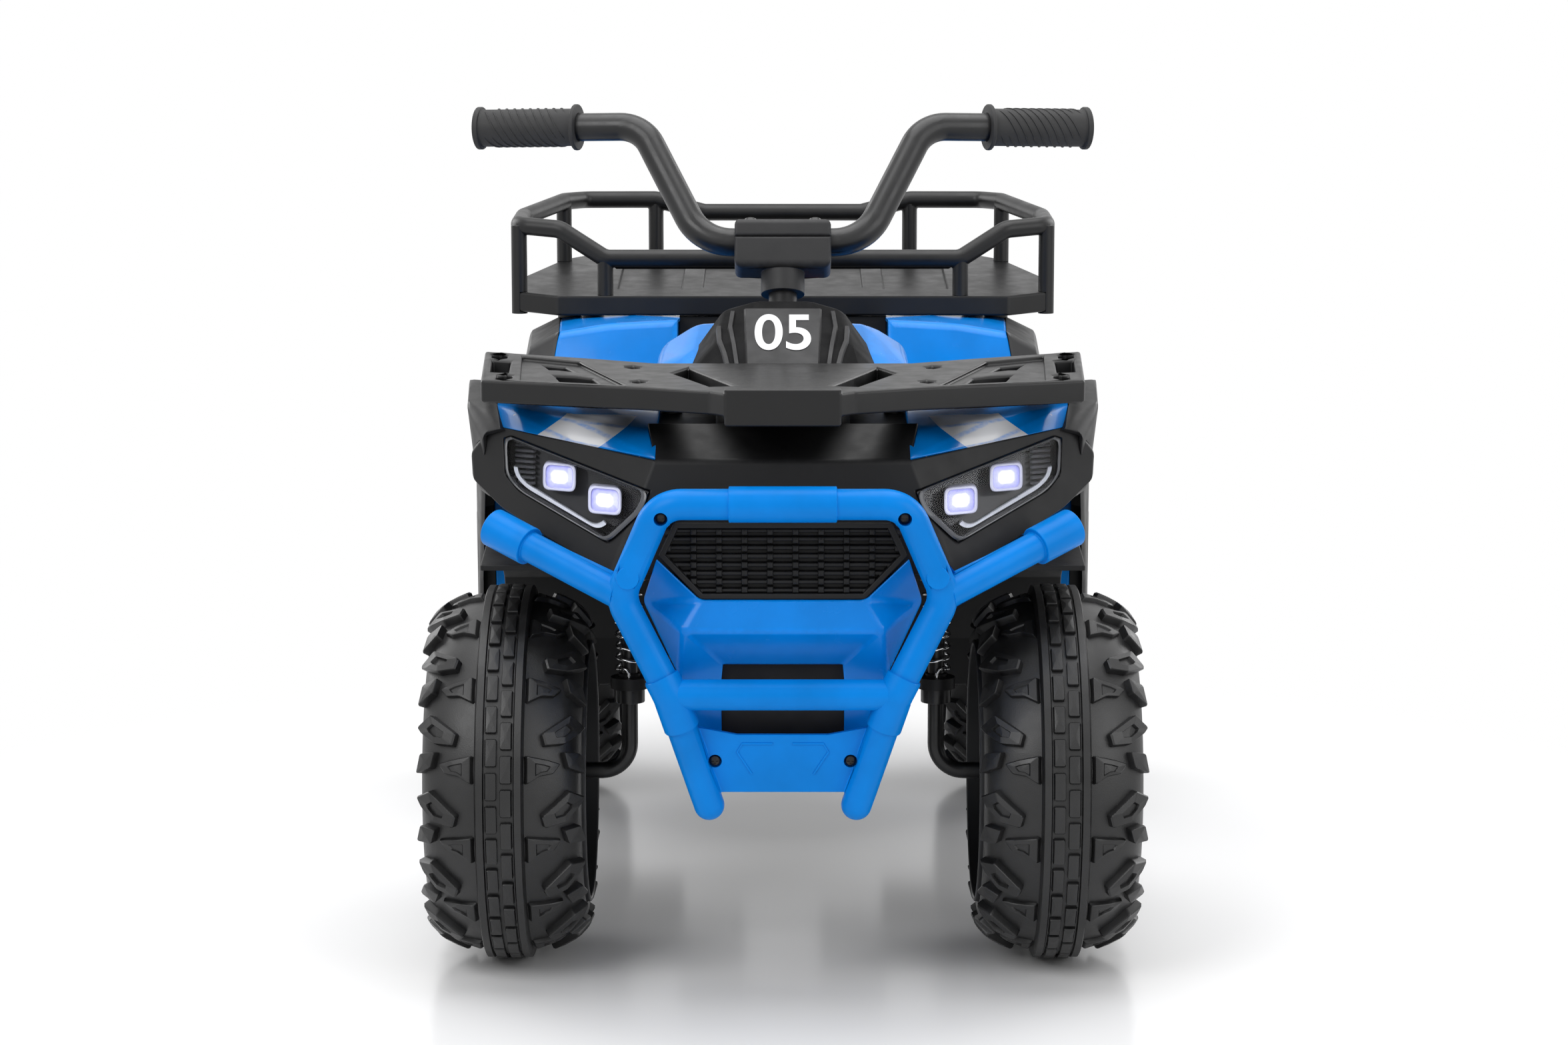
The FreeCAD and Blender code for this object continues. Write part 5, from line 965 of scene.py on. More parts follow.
class CopyTree(Wiring):
    """Geometry nodes that repeat a shape and realise the copies."""

    def __init__(self, pattern: Pattern) -> None:
        """Builds the tree of one pattern.

        Args:
            pattern: The way of repeating.
        """
        self.group = bpy.data.node_groups.new(pattern.value, "GeometryNodeTree")
        super().__init__(self.group)
        self.group.interface.new_socket("Geometry", in_out="INPUT", socket_type="NodeSocketGeometry")
        self.group.interface.new_socket("Geometry", in_out="OUTPUT", socket_type="NodeSocketGeometry")
        self.socket("Material", "NodeSocketMaterial")
        self.source = None
        {Pattern.RING: self.ring, Pattern.SPOTS: self.spots, Pattern.PATH: self.path}[pattern]()

    def socket(self, name: str, kind: str) -> None:
        """Adds a named input."""
        self.group.interface.new_socket(name, in_out="INPUT", socket_type=kind)

    def start(self) -> None:
        """Adds the node that the inputs come from."""
        self.source = self.add("NodeGroupInput").outputs

    def copies(self, points: Socket, shape: Socket, rotation: Socket) -> None:
        """Instances on points, realised, with the material set.

        Args:
            points: The points.
            shape: Geometry that is repeated.
            rotation: Turn of each copy.
        """
        made = self.add("GeometryNodeInstanceOnPoints", Points=points, Instance=shape, Rotation=rotation)
        real = self.add("GeometryNodeRealizeInstances", order=(made.outputs[0],))
        dressed = self.add("GeometryNodeSetMaterial", Geometry=real.outputs[0],
                           Material=self.source["Material"])
        self.add("NodeGroupOutput", Geometry=dressed.outputs[0])

    def shape(self) -> Socket:
        """Geometry of the object in the shape input."""
        return self.add("GeometryNodeObjectInfo", Object=self.source["Shape"]).outputs["Geometry"]

    def aligned(self, axis: str, direction: Socket) -> Socket:
        """Rotation that turns an axis of the shape to a direction."""
        return self.add("FunctionNodeAlignRotationToVector", {"axis": axis},
                        Vector=direction).outputs[0]

    def ring(self) -> None:
        """The input itself, repeated round an axle along X."""
        self.socket("Count", "NodeSocketInt")
        self.socket("Centre", "NodeSocketVector")
        self.start()
        points = self.add("GeometryNodePoints", Count=self.source["Count"], Position=self.source["Centre"])
        turn = self.maths("DIVIDE", self.add("GeometryNodeInputIndex").outputs[0], self.source["Count"])
        angle = self.maths("MULTIPLY", turn, math.tau)
        self.copies(points.outputs[0], self.source["Geometry"],
                    self.add("ShaderNodeCombineXYZ", X=angle).outputs[0])

    def spots(self) -> None:
        """A shape on each point of the input, its Z along the point's stored direction."""
        self.socket("Shape", "NodeSocketObject")
        self.start()
        facing = self.add("GeometryNodeInputNamedAttribute", {"data_type": "FLOAT_VECTOR"}, Name=FACING)
        self.copies(self.source["Geometry"], self.shape(), self.aligned("Z", facing.outputs[0]))

    def path(self) -> None:
        """A shape at even steps along the input's edges, its X along them."""
        self.socket("Shape", "NodeSocketObject")
        self.socket("Spacing", "NodeSocketFloat")
        self.start()
        curve = self.add("GeometryNodeMeshToCurve", Mesh=self.source["Geometry"])
        points = self.add("GeometryNodeResampleCurve", {"mode": "LENGTH"}, Curve=curve.outputs[0],
                          Length=self.source["Spacing"])
        tangent = self.add("GeometryNodeInputTangent").outputs[0]
        self.copies(points.outputs[0], self.shape(), self.aligned("X", tangent))


TREES: dict[Pattern, CopyTree] = {}


def repeated(pattern: Pattern, mesh: Mesh, finish: Finish, shape: Mesh | None = None,
             **sizes: Any) -> Mesh:
    """Runs a copying tree.

    Args:
        pattern: The way of repeating.
        mesh: Points, path or shape that goes into the tree; it is used up.
        finish: Finish of the copies.
        shape: The repeated shape, where the pattern takes one; it is used up.
        sizes: Values of the tree's other named inputs.

    Returns:
        The plain mesh of all copies.
    """
    tree = TREES.get(pattern) or TREES.setdefault(pattern, CopyTree(pattern))
    values = dict(sizes, Material=finish.material())
    if shape is not None:
        values["Shape"] = bpy.data.objects.new("repeated_shape", shape)
    carrier = linked("copy_carrier", mesh)
    modifier = carrier.modifiers.new("copies", "NODES")
    modifier.node_group = tree.group
    for item in tree.group.interface.items_tree:
        if item.item_type == "SOCKET" and item.in_out == "INPUT" and item.name in values:
            modifier[item.identifier] = values[item.name]
    made = frozen(carrier)
    if shape is not None:
        bpy.data.objects.remove(values["Shape"])
        bpy.data.meshes.remove(shape)
    return made


def dotted(spots: Sequence[Spot], shape: Mesh, finish: Finish) -> Mesh:
    """Copies of a shape on spots, its Z along the direction that each faces.

    Args:
        spots: Place and direction of each copy.
        shape: The shape, which is used up.
        finish: Finish of the copies.

    Returns:
        The plain mesh of all copies.
    """
    mesh = bpy.data.meshes.new("spots")
    mesh.from_pydata([spot for spot, _ in spots], [], [])
    facing = mesh.attributes.new(FACING, "FLOAT_VECTOR", "POINT")
    facing.data.foreach_set("vector", [part for _, way in spots for part in way])
    return repeated(Pattern.SPOTS, mesh, finish, shape)


def path_mesh(points: Sequence[Vector]) -> Mesh:
    """Line of edges through points.

    Args:
        points: The points, in order.

    Returns:
        The line's mesh.
    """
    mesh = bpy.data.meshes.new("seam")
    mesh.from_pydata(points, [(index, index + 1) for index in range(len(points) - 1)], [])
    return mesh


def ring_points(radius: Callable[[float], float], height: float, count: int) -> list[Vector]:
    """Points round the Z axis, at a radius that may change with the angle."""
    angles = [math.tau * index / count for index in range(count)]
    return [Vector((radius(angle) * math.cos(angle), radius(angle) * math.sin(angle), height))
            for angle in angles]


def solids_of(node: str) -> list[np.ndarray]:
    """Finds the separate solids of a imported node.

    Args:
        node: Name of the node.

    Returns:
        Points of each solid.
    """
    shape = merged(node)
    found, seen = [], set()
    for first in shape.verts:
        if first in seen:
            continue
        island, reached = [], [first]
        seen.add(first)
        while reached:
            point = reached.pop()
            island.append(tuple(point.co))
            for edge in point.link_edges:
                other = edge.other_vert(point)
                if other not in seen:
                    seen.add(other)
                    reached.append(other)
        found.append(np.array(island))
    shape.free()
    return found


def measured(solid: np.ndarray) -> tuple[np.ndarray, np.ndarray, np.ndarray, np.ndarray]:
    """Measures a long solid about its own axis.

    Args:
        solid: Its points.

    Returns:
        Its middle, its axis, and each point's distance along the axis and away from it.
    """
    middle = solid.mean(0)
    axis = np.linalg.svd(solid - middle, full_matrices=False)[2][0]
    along = (solid - middle) @ axis
    away = np.linalg.norm((solid - middle) - np.outer(along, axis), axis=1)
    return middle, axis, along, away


class Surface:
    """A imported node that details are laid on."""

    def __init__(self, node: str) -> None:
        """Sorts the node's faces for casting."""
        self.tree = BVHTree.FromPolygons(*packed(node))

    def met(self, start: Vector, way: Vector) -> Spot:
        """First point of the node along a direction.

        Args:
            start: Where to start.
            way: The direction.

        Returns:
            The point and its normal.
        """
        spot, normal, _, _ = self.tree.ray_cast(start, way)
        if spot is None:
            raise ValueError(f"nothing lies along {way} from {start}")
        return spot, normal


def ridge(points: Sequence[Vector], out: Vector, half: float, rise: float) -> Mesh:
    """Low bar along points of a surface.

    Args:
        points: Points on the surface, in order.
        out: Direction away from the surface.
        half: Half the width of the bar's foot.
        rise: Height of the bar.

    Returns:
        The bar's mesh.
    """
    rings = []
    for index, point in enumerate(points):
        before, after = points[max(0, index - 1)], points[min(len(points) - 1, index + 1)]
        side = (after - before).cross(out).normalized() * half
        foot = point - out * rise
        top = point + out * rise
        rings.append([foot - side, foot + side, top + side * RIDGE_TOP, top - side * RIDGE_TOP])
    return mesh_of(stacked(rings), "ridge")


def bar_shape(length: float, width: float, rise: float) -> Mesh:
    """Round-ended bar along X, standing on the Z plane.

    Args:
        length: Length of the bar.
        width: Width of the bar.
        rise: Height of the bar.

    Returns:
        The bar's mesh.
    """
    outline = rounded(rectangle(length / 2, width / 2), width / 2, 4)
    levels = [(1.0, -rise), (1.0, rise * 0.5), (0.94, rise), (0.5, rise)]
    return mesh_of(pad_shape(outline, levels), "bar")


@dataclass(frozen=True)
class Moulding:
    """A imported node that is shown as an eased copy."""

    node: str
    finish: Finish
    rounding: Rounding = SHELL

    def dress(self) -> Piece:
        """Places the eased copy on the node's body."""
        mesh = eased(merged(self.node), self.node, self.rounding)
        return place(self.node + "_finished", mesh, body_of(self.node), self.finish, (self.node,))


@dataclass(frozen=True)
class Spring(Moulding):
    """A coil that a joint shortens, with one end held."""

    joint: str = ""
    held_height: float = 0.0
    travel: float = 12 * MM

    def dress(self) -> Piece:
        """Places the coil on a mesh of its own.

        Returns:
            The piece.
        """
        piece = super().dress()
        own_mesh(piece)
        return piece


class SubAssembly:
    """A group of pieces that is built and dressed together."""

    mouldings: tuple[Moulding, ...] = ()

    def dress(self) -> None:
        """Dresses the copied nodes, then the group's own details."""
        LOG.info("Dressing the %s", type(self).__name__)
        for moulding in self.mouldings:
            moulding.dress()
        self.detail()

    def detail(self) -> None:
        """Adds what the group has beyond its copied nodes."""


@dataclass
class Tyre:
    """One tyre: a hollow carcass, a tread band with blocks and slanted shoulder lugs."""

    wheel: str
    steps: int = 120
    bead_share: float = 0.695
    lug_count: int = 14
    block_count: int = 36
    carcass_shares: Pairs = (
        (0.93, 0.01), (0.955, 0.015), (0.968, 0.10), (0.955, 0.21), (0.91, 0.33), (0.84, 0.45),
        (0.745, 0.55), (0.63, 0.635), (0.50, 0.71), (0.37, 0.76), (0.30, 0.78), (0.284, 0.92),
        (0.27, 0.96), (0.19, 0.96), (0.175, 0.915), (0.0, 0.915))
    cavity_shares: Pairs = ((0.0, 0.78), (0.40, 0.66), (0.66, 0.52), (0.84, 0.30), (0.91, 0.10))
    slant_lug_shares: Pairs = ((0.945, 0.115), (0.80, 0.235), (0.49, -0.08), (0.525, -0.24),
                               (0.74, -0.20), (0.90, 0.0))
    edge_lug_shares: Pairs = ((0.90, -0.30), (0.73, -0.30), (0.775, -0.52), (0.945, -0.60))
    root_lug_shares: Pairs = ((0.32, -0.36), (0.58, -0.41), (0.73, -0.46), (0.64, -0.60), (0.48, -0.63),
                              (0.32, -0.74))
    block_shares: Pairs = ((0.165, -0.175), (0.165, 0.175), (0.02, 0.175), (0.02, -0.175))
    lug_levels: Pairs = ((1.06, -2.5), (0.99, 5.6), (0.92, 6.8), (0.44, 7.0), (0.37, 4.4), (0.1, 4.4))
    edge_levels: Pairs = lug_levels[:4]
    root_levels: Pairs = ((1.05, -2.5), (0.95, 2.8), (0.86, 3.6), (0.45, 3.8), (0.36, 2.4), (0.1, 2.4))
    block_levels: Pairs = ((1.0, -2.5), (0.98, 2.2), (0.92, 3.1), (0.4, 3.2))
    pad_corner: float = 1.6 * MM
    probe_share: float = 0.02
    steepest: float = 2.5
    smooth_below: float = 38.0

    def __post_init__(self) -> None:
        """Reads the tyre's place and size from the frame."""
        low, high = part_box(self.wheel + "_tyre")
        self.centre = (low + high) / 2
        self.radius = (high.z - low.z) / 2
        self.half_width = (high.x - low.x) / 2
        self.bead = self.radius * self.bead_share
        self.wall = self.radius - self.bead
        self.profile = self.sized(self.carcass_shares)
        self.across, self.up = zip(*reversed(self.profile[2:]))

    def sized(self, shares: Pairs) -> Outline:
        """Profile from shares of the half width and of the wall's height."""
        return [(across * self.half_width, self.bead + up * self.wall) for across, up in shares]

    def height_at(self, across: float) -> float:
        """Radius of the carcass at a distance from the middle plane."""
        return float(np.interp(abs(across), self.across, self.up))

    def on_carcass(self, across: float, around: float, height: float) -> Vector:
        """Point above the carcass, from the wheel's centre.

        Args:
            across: Distance from the middle plane.
            around: Distance up round the front of the tyre.
            height: Distance out from the carcass.

        Returns:
            The point.
        """
        small = self.half_width * self.probe_share
        slope = (self.height_at(across + small) - self.height_at(across - small)) / (2 * small)
        slope = max(-self.steepest, min(self.steepest, slope))
        lean = math.hypot(slope, 1.0)
        radius = self.height_at(across) + height / lean
        angle = around / self.radius
        return Vector((across - height * slope / lean, -radius * math.cos(angle),
                       radius * math.sin(angle)))

    def pads(self, shares: Pairs, levels: Pairs, side: Side, shift: float = 0.0) -> Mesh:
        """One pad of the tread on one side.

        Args:
            shares: Outline as shares of the half width.
            levels: Share, and height in millimetres, of each ring of the pad.
            side: Side of the middle plane.
            shift: Distance that the pad is moved round the tyre.

        Returns:
            The pad's mesh, from the wheel's centre.
        """
        outline = rounded([(side.value * across * self.half_width, around * self.half_width + shift)
                           for across, around in shares], self.pad_corner, 2)
        return mesh_of(pad_shape(outline, raised(levels), self.on_carcass), "tread_pad")

    def carcass(self) -> Mesh:
        """Closed hollow skin of the tyre.

        Returns:
            The skin's mesh.
        """
        cavity = self.sized(self.cavity_shares)
        loop = self.profile + [(-across, up) for across, up in reversed(self.profile[:-1])]
        loop += [(-across, up) for across, up in reversed(cavity[1:])] + cavity
        rings = []
        for step in range(self.steps):
            angle = math.tau * step / self.steps
            rings.append([self.centre + Vector((across, -up * math.cos(angle), up * math.sin(angle)))
                          for across, up in loop])
        return mesh_of(stacked(rings, closed=True), "carcass")

    def build(self) -> Mesh:
        """Carcass and tread as one mesh.

        Returns:
            The tyre's mesh.
        """
        pitch = math.tau * self.radius / self.block_count
        lugs, blocks = [], []
        for side in Side:
            lugs.append(self.pads(self.slant_lug_shares, self.lug_levels, side))
            lugs.append(self.pads(self.edge_lug_shares, self.edge_levels, side))
            lugs.append(self.pads(self.root_lug_shares, self.root_levels, side))
            blocks.append(self.pads(self.block_shares, self.block_levels, side, pitch / 4 * side.value))
        rings = [(lugs, self.lug_count), (blocks, self.block_count)]
        made = [repeated(Pattern.RING, joined(pads, "tread"), TYRE, Count=count, Centre=self.centre)
                for pads, count in rings]
        return smoothed(joined([self.carcass()] + made, self.wheel + "_tread"), self.smooth_below)


@dataclass
class Wheels(SubAssembly):
    """Four tyres on their discs."""

    names: tuple[str, ...] = ("front_left", "front_right", "rear_left", "rear_right")
    rounding: Rounding = Rounding(crease=1.6 * MM, rim=1.6 * MM, fold_from=26.0)

    def detail(self) -> None:
        """Dresses each wheel's tyre and disc."""
        for name in self.names:
            Moulding(name + "_wheel_disc", WHEEL, self.rounding).dress()
            place(name + "_tyre_rubber", Tyre(name).build(), body_of(name + "_tyre"), TYRE,
                  (name + "_tyre",))


@dataclass
class FrontEnd(SubAssembly):
    """Nose, bumper hoop, grille and the fascia behind them."""

    mouldings: tuple[Moulding, ...] = (
        Moulding("nose_panel", BLUE, SHELL), Moulding("front_bumper", BLUE_SATIN, TUBE),
        Moulding("front_fascia", BLACK, SHELL), Moulding("grille", BLACK, BLOCK))
    columns: int = 10
    rows: int = 8
    stud: float = 2.6 * MM
    stud_height: float = 3.2 * MM
    rim: float = 8 * MM
    corner_drop_share: float = 0.44
    foot_width_share: float = 0.66
    skid_path: Pairs = ((8, 220), (33, 220), (37, 213), (25, 194))
    ridge_half: float = 1.1 * MM
    ridge_rise: float = 0.8 * MM
    sleeve_path: tuple[tuple[float, float, float], ...] = (
        (97.7, -503.7, 277.0), (97.5, -503.7, 276.5), (92.6, -504.7, 266.9), (90.6, -504.8, 262.8),
        (89.1, -504.2, 258.6), (81.7, -498.8, 235.4), (81.5, -498.7, 234.9))
    sleeve_radius: float = 14.5 * MM
    sleeve_lip: float = 0.6 * MM
    sleeve_points: int = 36
    sleeve_smooth: float = 50.0
    tab_outline: Pairs = ((50, 248), (50, 216), (80, 216), (92, 246), (84, 258))
    tab_back: float = -463 * MM
    tab_wall: float = 3 * MM

    def detail(self) -> None:
        """Adds the grille's studs, the skid plate's ridges, the hoop's sleeves and the nose's tabs."""
        self.studs()
        self.skid_ridges()
        lay("hoop_sleeves", [self.sleeve(side) for side in Side], "front_bumper", BLUE_SATIN,
            self.sleeve_smooth)
        self.tabs()

    def sleeve(self, side: Side) -> Mesh:
        """Sleeve round a leg of the hoop, where the cross bar meets it.

        Args:
            side: Side of the leg.

        Returns:
            The sleeve's mesh.
        """
        path = [Vector((side.value * x, y, z)) * MM for x, y, z in self.sleeve_path]
        last = len(path) - 1
        rings = []
        for index, point in enumerate(path):
            way = path[min(last, index + 1)] - path[max(0, index - 1)]
            turn = way.to_track_quat("Z", "Y")
            radius = self.sleeve_radius - (self.sleeve_lip if index in (0, last) else 0.0)
            rings.append([point + turn @ spot
                          for spot in ring_points(lambda angle: radius, 0.0, self.sleeve_points)])
        return mesh_of(stacked(rings), "sleeve")

    def tabs(self) -> None:
        """Tabs that carry the nose panel down behind the cross bar."""
        wall = self.tab_wall
        levels = [(1.0, 0.0), (1.0, wall * 0.8), (0.98, wall), (0.5, wall)]
        made = paired(in_metres(self.tab_outline), levels,
                      lambda sign, x, z, out: Vector((sign * x, self.tab_back - out, z)))
        lay("nose_tabs", made, "nose_panel", BLUE)

    def skid_ridges(self) -> None:
        """Bent ridges on both halves of the skid plate."""
        plate = Surface("front_bumper")
        made = []
        for side in Side:
            run = [plate.met(Vector((side.value * across * MM, -CAST_FROM, up * MM)), -AHEAD)[0]
                   for across, up in self.skid_path]
            made.append(ridge(run, AHEAD, self.ridge_half, self.ridge_rise))
        lay("skid_ridges", made, "front_bumper", BLUE_SATIN)

    def studs(self) -> None:
        """Square studs in rows over the grille."""
        low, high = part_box("grille")
        step = (high.x - low.x - 2 * self.rim) / (self.columns - 1)
        rise = (high.z - low.z - 2 * self.rim) / (self.rows - 1)
        narrow = self.foot_width_share
        corner = low.z + (high.z - low.z) * (1 - self.corner_drop_share)
        spots = []
        for column in range(self.columns):
            for row in range(self.rows):
                spot = Vector((low.x + self.rim + column * step, low.y + self.stud,
                               low.z + self.rim + row * rise))
                share = min(1.0, (spot.z - low.z) / (corner - low.z))
                reach = high.x * (narrow + (1 - narrow) * share) - self.rim
                if abs(spot.x) <= reach:
                    spots.append((spot, AHEAD))
        height = self.stud_height
        levels = [(1.0, -2 * height), (1.0, 0.0), (0.8, height * 0.4), (0.3, height * 0.55)]
        stud = mesh_of(pad_shape(rectangle(self.stud, self.stud), levels), "stud")
        place("grille_studs", dotted(spots, stud, BLACK), body_of("grille"), BLACK)


@dataclass
class Headlights(SubAssembly):
    """Lamp buckets with two light blocks each, a silver strip painted as a highlight, ribs and a clear
    cover.

    Levels and profiles give depths in millimetres behind the front of the light blocks.
    """

    mouldings: tuple[Moulding, ...] = (Moulding("headlight_reflectors", GLOSS_BLACK, BLOCK),)
    corner: float = 8 * MM
    cover_smooth: float = 50.0
    cover_shares: Pairs = ((0.998, 0.2), (0.985, 0.8), (0.965, 1.0), (0.5, 1.15))
    bezel_shares: tuple[float, float, float] = (0.999, 0.975, 0.945)
    bezel_proud: float = 0.5 * MM
    bezel_bevels: tuple[float, float] = (1 * MM, 0.6 * MM)
    strip_width: float = 3.2 * MM
    strip_inset_share: float = 0.84
    strip_top_share: float = 0.7
    strip_hook: int = 4
    strip_profile: tuple[tuple[int, float], ...] = ((0, 6), (1, 6), (1, -1), (0, -3))
    block_corner: float = 6 * MM
    block_swell: tuple[float, float] = (1.34, 1.1)
    rim_levels: Pairs = ((0.9, 9), (1.0, 9), (1.0, -3), (0.93, -4), (0.84, -4), (0.78, -1), (0.3, -1))
    lit_levels: Pairs = ((0.79, -0.8), (0.79, -1.6), (0.6, -2.4), (0.4, -2.9), (0.2, -3.2))
    lit_smooth: float = 60.0
    rib_count: int = 8
    rib_half: tuple[float, float] = (9 * MM, 1.2 * MM)
    rib_rise: float = 1.6 * MM
    rib_corner: float = 1 * MM
    rib_depth: float = 4 * MM
    rib_foot: float = 6 * MM
    rib_inset_share: float = 0.8
    rib_end: float = 20 * MM
    rib_smooth: float = 35.0

    def __post_init__(self) -> None:
        """Fits the swept lamp face and reads the lamp's outline from the frame."""
        covers, blocks = left_points("headlight_lenses"), left_points("headlight_leds")
        cover_rows, block_rows = [np.column_stack([np.ones(len(points)), points[:, 0], points[:, 2]])
                                  for points in (covers, blocks)]
        self.plane = np.linalg.lstsq(cover_rows, covers[:, 1], rcond=None)[0]
        rest = covers[:, 1] - cover_rows @ self.plane
        self.front, self.back = float(rest.min()), float(rest.max())
        self.depth = float((blocks[:, 1] - block_rows @ self.plane).min())
        flat = [tuple(point) for point in covers[:, [0, 2]]]
        self.outline = [flat[index] for index in convex_hull_2d(flat)]

    def on_face(self, across: float, up: float, depth: float, side: Side = Side.LEFT) -> Vector:
        """Point at a depth behind the middle of the cover."""
        return Vector((side.value * across, float(self.plane @ (1.0, across, up)) + depth, up))

    def behind(self, levels: Levels) -> Levels:
        """Levels from the front of the light blocks, as depths behind the cover."""
        return [(share, self.depth + depth * MM) for share, depth in levels]

    def slab(self, outline: Outline, levels: Levels, side: Side) -> Mesh:
        """Pad on the lamp face, its levels given as shares and depths."""
        return mesh_of(pad_shape(outline, levels, lambda *spot: self.on_face(*spot, side)), "slab")

    def covers(self) -> None:
        """Clear covers with eased edges."""
        outline = rounded(self.outline, self.corner)
        levels = [(0.9, self.back), (0.998, self.back)]
        levels += [(share, self.front * depth) for share, depth in self.cover_shares]
        lay("headlight_covers_clear", [self.slab(outline, levels, side) for side in Side],
            "headlight_lenses", LENS, self.cover_smooth, ("headlight_lenses",))

    def bezels(self) -> None:
        """Frosted rim round each cover."""
        outline = rounded(self.outline, self.corner)
        rims = [shrunk(outline, share) for share in self.bezel_shares]
        front = self.front - self.bezel_proud
        outer, inner = self.bezel_bevels
        profile = ((0, self.back), (0, front + outer), (1, front), (2, front + inner), (2, self.back))
        made = []
        for side in Side:
            rings = [[self.on_face(*spots[rim], depth, side) for rim, depth in profile]
                     for spots in zip(*rims)]
            made.append(mesh_of(stacked(rings, closed=True), "bezel"))
        lay("headlight_bezels", made, "headlight_lenses", FROST)

    def light_blocks(self) -> None:
        """Rounded light blocks, lit in front, each in a pale rim."""
        rims, lit = [], []
        for solid in solids_of("headlight_leds"):
            side = Side.LEFT if solid[:, 0].mean() > 0 else Side.RIGHT
            across, up = np.abs(solid[:, 0]), solid[:, 2]
            middle = across.mean(), up.mean()
            wide, high = [swell * np.ptp(axis) / 2 for swell, axis in zip(self.block_swell, (across, up))]
            square = rounded(rectangle(wide, high, middle), self.block_corner, 5)
            rims.append(self.slab(square, self.behind(self.rim_levels), side))
            front = self.slab(square, self.behind(self.lit_levels), side)
            values = [max(0.0, 1 - math.hypot((abs(point.co.x) - middle[0]) / wide,
                                              (point.co.z - middle[1]) / high))
                      for point in front.vertices]
            front.attributes.new(GLOW, "FLOAT", "POINT").data.foreach_set("value", values)
            lit.append(front)
        lay("headlight_block_rims", rims, "headlight_leds", LED_RIM, nodes=("headlight_leds",))
        lay("headlight_blocks_lit", lit, "headlight_leds", LED, self.lit_smooth)

    def highlight_strips(self) -> None:
        """Silver strip along the lower edges inside each bucket, a painted highlight along the lens's lower
        edge.
        """
        inner = rounded(shrunk(self.outline, self.strip_inset_share), self.corner)
        low = min(inner, key=lambda point: point[1])
        start = inner.index(low)
        inner = inner[start:] + inner[:start]
        end = max(range(len(inner)), key=lambda index: inner[index][0])
        hook = self.strip_hook
        outwards = inner[1][0] > inner[-1][0]
        run = inner[-hook:] + inner[:end] if outwards else inner[end:] + inner[:hook]
        top = low[1] + self.strip_top_share * (max(point[1] for point in inner) - low[1])
        run = [Vector(point) for point in run if point[1] < top]
        middle = Vector([sum(axis) / len(inner) for axis in zip(*inner)])
        made = []
        for side in Side:
            rings = []
            for point in run:
                edges = point, point + (middle - point).normalized() * self.strip_width
                rings.append([self.on_face(*edges[edge], self.depth + depth * MM, side)
                              for edge, depth in self.strip_profile])
            made.append(mesh_of(stacked(rings), "strip"))
        # The strip paints the lens's highlight along its lower edge.
        lay("headlight_strips", made, "headlight_reflectors", HIGHLIGHT_STRIP)

    def ribs(self) -> None:
        """Short ribs at the outer end of each bucket."""
        inner = shrunk(self.outline, self.rib_inset_share)
        outer = max(point[0] for point in inner)
        ends = [point[1] for point in inner if point[0] > outer - self.rib_end]
        low, high = min(ends), max(ends)
        outline = rounded(rectangle(*self.rib_half), self.rib_corner, 3)
        levels = [(1.0, self.rib_foot), (1.0, 0.0), (0.8, -self.rib_rise), (0.3, -self.rib_rise)]
        rows = [low + (high - low) * (index + 0.5) / self.rib_count for index in range(self.rib_count)]
        depth = self.depth + self.rib_depth
        for side in Side:
            spots = [(self.on_face(outer - self.rib_half[0], up, depth, side), UP) for up in rows]
            slope = float(self.plane[1]) * side.value
            rib = mesh_of(pad_shape(outline, levels, lambda x, z, y: Vector((x, y + slope * x, z))), "rib")
            lay("headlight_ribs_" + side.name.lower(), [dotted(spots, rib, LAMP_GREY)],
                "headlight_reflectors", LAMP_GREY, self.rib_smooth)

    def detail(self) -> None:
        """Builds the lamps from the back to the cover."""
        self.light_blocks()
        self.highlight_strips()
        self.ribs()
        self.bezels()
        self.covers()


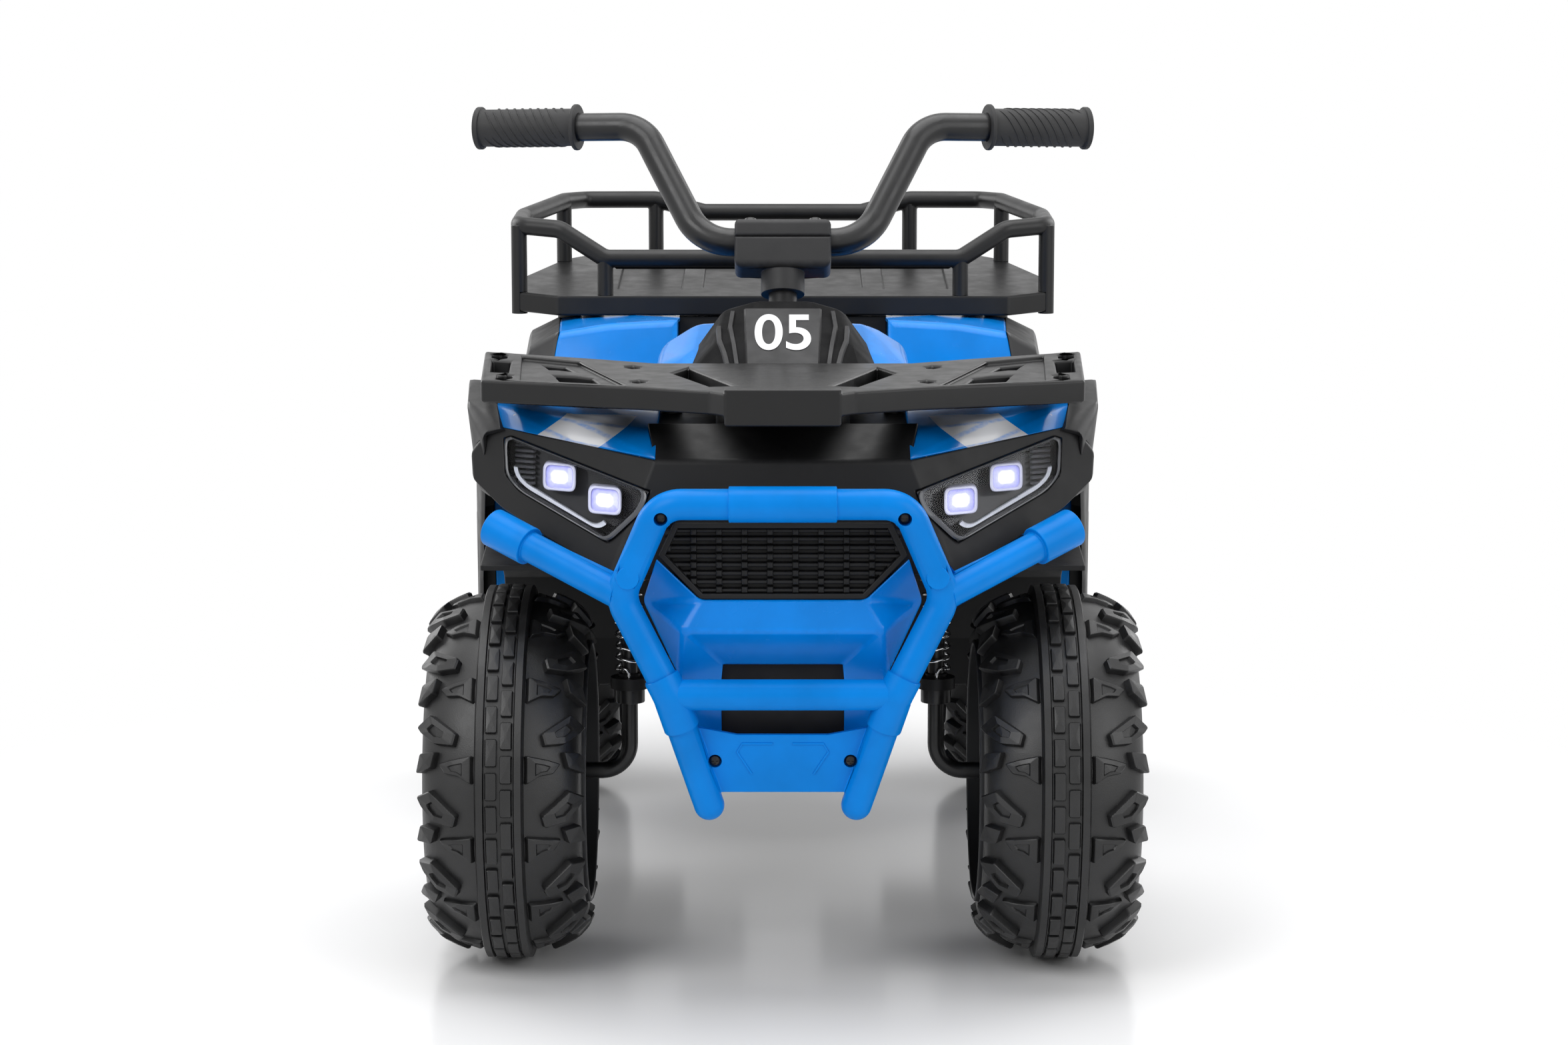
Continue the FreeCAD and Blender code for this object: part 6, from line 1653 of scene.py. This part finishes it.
@dataclass
class Bodywork(SubAssembly):
    """Tank cover, cowl, fenders and their flares."""

    mouldings: tuple[Moulding, ...] = (
        Moulding("tank_cover", BLUE, SOFT_SHELL), Moulding("tank_cowl", SHADED_MATT_BLACK, SHELL),
        Moulding("front_fenders", FENDER_BLUE, SHELL), Moulding("front_flares", GREY_BLACK, SOFT_SHELL),
        Moulding("rear_fenders", BLUE, SOFT_SHELL), Moulding("rear_flares", GREY_BLACK, SOFT_SHELL))
    number: str = "05"
    number_width: float = 49 * MM
    number_height: float = 31 * MM
    number_middle: Vector = field(default_factory=lambda: Vector((0, -218, 528)) * MM)
    number_way: Vector = field(default_factory=lambda: Vector((0, 1, -0.093)).normalized())
    number_step: float = 2 * MM
    number_swell: float = 0.012
    number_extrude: float = 0.01
    number_merge: float = 1e-5
    number_wall: float = 0.25 * MM
    number_proud: float = 0.7 * MM
    plate_corners: Pairs = ((-35, 20), (-32.5, -34), (32.5, -34), (35, 20))
    plate_out: Vector = field(default_factory=lambda: Vector((0, -0.55, 0.835)))
    plate_sink: float = 1 * MM
    plate_rise: float = 3 * MM
    plate_rings: tuple[float, ...] = (0.93, 0.9, 0.75, 0.6, 0.45, 0.3, 0.15)
    rib_paths: tuple[Pairs, ...] = (
        ((44, 16), (46, 3), (42.5, -13), (39, -34)), ((56, 3), (55, -9), (50.5, -20), (46.5, -34)))
    rib_half: float = 2.8 * MM
    rib_rise: float = 3 * MM
    edge_steps: int = 8
    facet_smooth: float = 24.0
    cowl_room: float = 0.2
    wall_outline: Pairs = ((168, 405), (173, 452), (195, 497), (305, 491), (305, 405))
    wall_inner: float = 105.5 * MM
    wall_thick: float = 3 * MM

    def __post_init__(self) -> None:
        """Makes the cowl ready for what is laid on it."""
        self.cowl = Surface("tank_cowl")

    def inner_walls(self) -> None:
        """Walls that close the rear fenders beside the seat."""
        made = paired(in_metres(self.wall_outline), [(1.0, 0.0), (1.0, self.wall_thick)],
                      lambda sign, y, z, out: Vector((sign * (self.wall_inner + out), y, z)))
        lay("rear_fender_walls", made, "rear_fenders", BLUE)

    def on_cowl(self, across: float, up: float) -> Vector:
        """Point of the cowl behind a place on the number's own plane."""
        spot = self.number_middle + ACROSS * across + ACROSS.cross(self.number_way) * up
        return self.cowl.met(spot - self.number_way * self.cowl_room, self.number_way)[0]

    def divided(self, corners: Pairs) -> Outline:
        """Divides a line into even steps.

        Args:
            corners: Corners of the line, in millimetres.

        Returns:
            Points along it, in metres.
        """
        points = []
        for start, end in zip(corners, corners[1:]):
            for step in range(self.edge_steps):
                points.append(tuple(Vector(start).lerp(Vector(end), step / self.edge_steps) * MM))
        return points

    def facets(self) -> None:
        """Raised number plate on the cowl, with two bent ribs on each side, in a paler black than the cowl
        as a painted highlight.
        """
        outline = self.divided(self.plate_corners + self.plate_corners[:1])
        levels = [(1.0, -self.plate_sink)] + [(share, self.plate_rise) for share in self.plate_rings]
        plate = pad_shape(outline, levels, lambda x, z, out: self.on_cowl(x, z) + self.plate_out * out)
        made = [mesh_of(plate, "plate")]
        for side in Side:
            for path in self.rib_paths:
                run = [self.on_cowl(side.value * across, up) for across, up in self.divided(path)]
                made.append(ridge(run, self.plate_out, self.rib_half, self.rib_rise))
        # Facets in a paler black than the cowl: painted highlight on the raised faces, painted shade in the
        # recesses.
        lay("cowl_facets", made, "tank_cowl", PALE_LIT_BLACK, self.facet_smooth)

    def printed(self) -> Shape:
        """Flat number of the right size, cut into a fine grid.

        Returns:
            The working shape.
        """
        words = bpy.data.curves.new("number", "FONT")
        words.body = self.number
        words.align_x = "CENTER"
        words.offset = self.number_swell
        words.extrude = self.number_extrude
        mesh = frozen(linked("number", words))
        shape = bmesh.new()
        shape.from_mesh(mesh)
        bpy.data.meshes.remove(mesh)
        bmesh.ops.remove_doubles(shape, verts=shape.verts, dist=self.number_merge)
        points = np.array([point.co for point in shape.verts])
        middle, reach = (points.max(0) + points.min(0)) / 2, points.max(0) - points.min(0)
        for point in shape.verts:
            point.co.x = (point.co.x - middle[0]) / reach[0] * self.number_width
            point.co.y = (point.co.y - middle[1]) / reach[1] * self.number_height
            point.co.z = self.number_wall if point.co.z > 0 else -self.number_wall
        for normal, size in ((ACROSS, self.number_width), (-AHEAD, self.number_height)):
            for step in range(1, int(size / self.number_step)):
                bmesh.ops.bisect_plane(shape, geom=shape.verts[:] + shape.edges[:] + shape.faces[:],
                                       plane_co=normal * (step * self.number_step - size / 2),
                                       plane_no=normal)
        return shape

    def detail(self) -> None:
        """Adds the fenders' walls and the cowl's facets, and lays a plain number on its plate."""
        self.inner_walls()
        self.facets()
        shape = self.printed()
        lift = self.plate_out * self.plate_rise
        lower = lift.dot(ACROSS.cross(self.number_way))
        for point in shape.verts:
            under = self.on_cowl(point.co.x, point.co.y - lower)
            point.co = under + lift - self.number_way * (self.number_proud + point.co.z)
        bmesh.ops.recalc_face_normals(shape, faces=shape.faces)
        place("cowl_number", mesh_of(shape, "number"), body_of("tank_cowl"), WHITE_PRINT)


@dataclass
class Racks(SubAssembly):
    """Front rack plate, rear tray and its rail."""

    mouldings: tuple[Moulding, ...] = (
        Moulding("front_rack", RACK_BLACK, Rounding(crease=2.5 * MM, rim=2.5 * MM, fold_from=12.0)),
        Moulding("rear_rack_tray", RACK_BLACK, Rounding(crease=2.5 * MM, rim=2.5 * MM, fold_from=20.0)),
        Moulding("rear_rack_rail", RACK_BLACK, TUBE))


@dataclass
class Steering(SubAssembly):
    """Handlebar with its grips, clamp, column and tie rods."""

    mouldings: tuple[Moulding, ...] = (
        Moulding("handlebar", PAINTED, TUBE), Moulding("handlebar_grips", GRIP, TUBE),
        Moulding("clamp_base", PALE_LIT_BLACK, CLAMP), Moulding("clamp_cap", PALE_LIT_BLACK, CLAMP),
        Moulding("clamp_bolts", PAINTED, SMALL), Moulding("steering_column", BLACK, TUBE),
        Moulding("steering_bushes", NYLON, SMALL), Moulding("left_tie_rod", PAINTED, SMALL),
        Moulding("right_tie_rod", PAINTED, SMALL))
    rib_count: int = 9
    rib_half: float = 0.9 * MM
    rib_rise: float = 0.9 * MM
    rib_reach: float = math.radians(52)
    rib_slant: float = 9 * MM
    rib_steps: int = 10
    rib_sink: float = 0.6 * MM
    ribbed_share: float = 0.62
    core_margin: float = 1.2

    def grip_rib(self, radius: float, facing: float) -> Mesh:
        """Slanted rib that hugs a grip.

        Args:
            radius: Radius of the grip.
            facing: Angle about the grip of the rib's middle.

        Returns:
            The rib, round the Z axis.
        """
        rings = []
        for step in range(self.rib_steps + 1):
            share = step / self.rib_steps * 2 - 1
            angle = facing + share * self.rib_reach
            along = share * self.rib_slant
            way = Vector((math.cos(angle), math.sin(angle), 0))
            foot = way * (radius - self.rib_sink)
            top = way * (radius + self.rib_rise * math.sqrt(max(0.0, 1 - share ** 4)))
            rings.append([foot + UP * (along - self.rib_half), top + UP * (along - self.rib_half * 0.5),
                          top + UP * (along + self.rib_half * 0.5), foot + UP * (along + self.rib_half)])
        return mesh_of(stacked(rings), "grip_rib")

    def detail(self) -> None:
        """Adds slanted ribs round the middle of each grip."""
        made = []
        for solid in solids_of("handlebar_grips"):
            middle, axis, along, away = measured(solid)
            if axis[0] * middle[0] <= 0:
                axis, along = -axis, -along
            radius = float(away[away > away.min() * self.core_margin].min())
            length = float(np.ptp(along)) * self.ribbed_share
            way = Vector(axis)
            centre = Vector(middle) + way * float(along.min() + along.max()) / 2
            spots = [(centre + way * length * (index / (self.rib_count - 1) - 0.5), way)
                     for index in range(self.rib_count)]
            for quarter in range(4):
                made.append(dotted(spots, self.grip_rib(radius, quarter * math.pi / 2), GRIP))
        lay("grip_ribs", made, "handlebar_grips", GRIP)


@dataclass
class FrontAxle(SubAssembly):
    """Spindles, springs, their seats and the front axle nuts."""

    mouldings: tuple[Moulding, ...] = tuple(
        Moulding(side + part, finish, SMALL) for side in ("left", "right") for part, finish in (
            ("_spindle", PAINTED), ("_spring_seat", BLACK), ("_axle_nut", ZINC))
    ) + tuple(Spring(side + "_front_spring", CHROME, TUBE, joint=side + "_suspension", held_height=327 * MM)
              for side in ("left", "right"))


@dataclass
class RearDrive(SubAssembly):
    """Motors, gearboxes, gears, rear axle and its plates."""

    mouldings: tuple[Moulding, ...] = (
        Moulding("gearbox_cases", BLACK, BLOCK), Moulding("drive_motors", MOTOR, SMALL),
        Moulding("left_drive_gear", NYLON, SMALL), Moulding("right_drive_gear", NYLON, SMALL),
        Moulding("left_motor_pinion", ZINC, SMALL), Moulding("right_motor_pinion", ZINC, SMALL),
        Moulding("rear_axle", ZINC, SMALL), Moulding("rear_axle_nuts", ZINC, SMALL),
        Moulding("axle_plates", PAINTED, SMALL))


@dataclass
class Controls(SubAssembly):
    """Dash with its button and rocker, and the foot pedal."""

    mouldings: tuple[Moulding, ...] = (
        Moulding("dash_panel", BLACK, Rounding(crease=2 * MM, rim=2 * MM, fold_from=20.0)),
        Moulding("power_button", BUTTON, SMALL), Moulding("direction_rocker", SWITCH, SMALL),
        Moulding("foot_pedal", BLACK, BLOCK),
        Spring("pedal_spring", ZINC, SMALL, joint="pedal_press", held_height=193.8 * MM, travel=8.7 * MM))
    tread_length: float = 42 * MM
    tread_width: float = 4 * MM
    tread_rise: float = 0.9 * MM
    tread_places: tuple[float, ...] = (-32, -20, -8, 4, 16)

    def detail(self) -> None:
        """Adds grip bars to the pedal's tread."""
        pedal = Surface("foot_pedal")
        low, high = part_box("foot_pedal")
        spots = [pedal.met(Vector(((low.x + high.x) / 2, along * MM, CAST_FROM)), -UP)
                 for along in self.tread_places]
        bar = bar_shape(self.tread_length, self.tread_width, self.tread_rise)
        lay("pedal_tread_bars", [dotted(spots, bar, BLACK)], "foot_pedal", BLACK)


@dataclass
class Chassis(SubAssembly):
    """Tub, battery and screws."""

    mouldings: tuple[Moulding, ...] = (
        Moulding("chassis_tub", BLACK, Rounding(crease=1.3 * MM, rim=1.3 * MM, fold_from=12.0, segments=2)),
        Moulding("battery", BATTERY, BLOCK), Moulding("body_screws", PAINTED, SMALL))
    board_length: float = 118 * MM
    board_bar: float = 4 * MM
    board_rise: float = 1.0 * MM
    board_middle: float = 187 * MM
    board_rows: tuple[float, ...] = tuple(range(-88, 144, 14))
    board_cast: float = 240 * MM
    pedal_middle: float = 4 * MM
    pedal_gap: float = 52 * MM
    recess_arm: float = 0.62
    recess_slot: float = 0.17
    head_points: int = 48
    end_percent: int = 25

    def head(self, radius: float) -> Mesh:
        """Domed screw head with a cross recess, standing on the Z plane.

        Args:
            radius: Radius of the head.

        Returns:
            The head's mesh.
        """
        def cross(angle: float) -> float:
            """Radius of the recess at an angle."""
            wide, thin = sorted((abs(math.cos(angle)), abs(math.sin(angle))), reverse=True)
            return radius * min(self.recess_arm / wide, self.recess_slot / max(thin, TINY))

        def disc(share: float) -> Callable[[float], float]:
            """Radius of a round ring, at any angle."""
            return lambda angle: radius * share

        levels = [(disc(1.0), -0.2), (disc(1.0), 0.05), (disc(0.9), 0.2), (disc(0.72), 0.27), (cross, 0.3),
                  (cross, 0.02)]
        rings = [ring_points(reach, up * radius, self.head_points) for reach, up in levels]
        return mesh_of(stacked(rings), "head")

    def footboards(self) -> None:
        """Grip bars across both footboards, left out under the pedal."""
        tub = Surface("chassis_tub")
        spots = []
        for side in Side:
            for along in self.board_rows:
                if side is Side.RIGHT and abs(along * MM - self.pedal_middle) < self.pedal_gap:
                    continue
                start = Vector((side.value * self.board_middle, along * MM, self.board_cast))
                spots.append(tub.met(start, -UP))
        bar = bar_shape(self.board_length, self.board_bar, self.board_rise)
        lay("footboard_bars", [dotted(spots, bar, BLACK)], "chassis_tub", BLACK)

    def detail(self) -> None:
        """Adds the footboards' bars and caps each screw with a domed head."""
        self.footboards()
        spots, radius = [], 0.0
        for solid in solids_of("body_screws"):
            middle, axis, along, away = measured(solid)
            far_end = away[along > np.percentile(along, 100 - self.end_percent)].max()
            near_end = away[along < np.percentile(along, self.end_percent)].max()
            if far_end < near_end:
                axis, along = -axis, -along
            spots.append((Vector(middle + axis * along.max()), Vector(axis)))
            radius = float(away.max())
        lay("screw_heads", [dotted(spots, self.head(radius), PAINTED)], "body_screws", PAINTED)


@dataclass
class Seat(SubAssembly):
    """Moulded seat base with a stuffed, stitched pad."""

    mouldings: tuple[Moulding, ...] = (Moulding("seat_base", BLACK, BLOCK),)
    voxel: float = 4.5 * MM
    start_share: float = 0.97
    pressure: float = 4.0
    frames: int = 20
    cap: float = 7 * MM
    channel_places: tuple[float, ...] = (0.14, 0.36, 0.64, 0.86)
    channel_depth: float = 4 * MM
    channel_width: float = 5 * MM
    stitch: float = 6 * MM
    stitch_half: tuple[float, float] = (2 * MM, 0.5 * MM)
    stitch_levels: Pairs = ((1.0, -0.5), (1.0, 0.1), (0.6, 0.5))
    seam_steps: int = 40
    seam_share: float = 0.8
    thread_lift: float = 0.2 * MM
    held_height: float = 4 * MM
    foot_lift: float = 0.2 * MM

    def shell(self) -> Mesh:
        """Evenly meshed start of the pad, a little small.

        Returns:
            The start's mesh.
        """
        shape = merged("seat_pad")
        low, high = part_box("seat_pad")
        middle = Vector(((low.x + high.x) / 2, (low.y + high.y) / 2, low.z))
        for point in shape.verts:
            point.co = middle + (point.co - middle) * self.start_share
        remesh = {"mode": "VOXEL", "voxel_size": self.voxel}
        return evaluated(mesh_of(shape, "pad_start"), ("REMESH", remesh))

    def swollen(self, mesh: Mesh) -> Mesh:
        """Blows the pad up as cloth and keeps it where its foot is held.

        Args:
            mesh: The pad's start, which is changed.

        Returns:
            The swollen pad.
        """
        start = np.array([point.co for point in mesh.vertices])
        carrier = linked("pad", mesh)
        held = carrier.vertex_groups.new(name="held")
        foot = start[:, 2].min() + self.held_height
        held.add([int(index) for index in np.nonzero(start[:, 2] < foot)[0]], 1.0, "REPLACE")
        cloth = carrier.modifiers.new("cloth", "CLOTH")
        cloth.settings.use_pressure = True
        cloth.settings.uniform_pressure_force = self.pressure
        cloth.settings.vertex_group_mass = "held"
        cloth.settings.effector_weights.gravity = 0.0
        cloth.point_cache.frame_end = self.frames
        for step in range(1, self.frames + 1):
            bpy.context.scene.frame_set(step)
        shown = carrier.evaluated_get(bpy.context.evaluated_depsgraph_get()).data
        moved = np.array([point.co for point in shown.vertices]) - start
        far = np.linalg.norm(moved, axis=1)
        moved *= np.minimum(1.0, self.cap / np.maximum(far, TINY))[:, None]
        bpy.context.scene.frame_set(1)
        carrier.modifiers.remove(cloth)
        bpy.data.objects.remove(carrier)
        mesh.vertices.foreach_set("co", (start + moved).astype(np.float32).ravel())
        return mesh

    def sewn(self, mesh: Mesh) -> None:
        """Presses the sewn channels into the top of the pad.

        Args:
            mesh: The pad's mesh, which is changed.
        """
        low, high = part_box("seat_pad")
        for point in mesh.vertices:
            share = max(0.0, min(1.0, (point.co.z - low.z) / (high.z - low.z)))
            for along in self.channel_places:
                off = (point.co.y - low.y - along * (high.y - low.y)) / self.channel_width
                point.co.z -= self.channel_depth * share * math.exp(-off * off)
            point.co.z = max(point.co.z, low.z + self.foot_lift)

    def stitches(self, pad: Piece) -> Mesh:
        """Stitches on both sides of each channel.

        Args:
            pad: The finished pad, which the thread lies on.

        Returns:
            The thread's mesh.
        """
        low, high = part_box("seat_pad")
        outline = rounded(rectangle(*self.stitch_half), self.stitch_half[1], 2)
        made = []
        for along in self.channel_places:
            for shift in (-self.channel_width, self.channel_width):
                run = []
                for step in range(-self.seam_steps, self.seam_steps + 1):
                    spot = Vector((step / self.seam_steps * high.x * self.seam_share,
                                   low.y + along * (high.y - low.y) + shift, CAST_FROM))
                    hit, where, _, _ = pad.ray_cast(spot, -UP)
                    if hit:
                        run.append(where + UP * self.thread_lift)
                thread = mesh_of(pad_shape(outline, raised(self.stitch_levels)), "stitch")
                made.append(repeated(Pattern.PATH, path_mesh(run), THREAD, thread, Spacing=self.stitch))
        return joined(made, "thread")

    def detail(self) -> None:
        """Makes the pad, its channels and its thread."""
        mesh = self.shell()
        mesh = self.swollen(mesh)
        mesh = evaluated(mesh, ("SMOOTH", {"iterations": 4, "factor": 0.5}),
                         ("SUBSURF", {"levels": 1, "render_levels": 1}))
        self.sewn(mesh)
        mesh.shade_smooth()
        pad = place("seat_pad_stuffed", mesh, body_of("seat_pad"), VINYL, ("seat_pad",))
        bpy.context.view_layer.update()
        place("seat_thread", self.stitches(pad), body_of("seat_pad"), THREAD)


@dataclass(frozen=True)
class Lamp:
    """A soft square lamp: its place, the length of its side and its power in watts."""

    name: str
    spot: tuple[float, float, float]
    size: float
    power: float


@dataclass
class Studio:
    """Pale floor, soft lights and the camera of the photograph's view."""

    lens: float = 82.45
    sensor: float = 36.0
    camera_spot: tuple[float, float, float] = (0.0, -3.340115, 0.8303)
    look_down: float = math.radians(8.57)
    picture_width: float = 2352.0
    picture_middle: float = 1174.2
    floor_half: float = 220.0
    shadow_reach: tuple[float, float] = (0.5, 1.0)
    paper_tones: tuple[Colour, Colour] = ((0.86, 0.86, 0.865), (0.88, 0.88, 0.885))
    white: tuple[float, float, float, float] = (1.0, 1.0, 1.0, 1.0)
    sky_light: float = 0.4
    aim_height: float = 0.36
    lights: tuple[Lamp, ...] = (
        Lamp("key", (-1.9, -2.6, 2.6), 2.0, 58.0), Lamp("fill", (2.4, -2.2, 1.7), 2.2, 32.0),
        Lamp("top", (0.0, 0.1, 3.0), 2.6, 68.0), Lamp("rim_left", (2.4, 1.8, 1.6), 1.6, 30.0),
        Lamp("rim_right", (-2.4, 1.8, 1.6), 1.6, 30.0))

    def paper(self) -> Material:
        """Pale paper that turns white away from the bike.

        Returns:
            The material.
        """
        recipe = Recipe("pale_paper_floor")
        tone = recipe.clouded(recipe.noise(0.4, 2.0), *self.paper_tones)
        paper = recipe.shade(Base_Color=tone, Roughness=0.16, IOR=1.3)
        white = recipe.add("ShaderNodeEmission", order=(self.white, 1.0)).outputs[0]
        far = recipe.add("ShaderNodeVectorMath", {"operation": "LENGTH"}, (recipe.place,)).outputs["Value"]
        away = recipe.add("ShaderNodeMapRange", {"interpolation_type": "SMOOTHSTEP"}, Value=far,
                          From_Min=self.shadow_reach[0], From_Max=self.shadow_reach[1]).outputs[0]
        seen = recipe.maths("MULTIPLY", away, self.shown_rays(recipe))
        return recipe.done(recipe.add("ShaderNodeMixShader", order=(seen, paper, white)).outputs[0])

    def floor(self) -> None:
        """Lays the floor."""
        mesh = bpy.data.meshes.new("floor")
        corners = rectangle(self.floor_half, self.floor_half)
        mesh.from_pydata([(x, y, 0) for x, y in corners], [], [(0, 1, 2, 3)])
        mesh.materials.append(self.paper())
        linked("floor", mesh)

    @staticmethod
    def shown_rays(wiring: Wiring) -> Socket:
        """One for rays that show the background, straight or by a mirror or glass.

        Args:
            wiring: The tree that the nodes go to.

        Returns:
            The value.
        """
        rays = wiring.add("ShaderNodeLightPath").outputs
        mirror = wiring.maths("MAXIMUM", rays["Is Glossy Ray"], rays["Is Transmission Ray"])
        return wiring.maths("MAXIMUM", rays["Is Camera Ray"], mirror)

    def world(self) -> None:
        """White surroundings that light the bike softly."""
        world = bpy.data.worlds.new("white_room")
        bpy.context.scene.world = world
        world.use_nodes = True
        wiring = Wiring(world.node_tree)
        world.node_tree.nodes.clear()
        level = wiring.add("ShaderNodeMapRange", Value=self.shown_rays(wiring), To_Min=self.sky_light,
                           To_Max=1.0).outputs[0]
        sky = wiring.add("ShaderNodeBackground", Color=self.white, Strength=level)
        wiring.add("ShaderNodeOutputWorld", Surface=sky.outputs[0])

    def lamps(self) -> None:
        """Soft square lamps that face the bike."""
        target = UP * self.aim_height
        for light in self.lights:
            lamp = bpy.data.lights.new(light.name, "AREA")
            lamp.size = light.size
            lamp.energy = light.power
            holder = linked(light.name, lamp)
            holder.location = light.spot
            holder.rotation_euler = (target - Vector(light.spot)).to_track_quat("-Z", "Y").to_euler()

    def camera(self) -> None:
        """Camera in front of the bike, a little above it."""
        camera = bpy.data.cameras.new("camera")
        camera.lens = self.lens
        camera.sensor_width = self.sensor
        camera.shift_x = (self.picture_width / 2 - self.picture_middle) / self.picture_width
        holder = linked("camera", camera)
        holder.location = self.camera_spot
        holder.rotation_euler = (math.pi / 2 - self.look_down, 0, 0)
        bpy.context.scene.camera = holder

    def build(self) -> None:
        """Sets the stage."""
        bpy.context.scene.view_settings.view_transform = "Standard"
        self.floor()
        self.world()
        self.lamps()
        self.camera()


def main() -> None:
    """Builds the stage and dresses each sub-assembly."""
    logging.basicConfig(level=logging.INFO, format="%(message)s")
    Studio().build()
    for part in (Wheels, FrontEnd, Headlights, Bodywork, Racks, Steering, FrontAxle, RearDrive, Controls,
                 Chassis, Seat):
        part().dress()


if __name__ == "__main__":
    main()
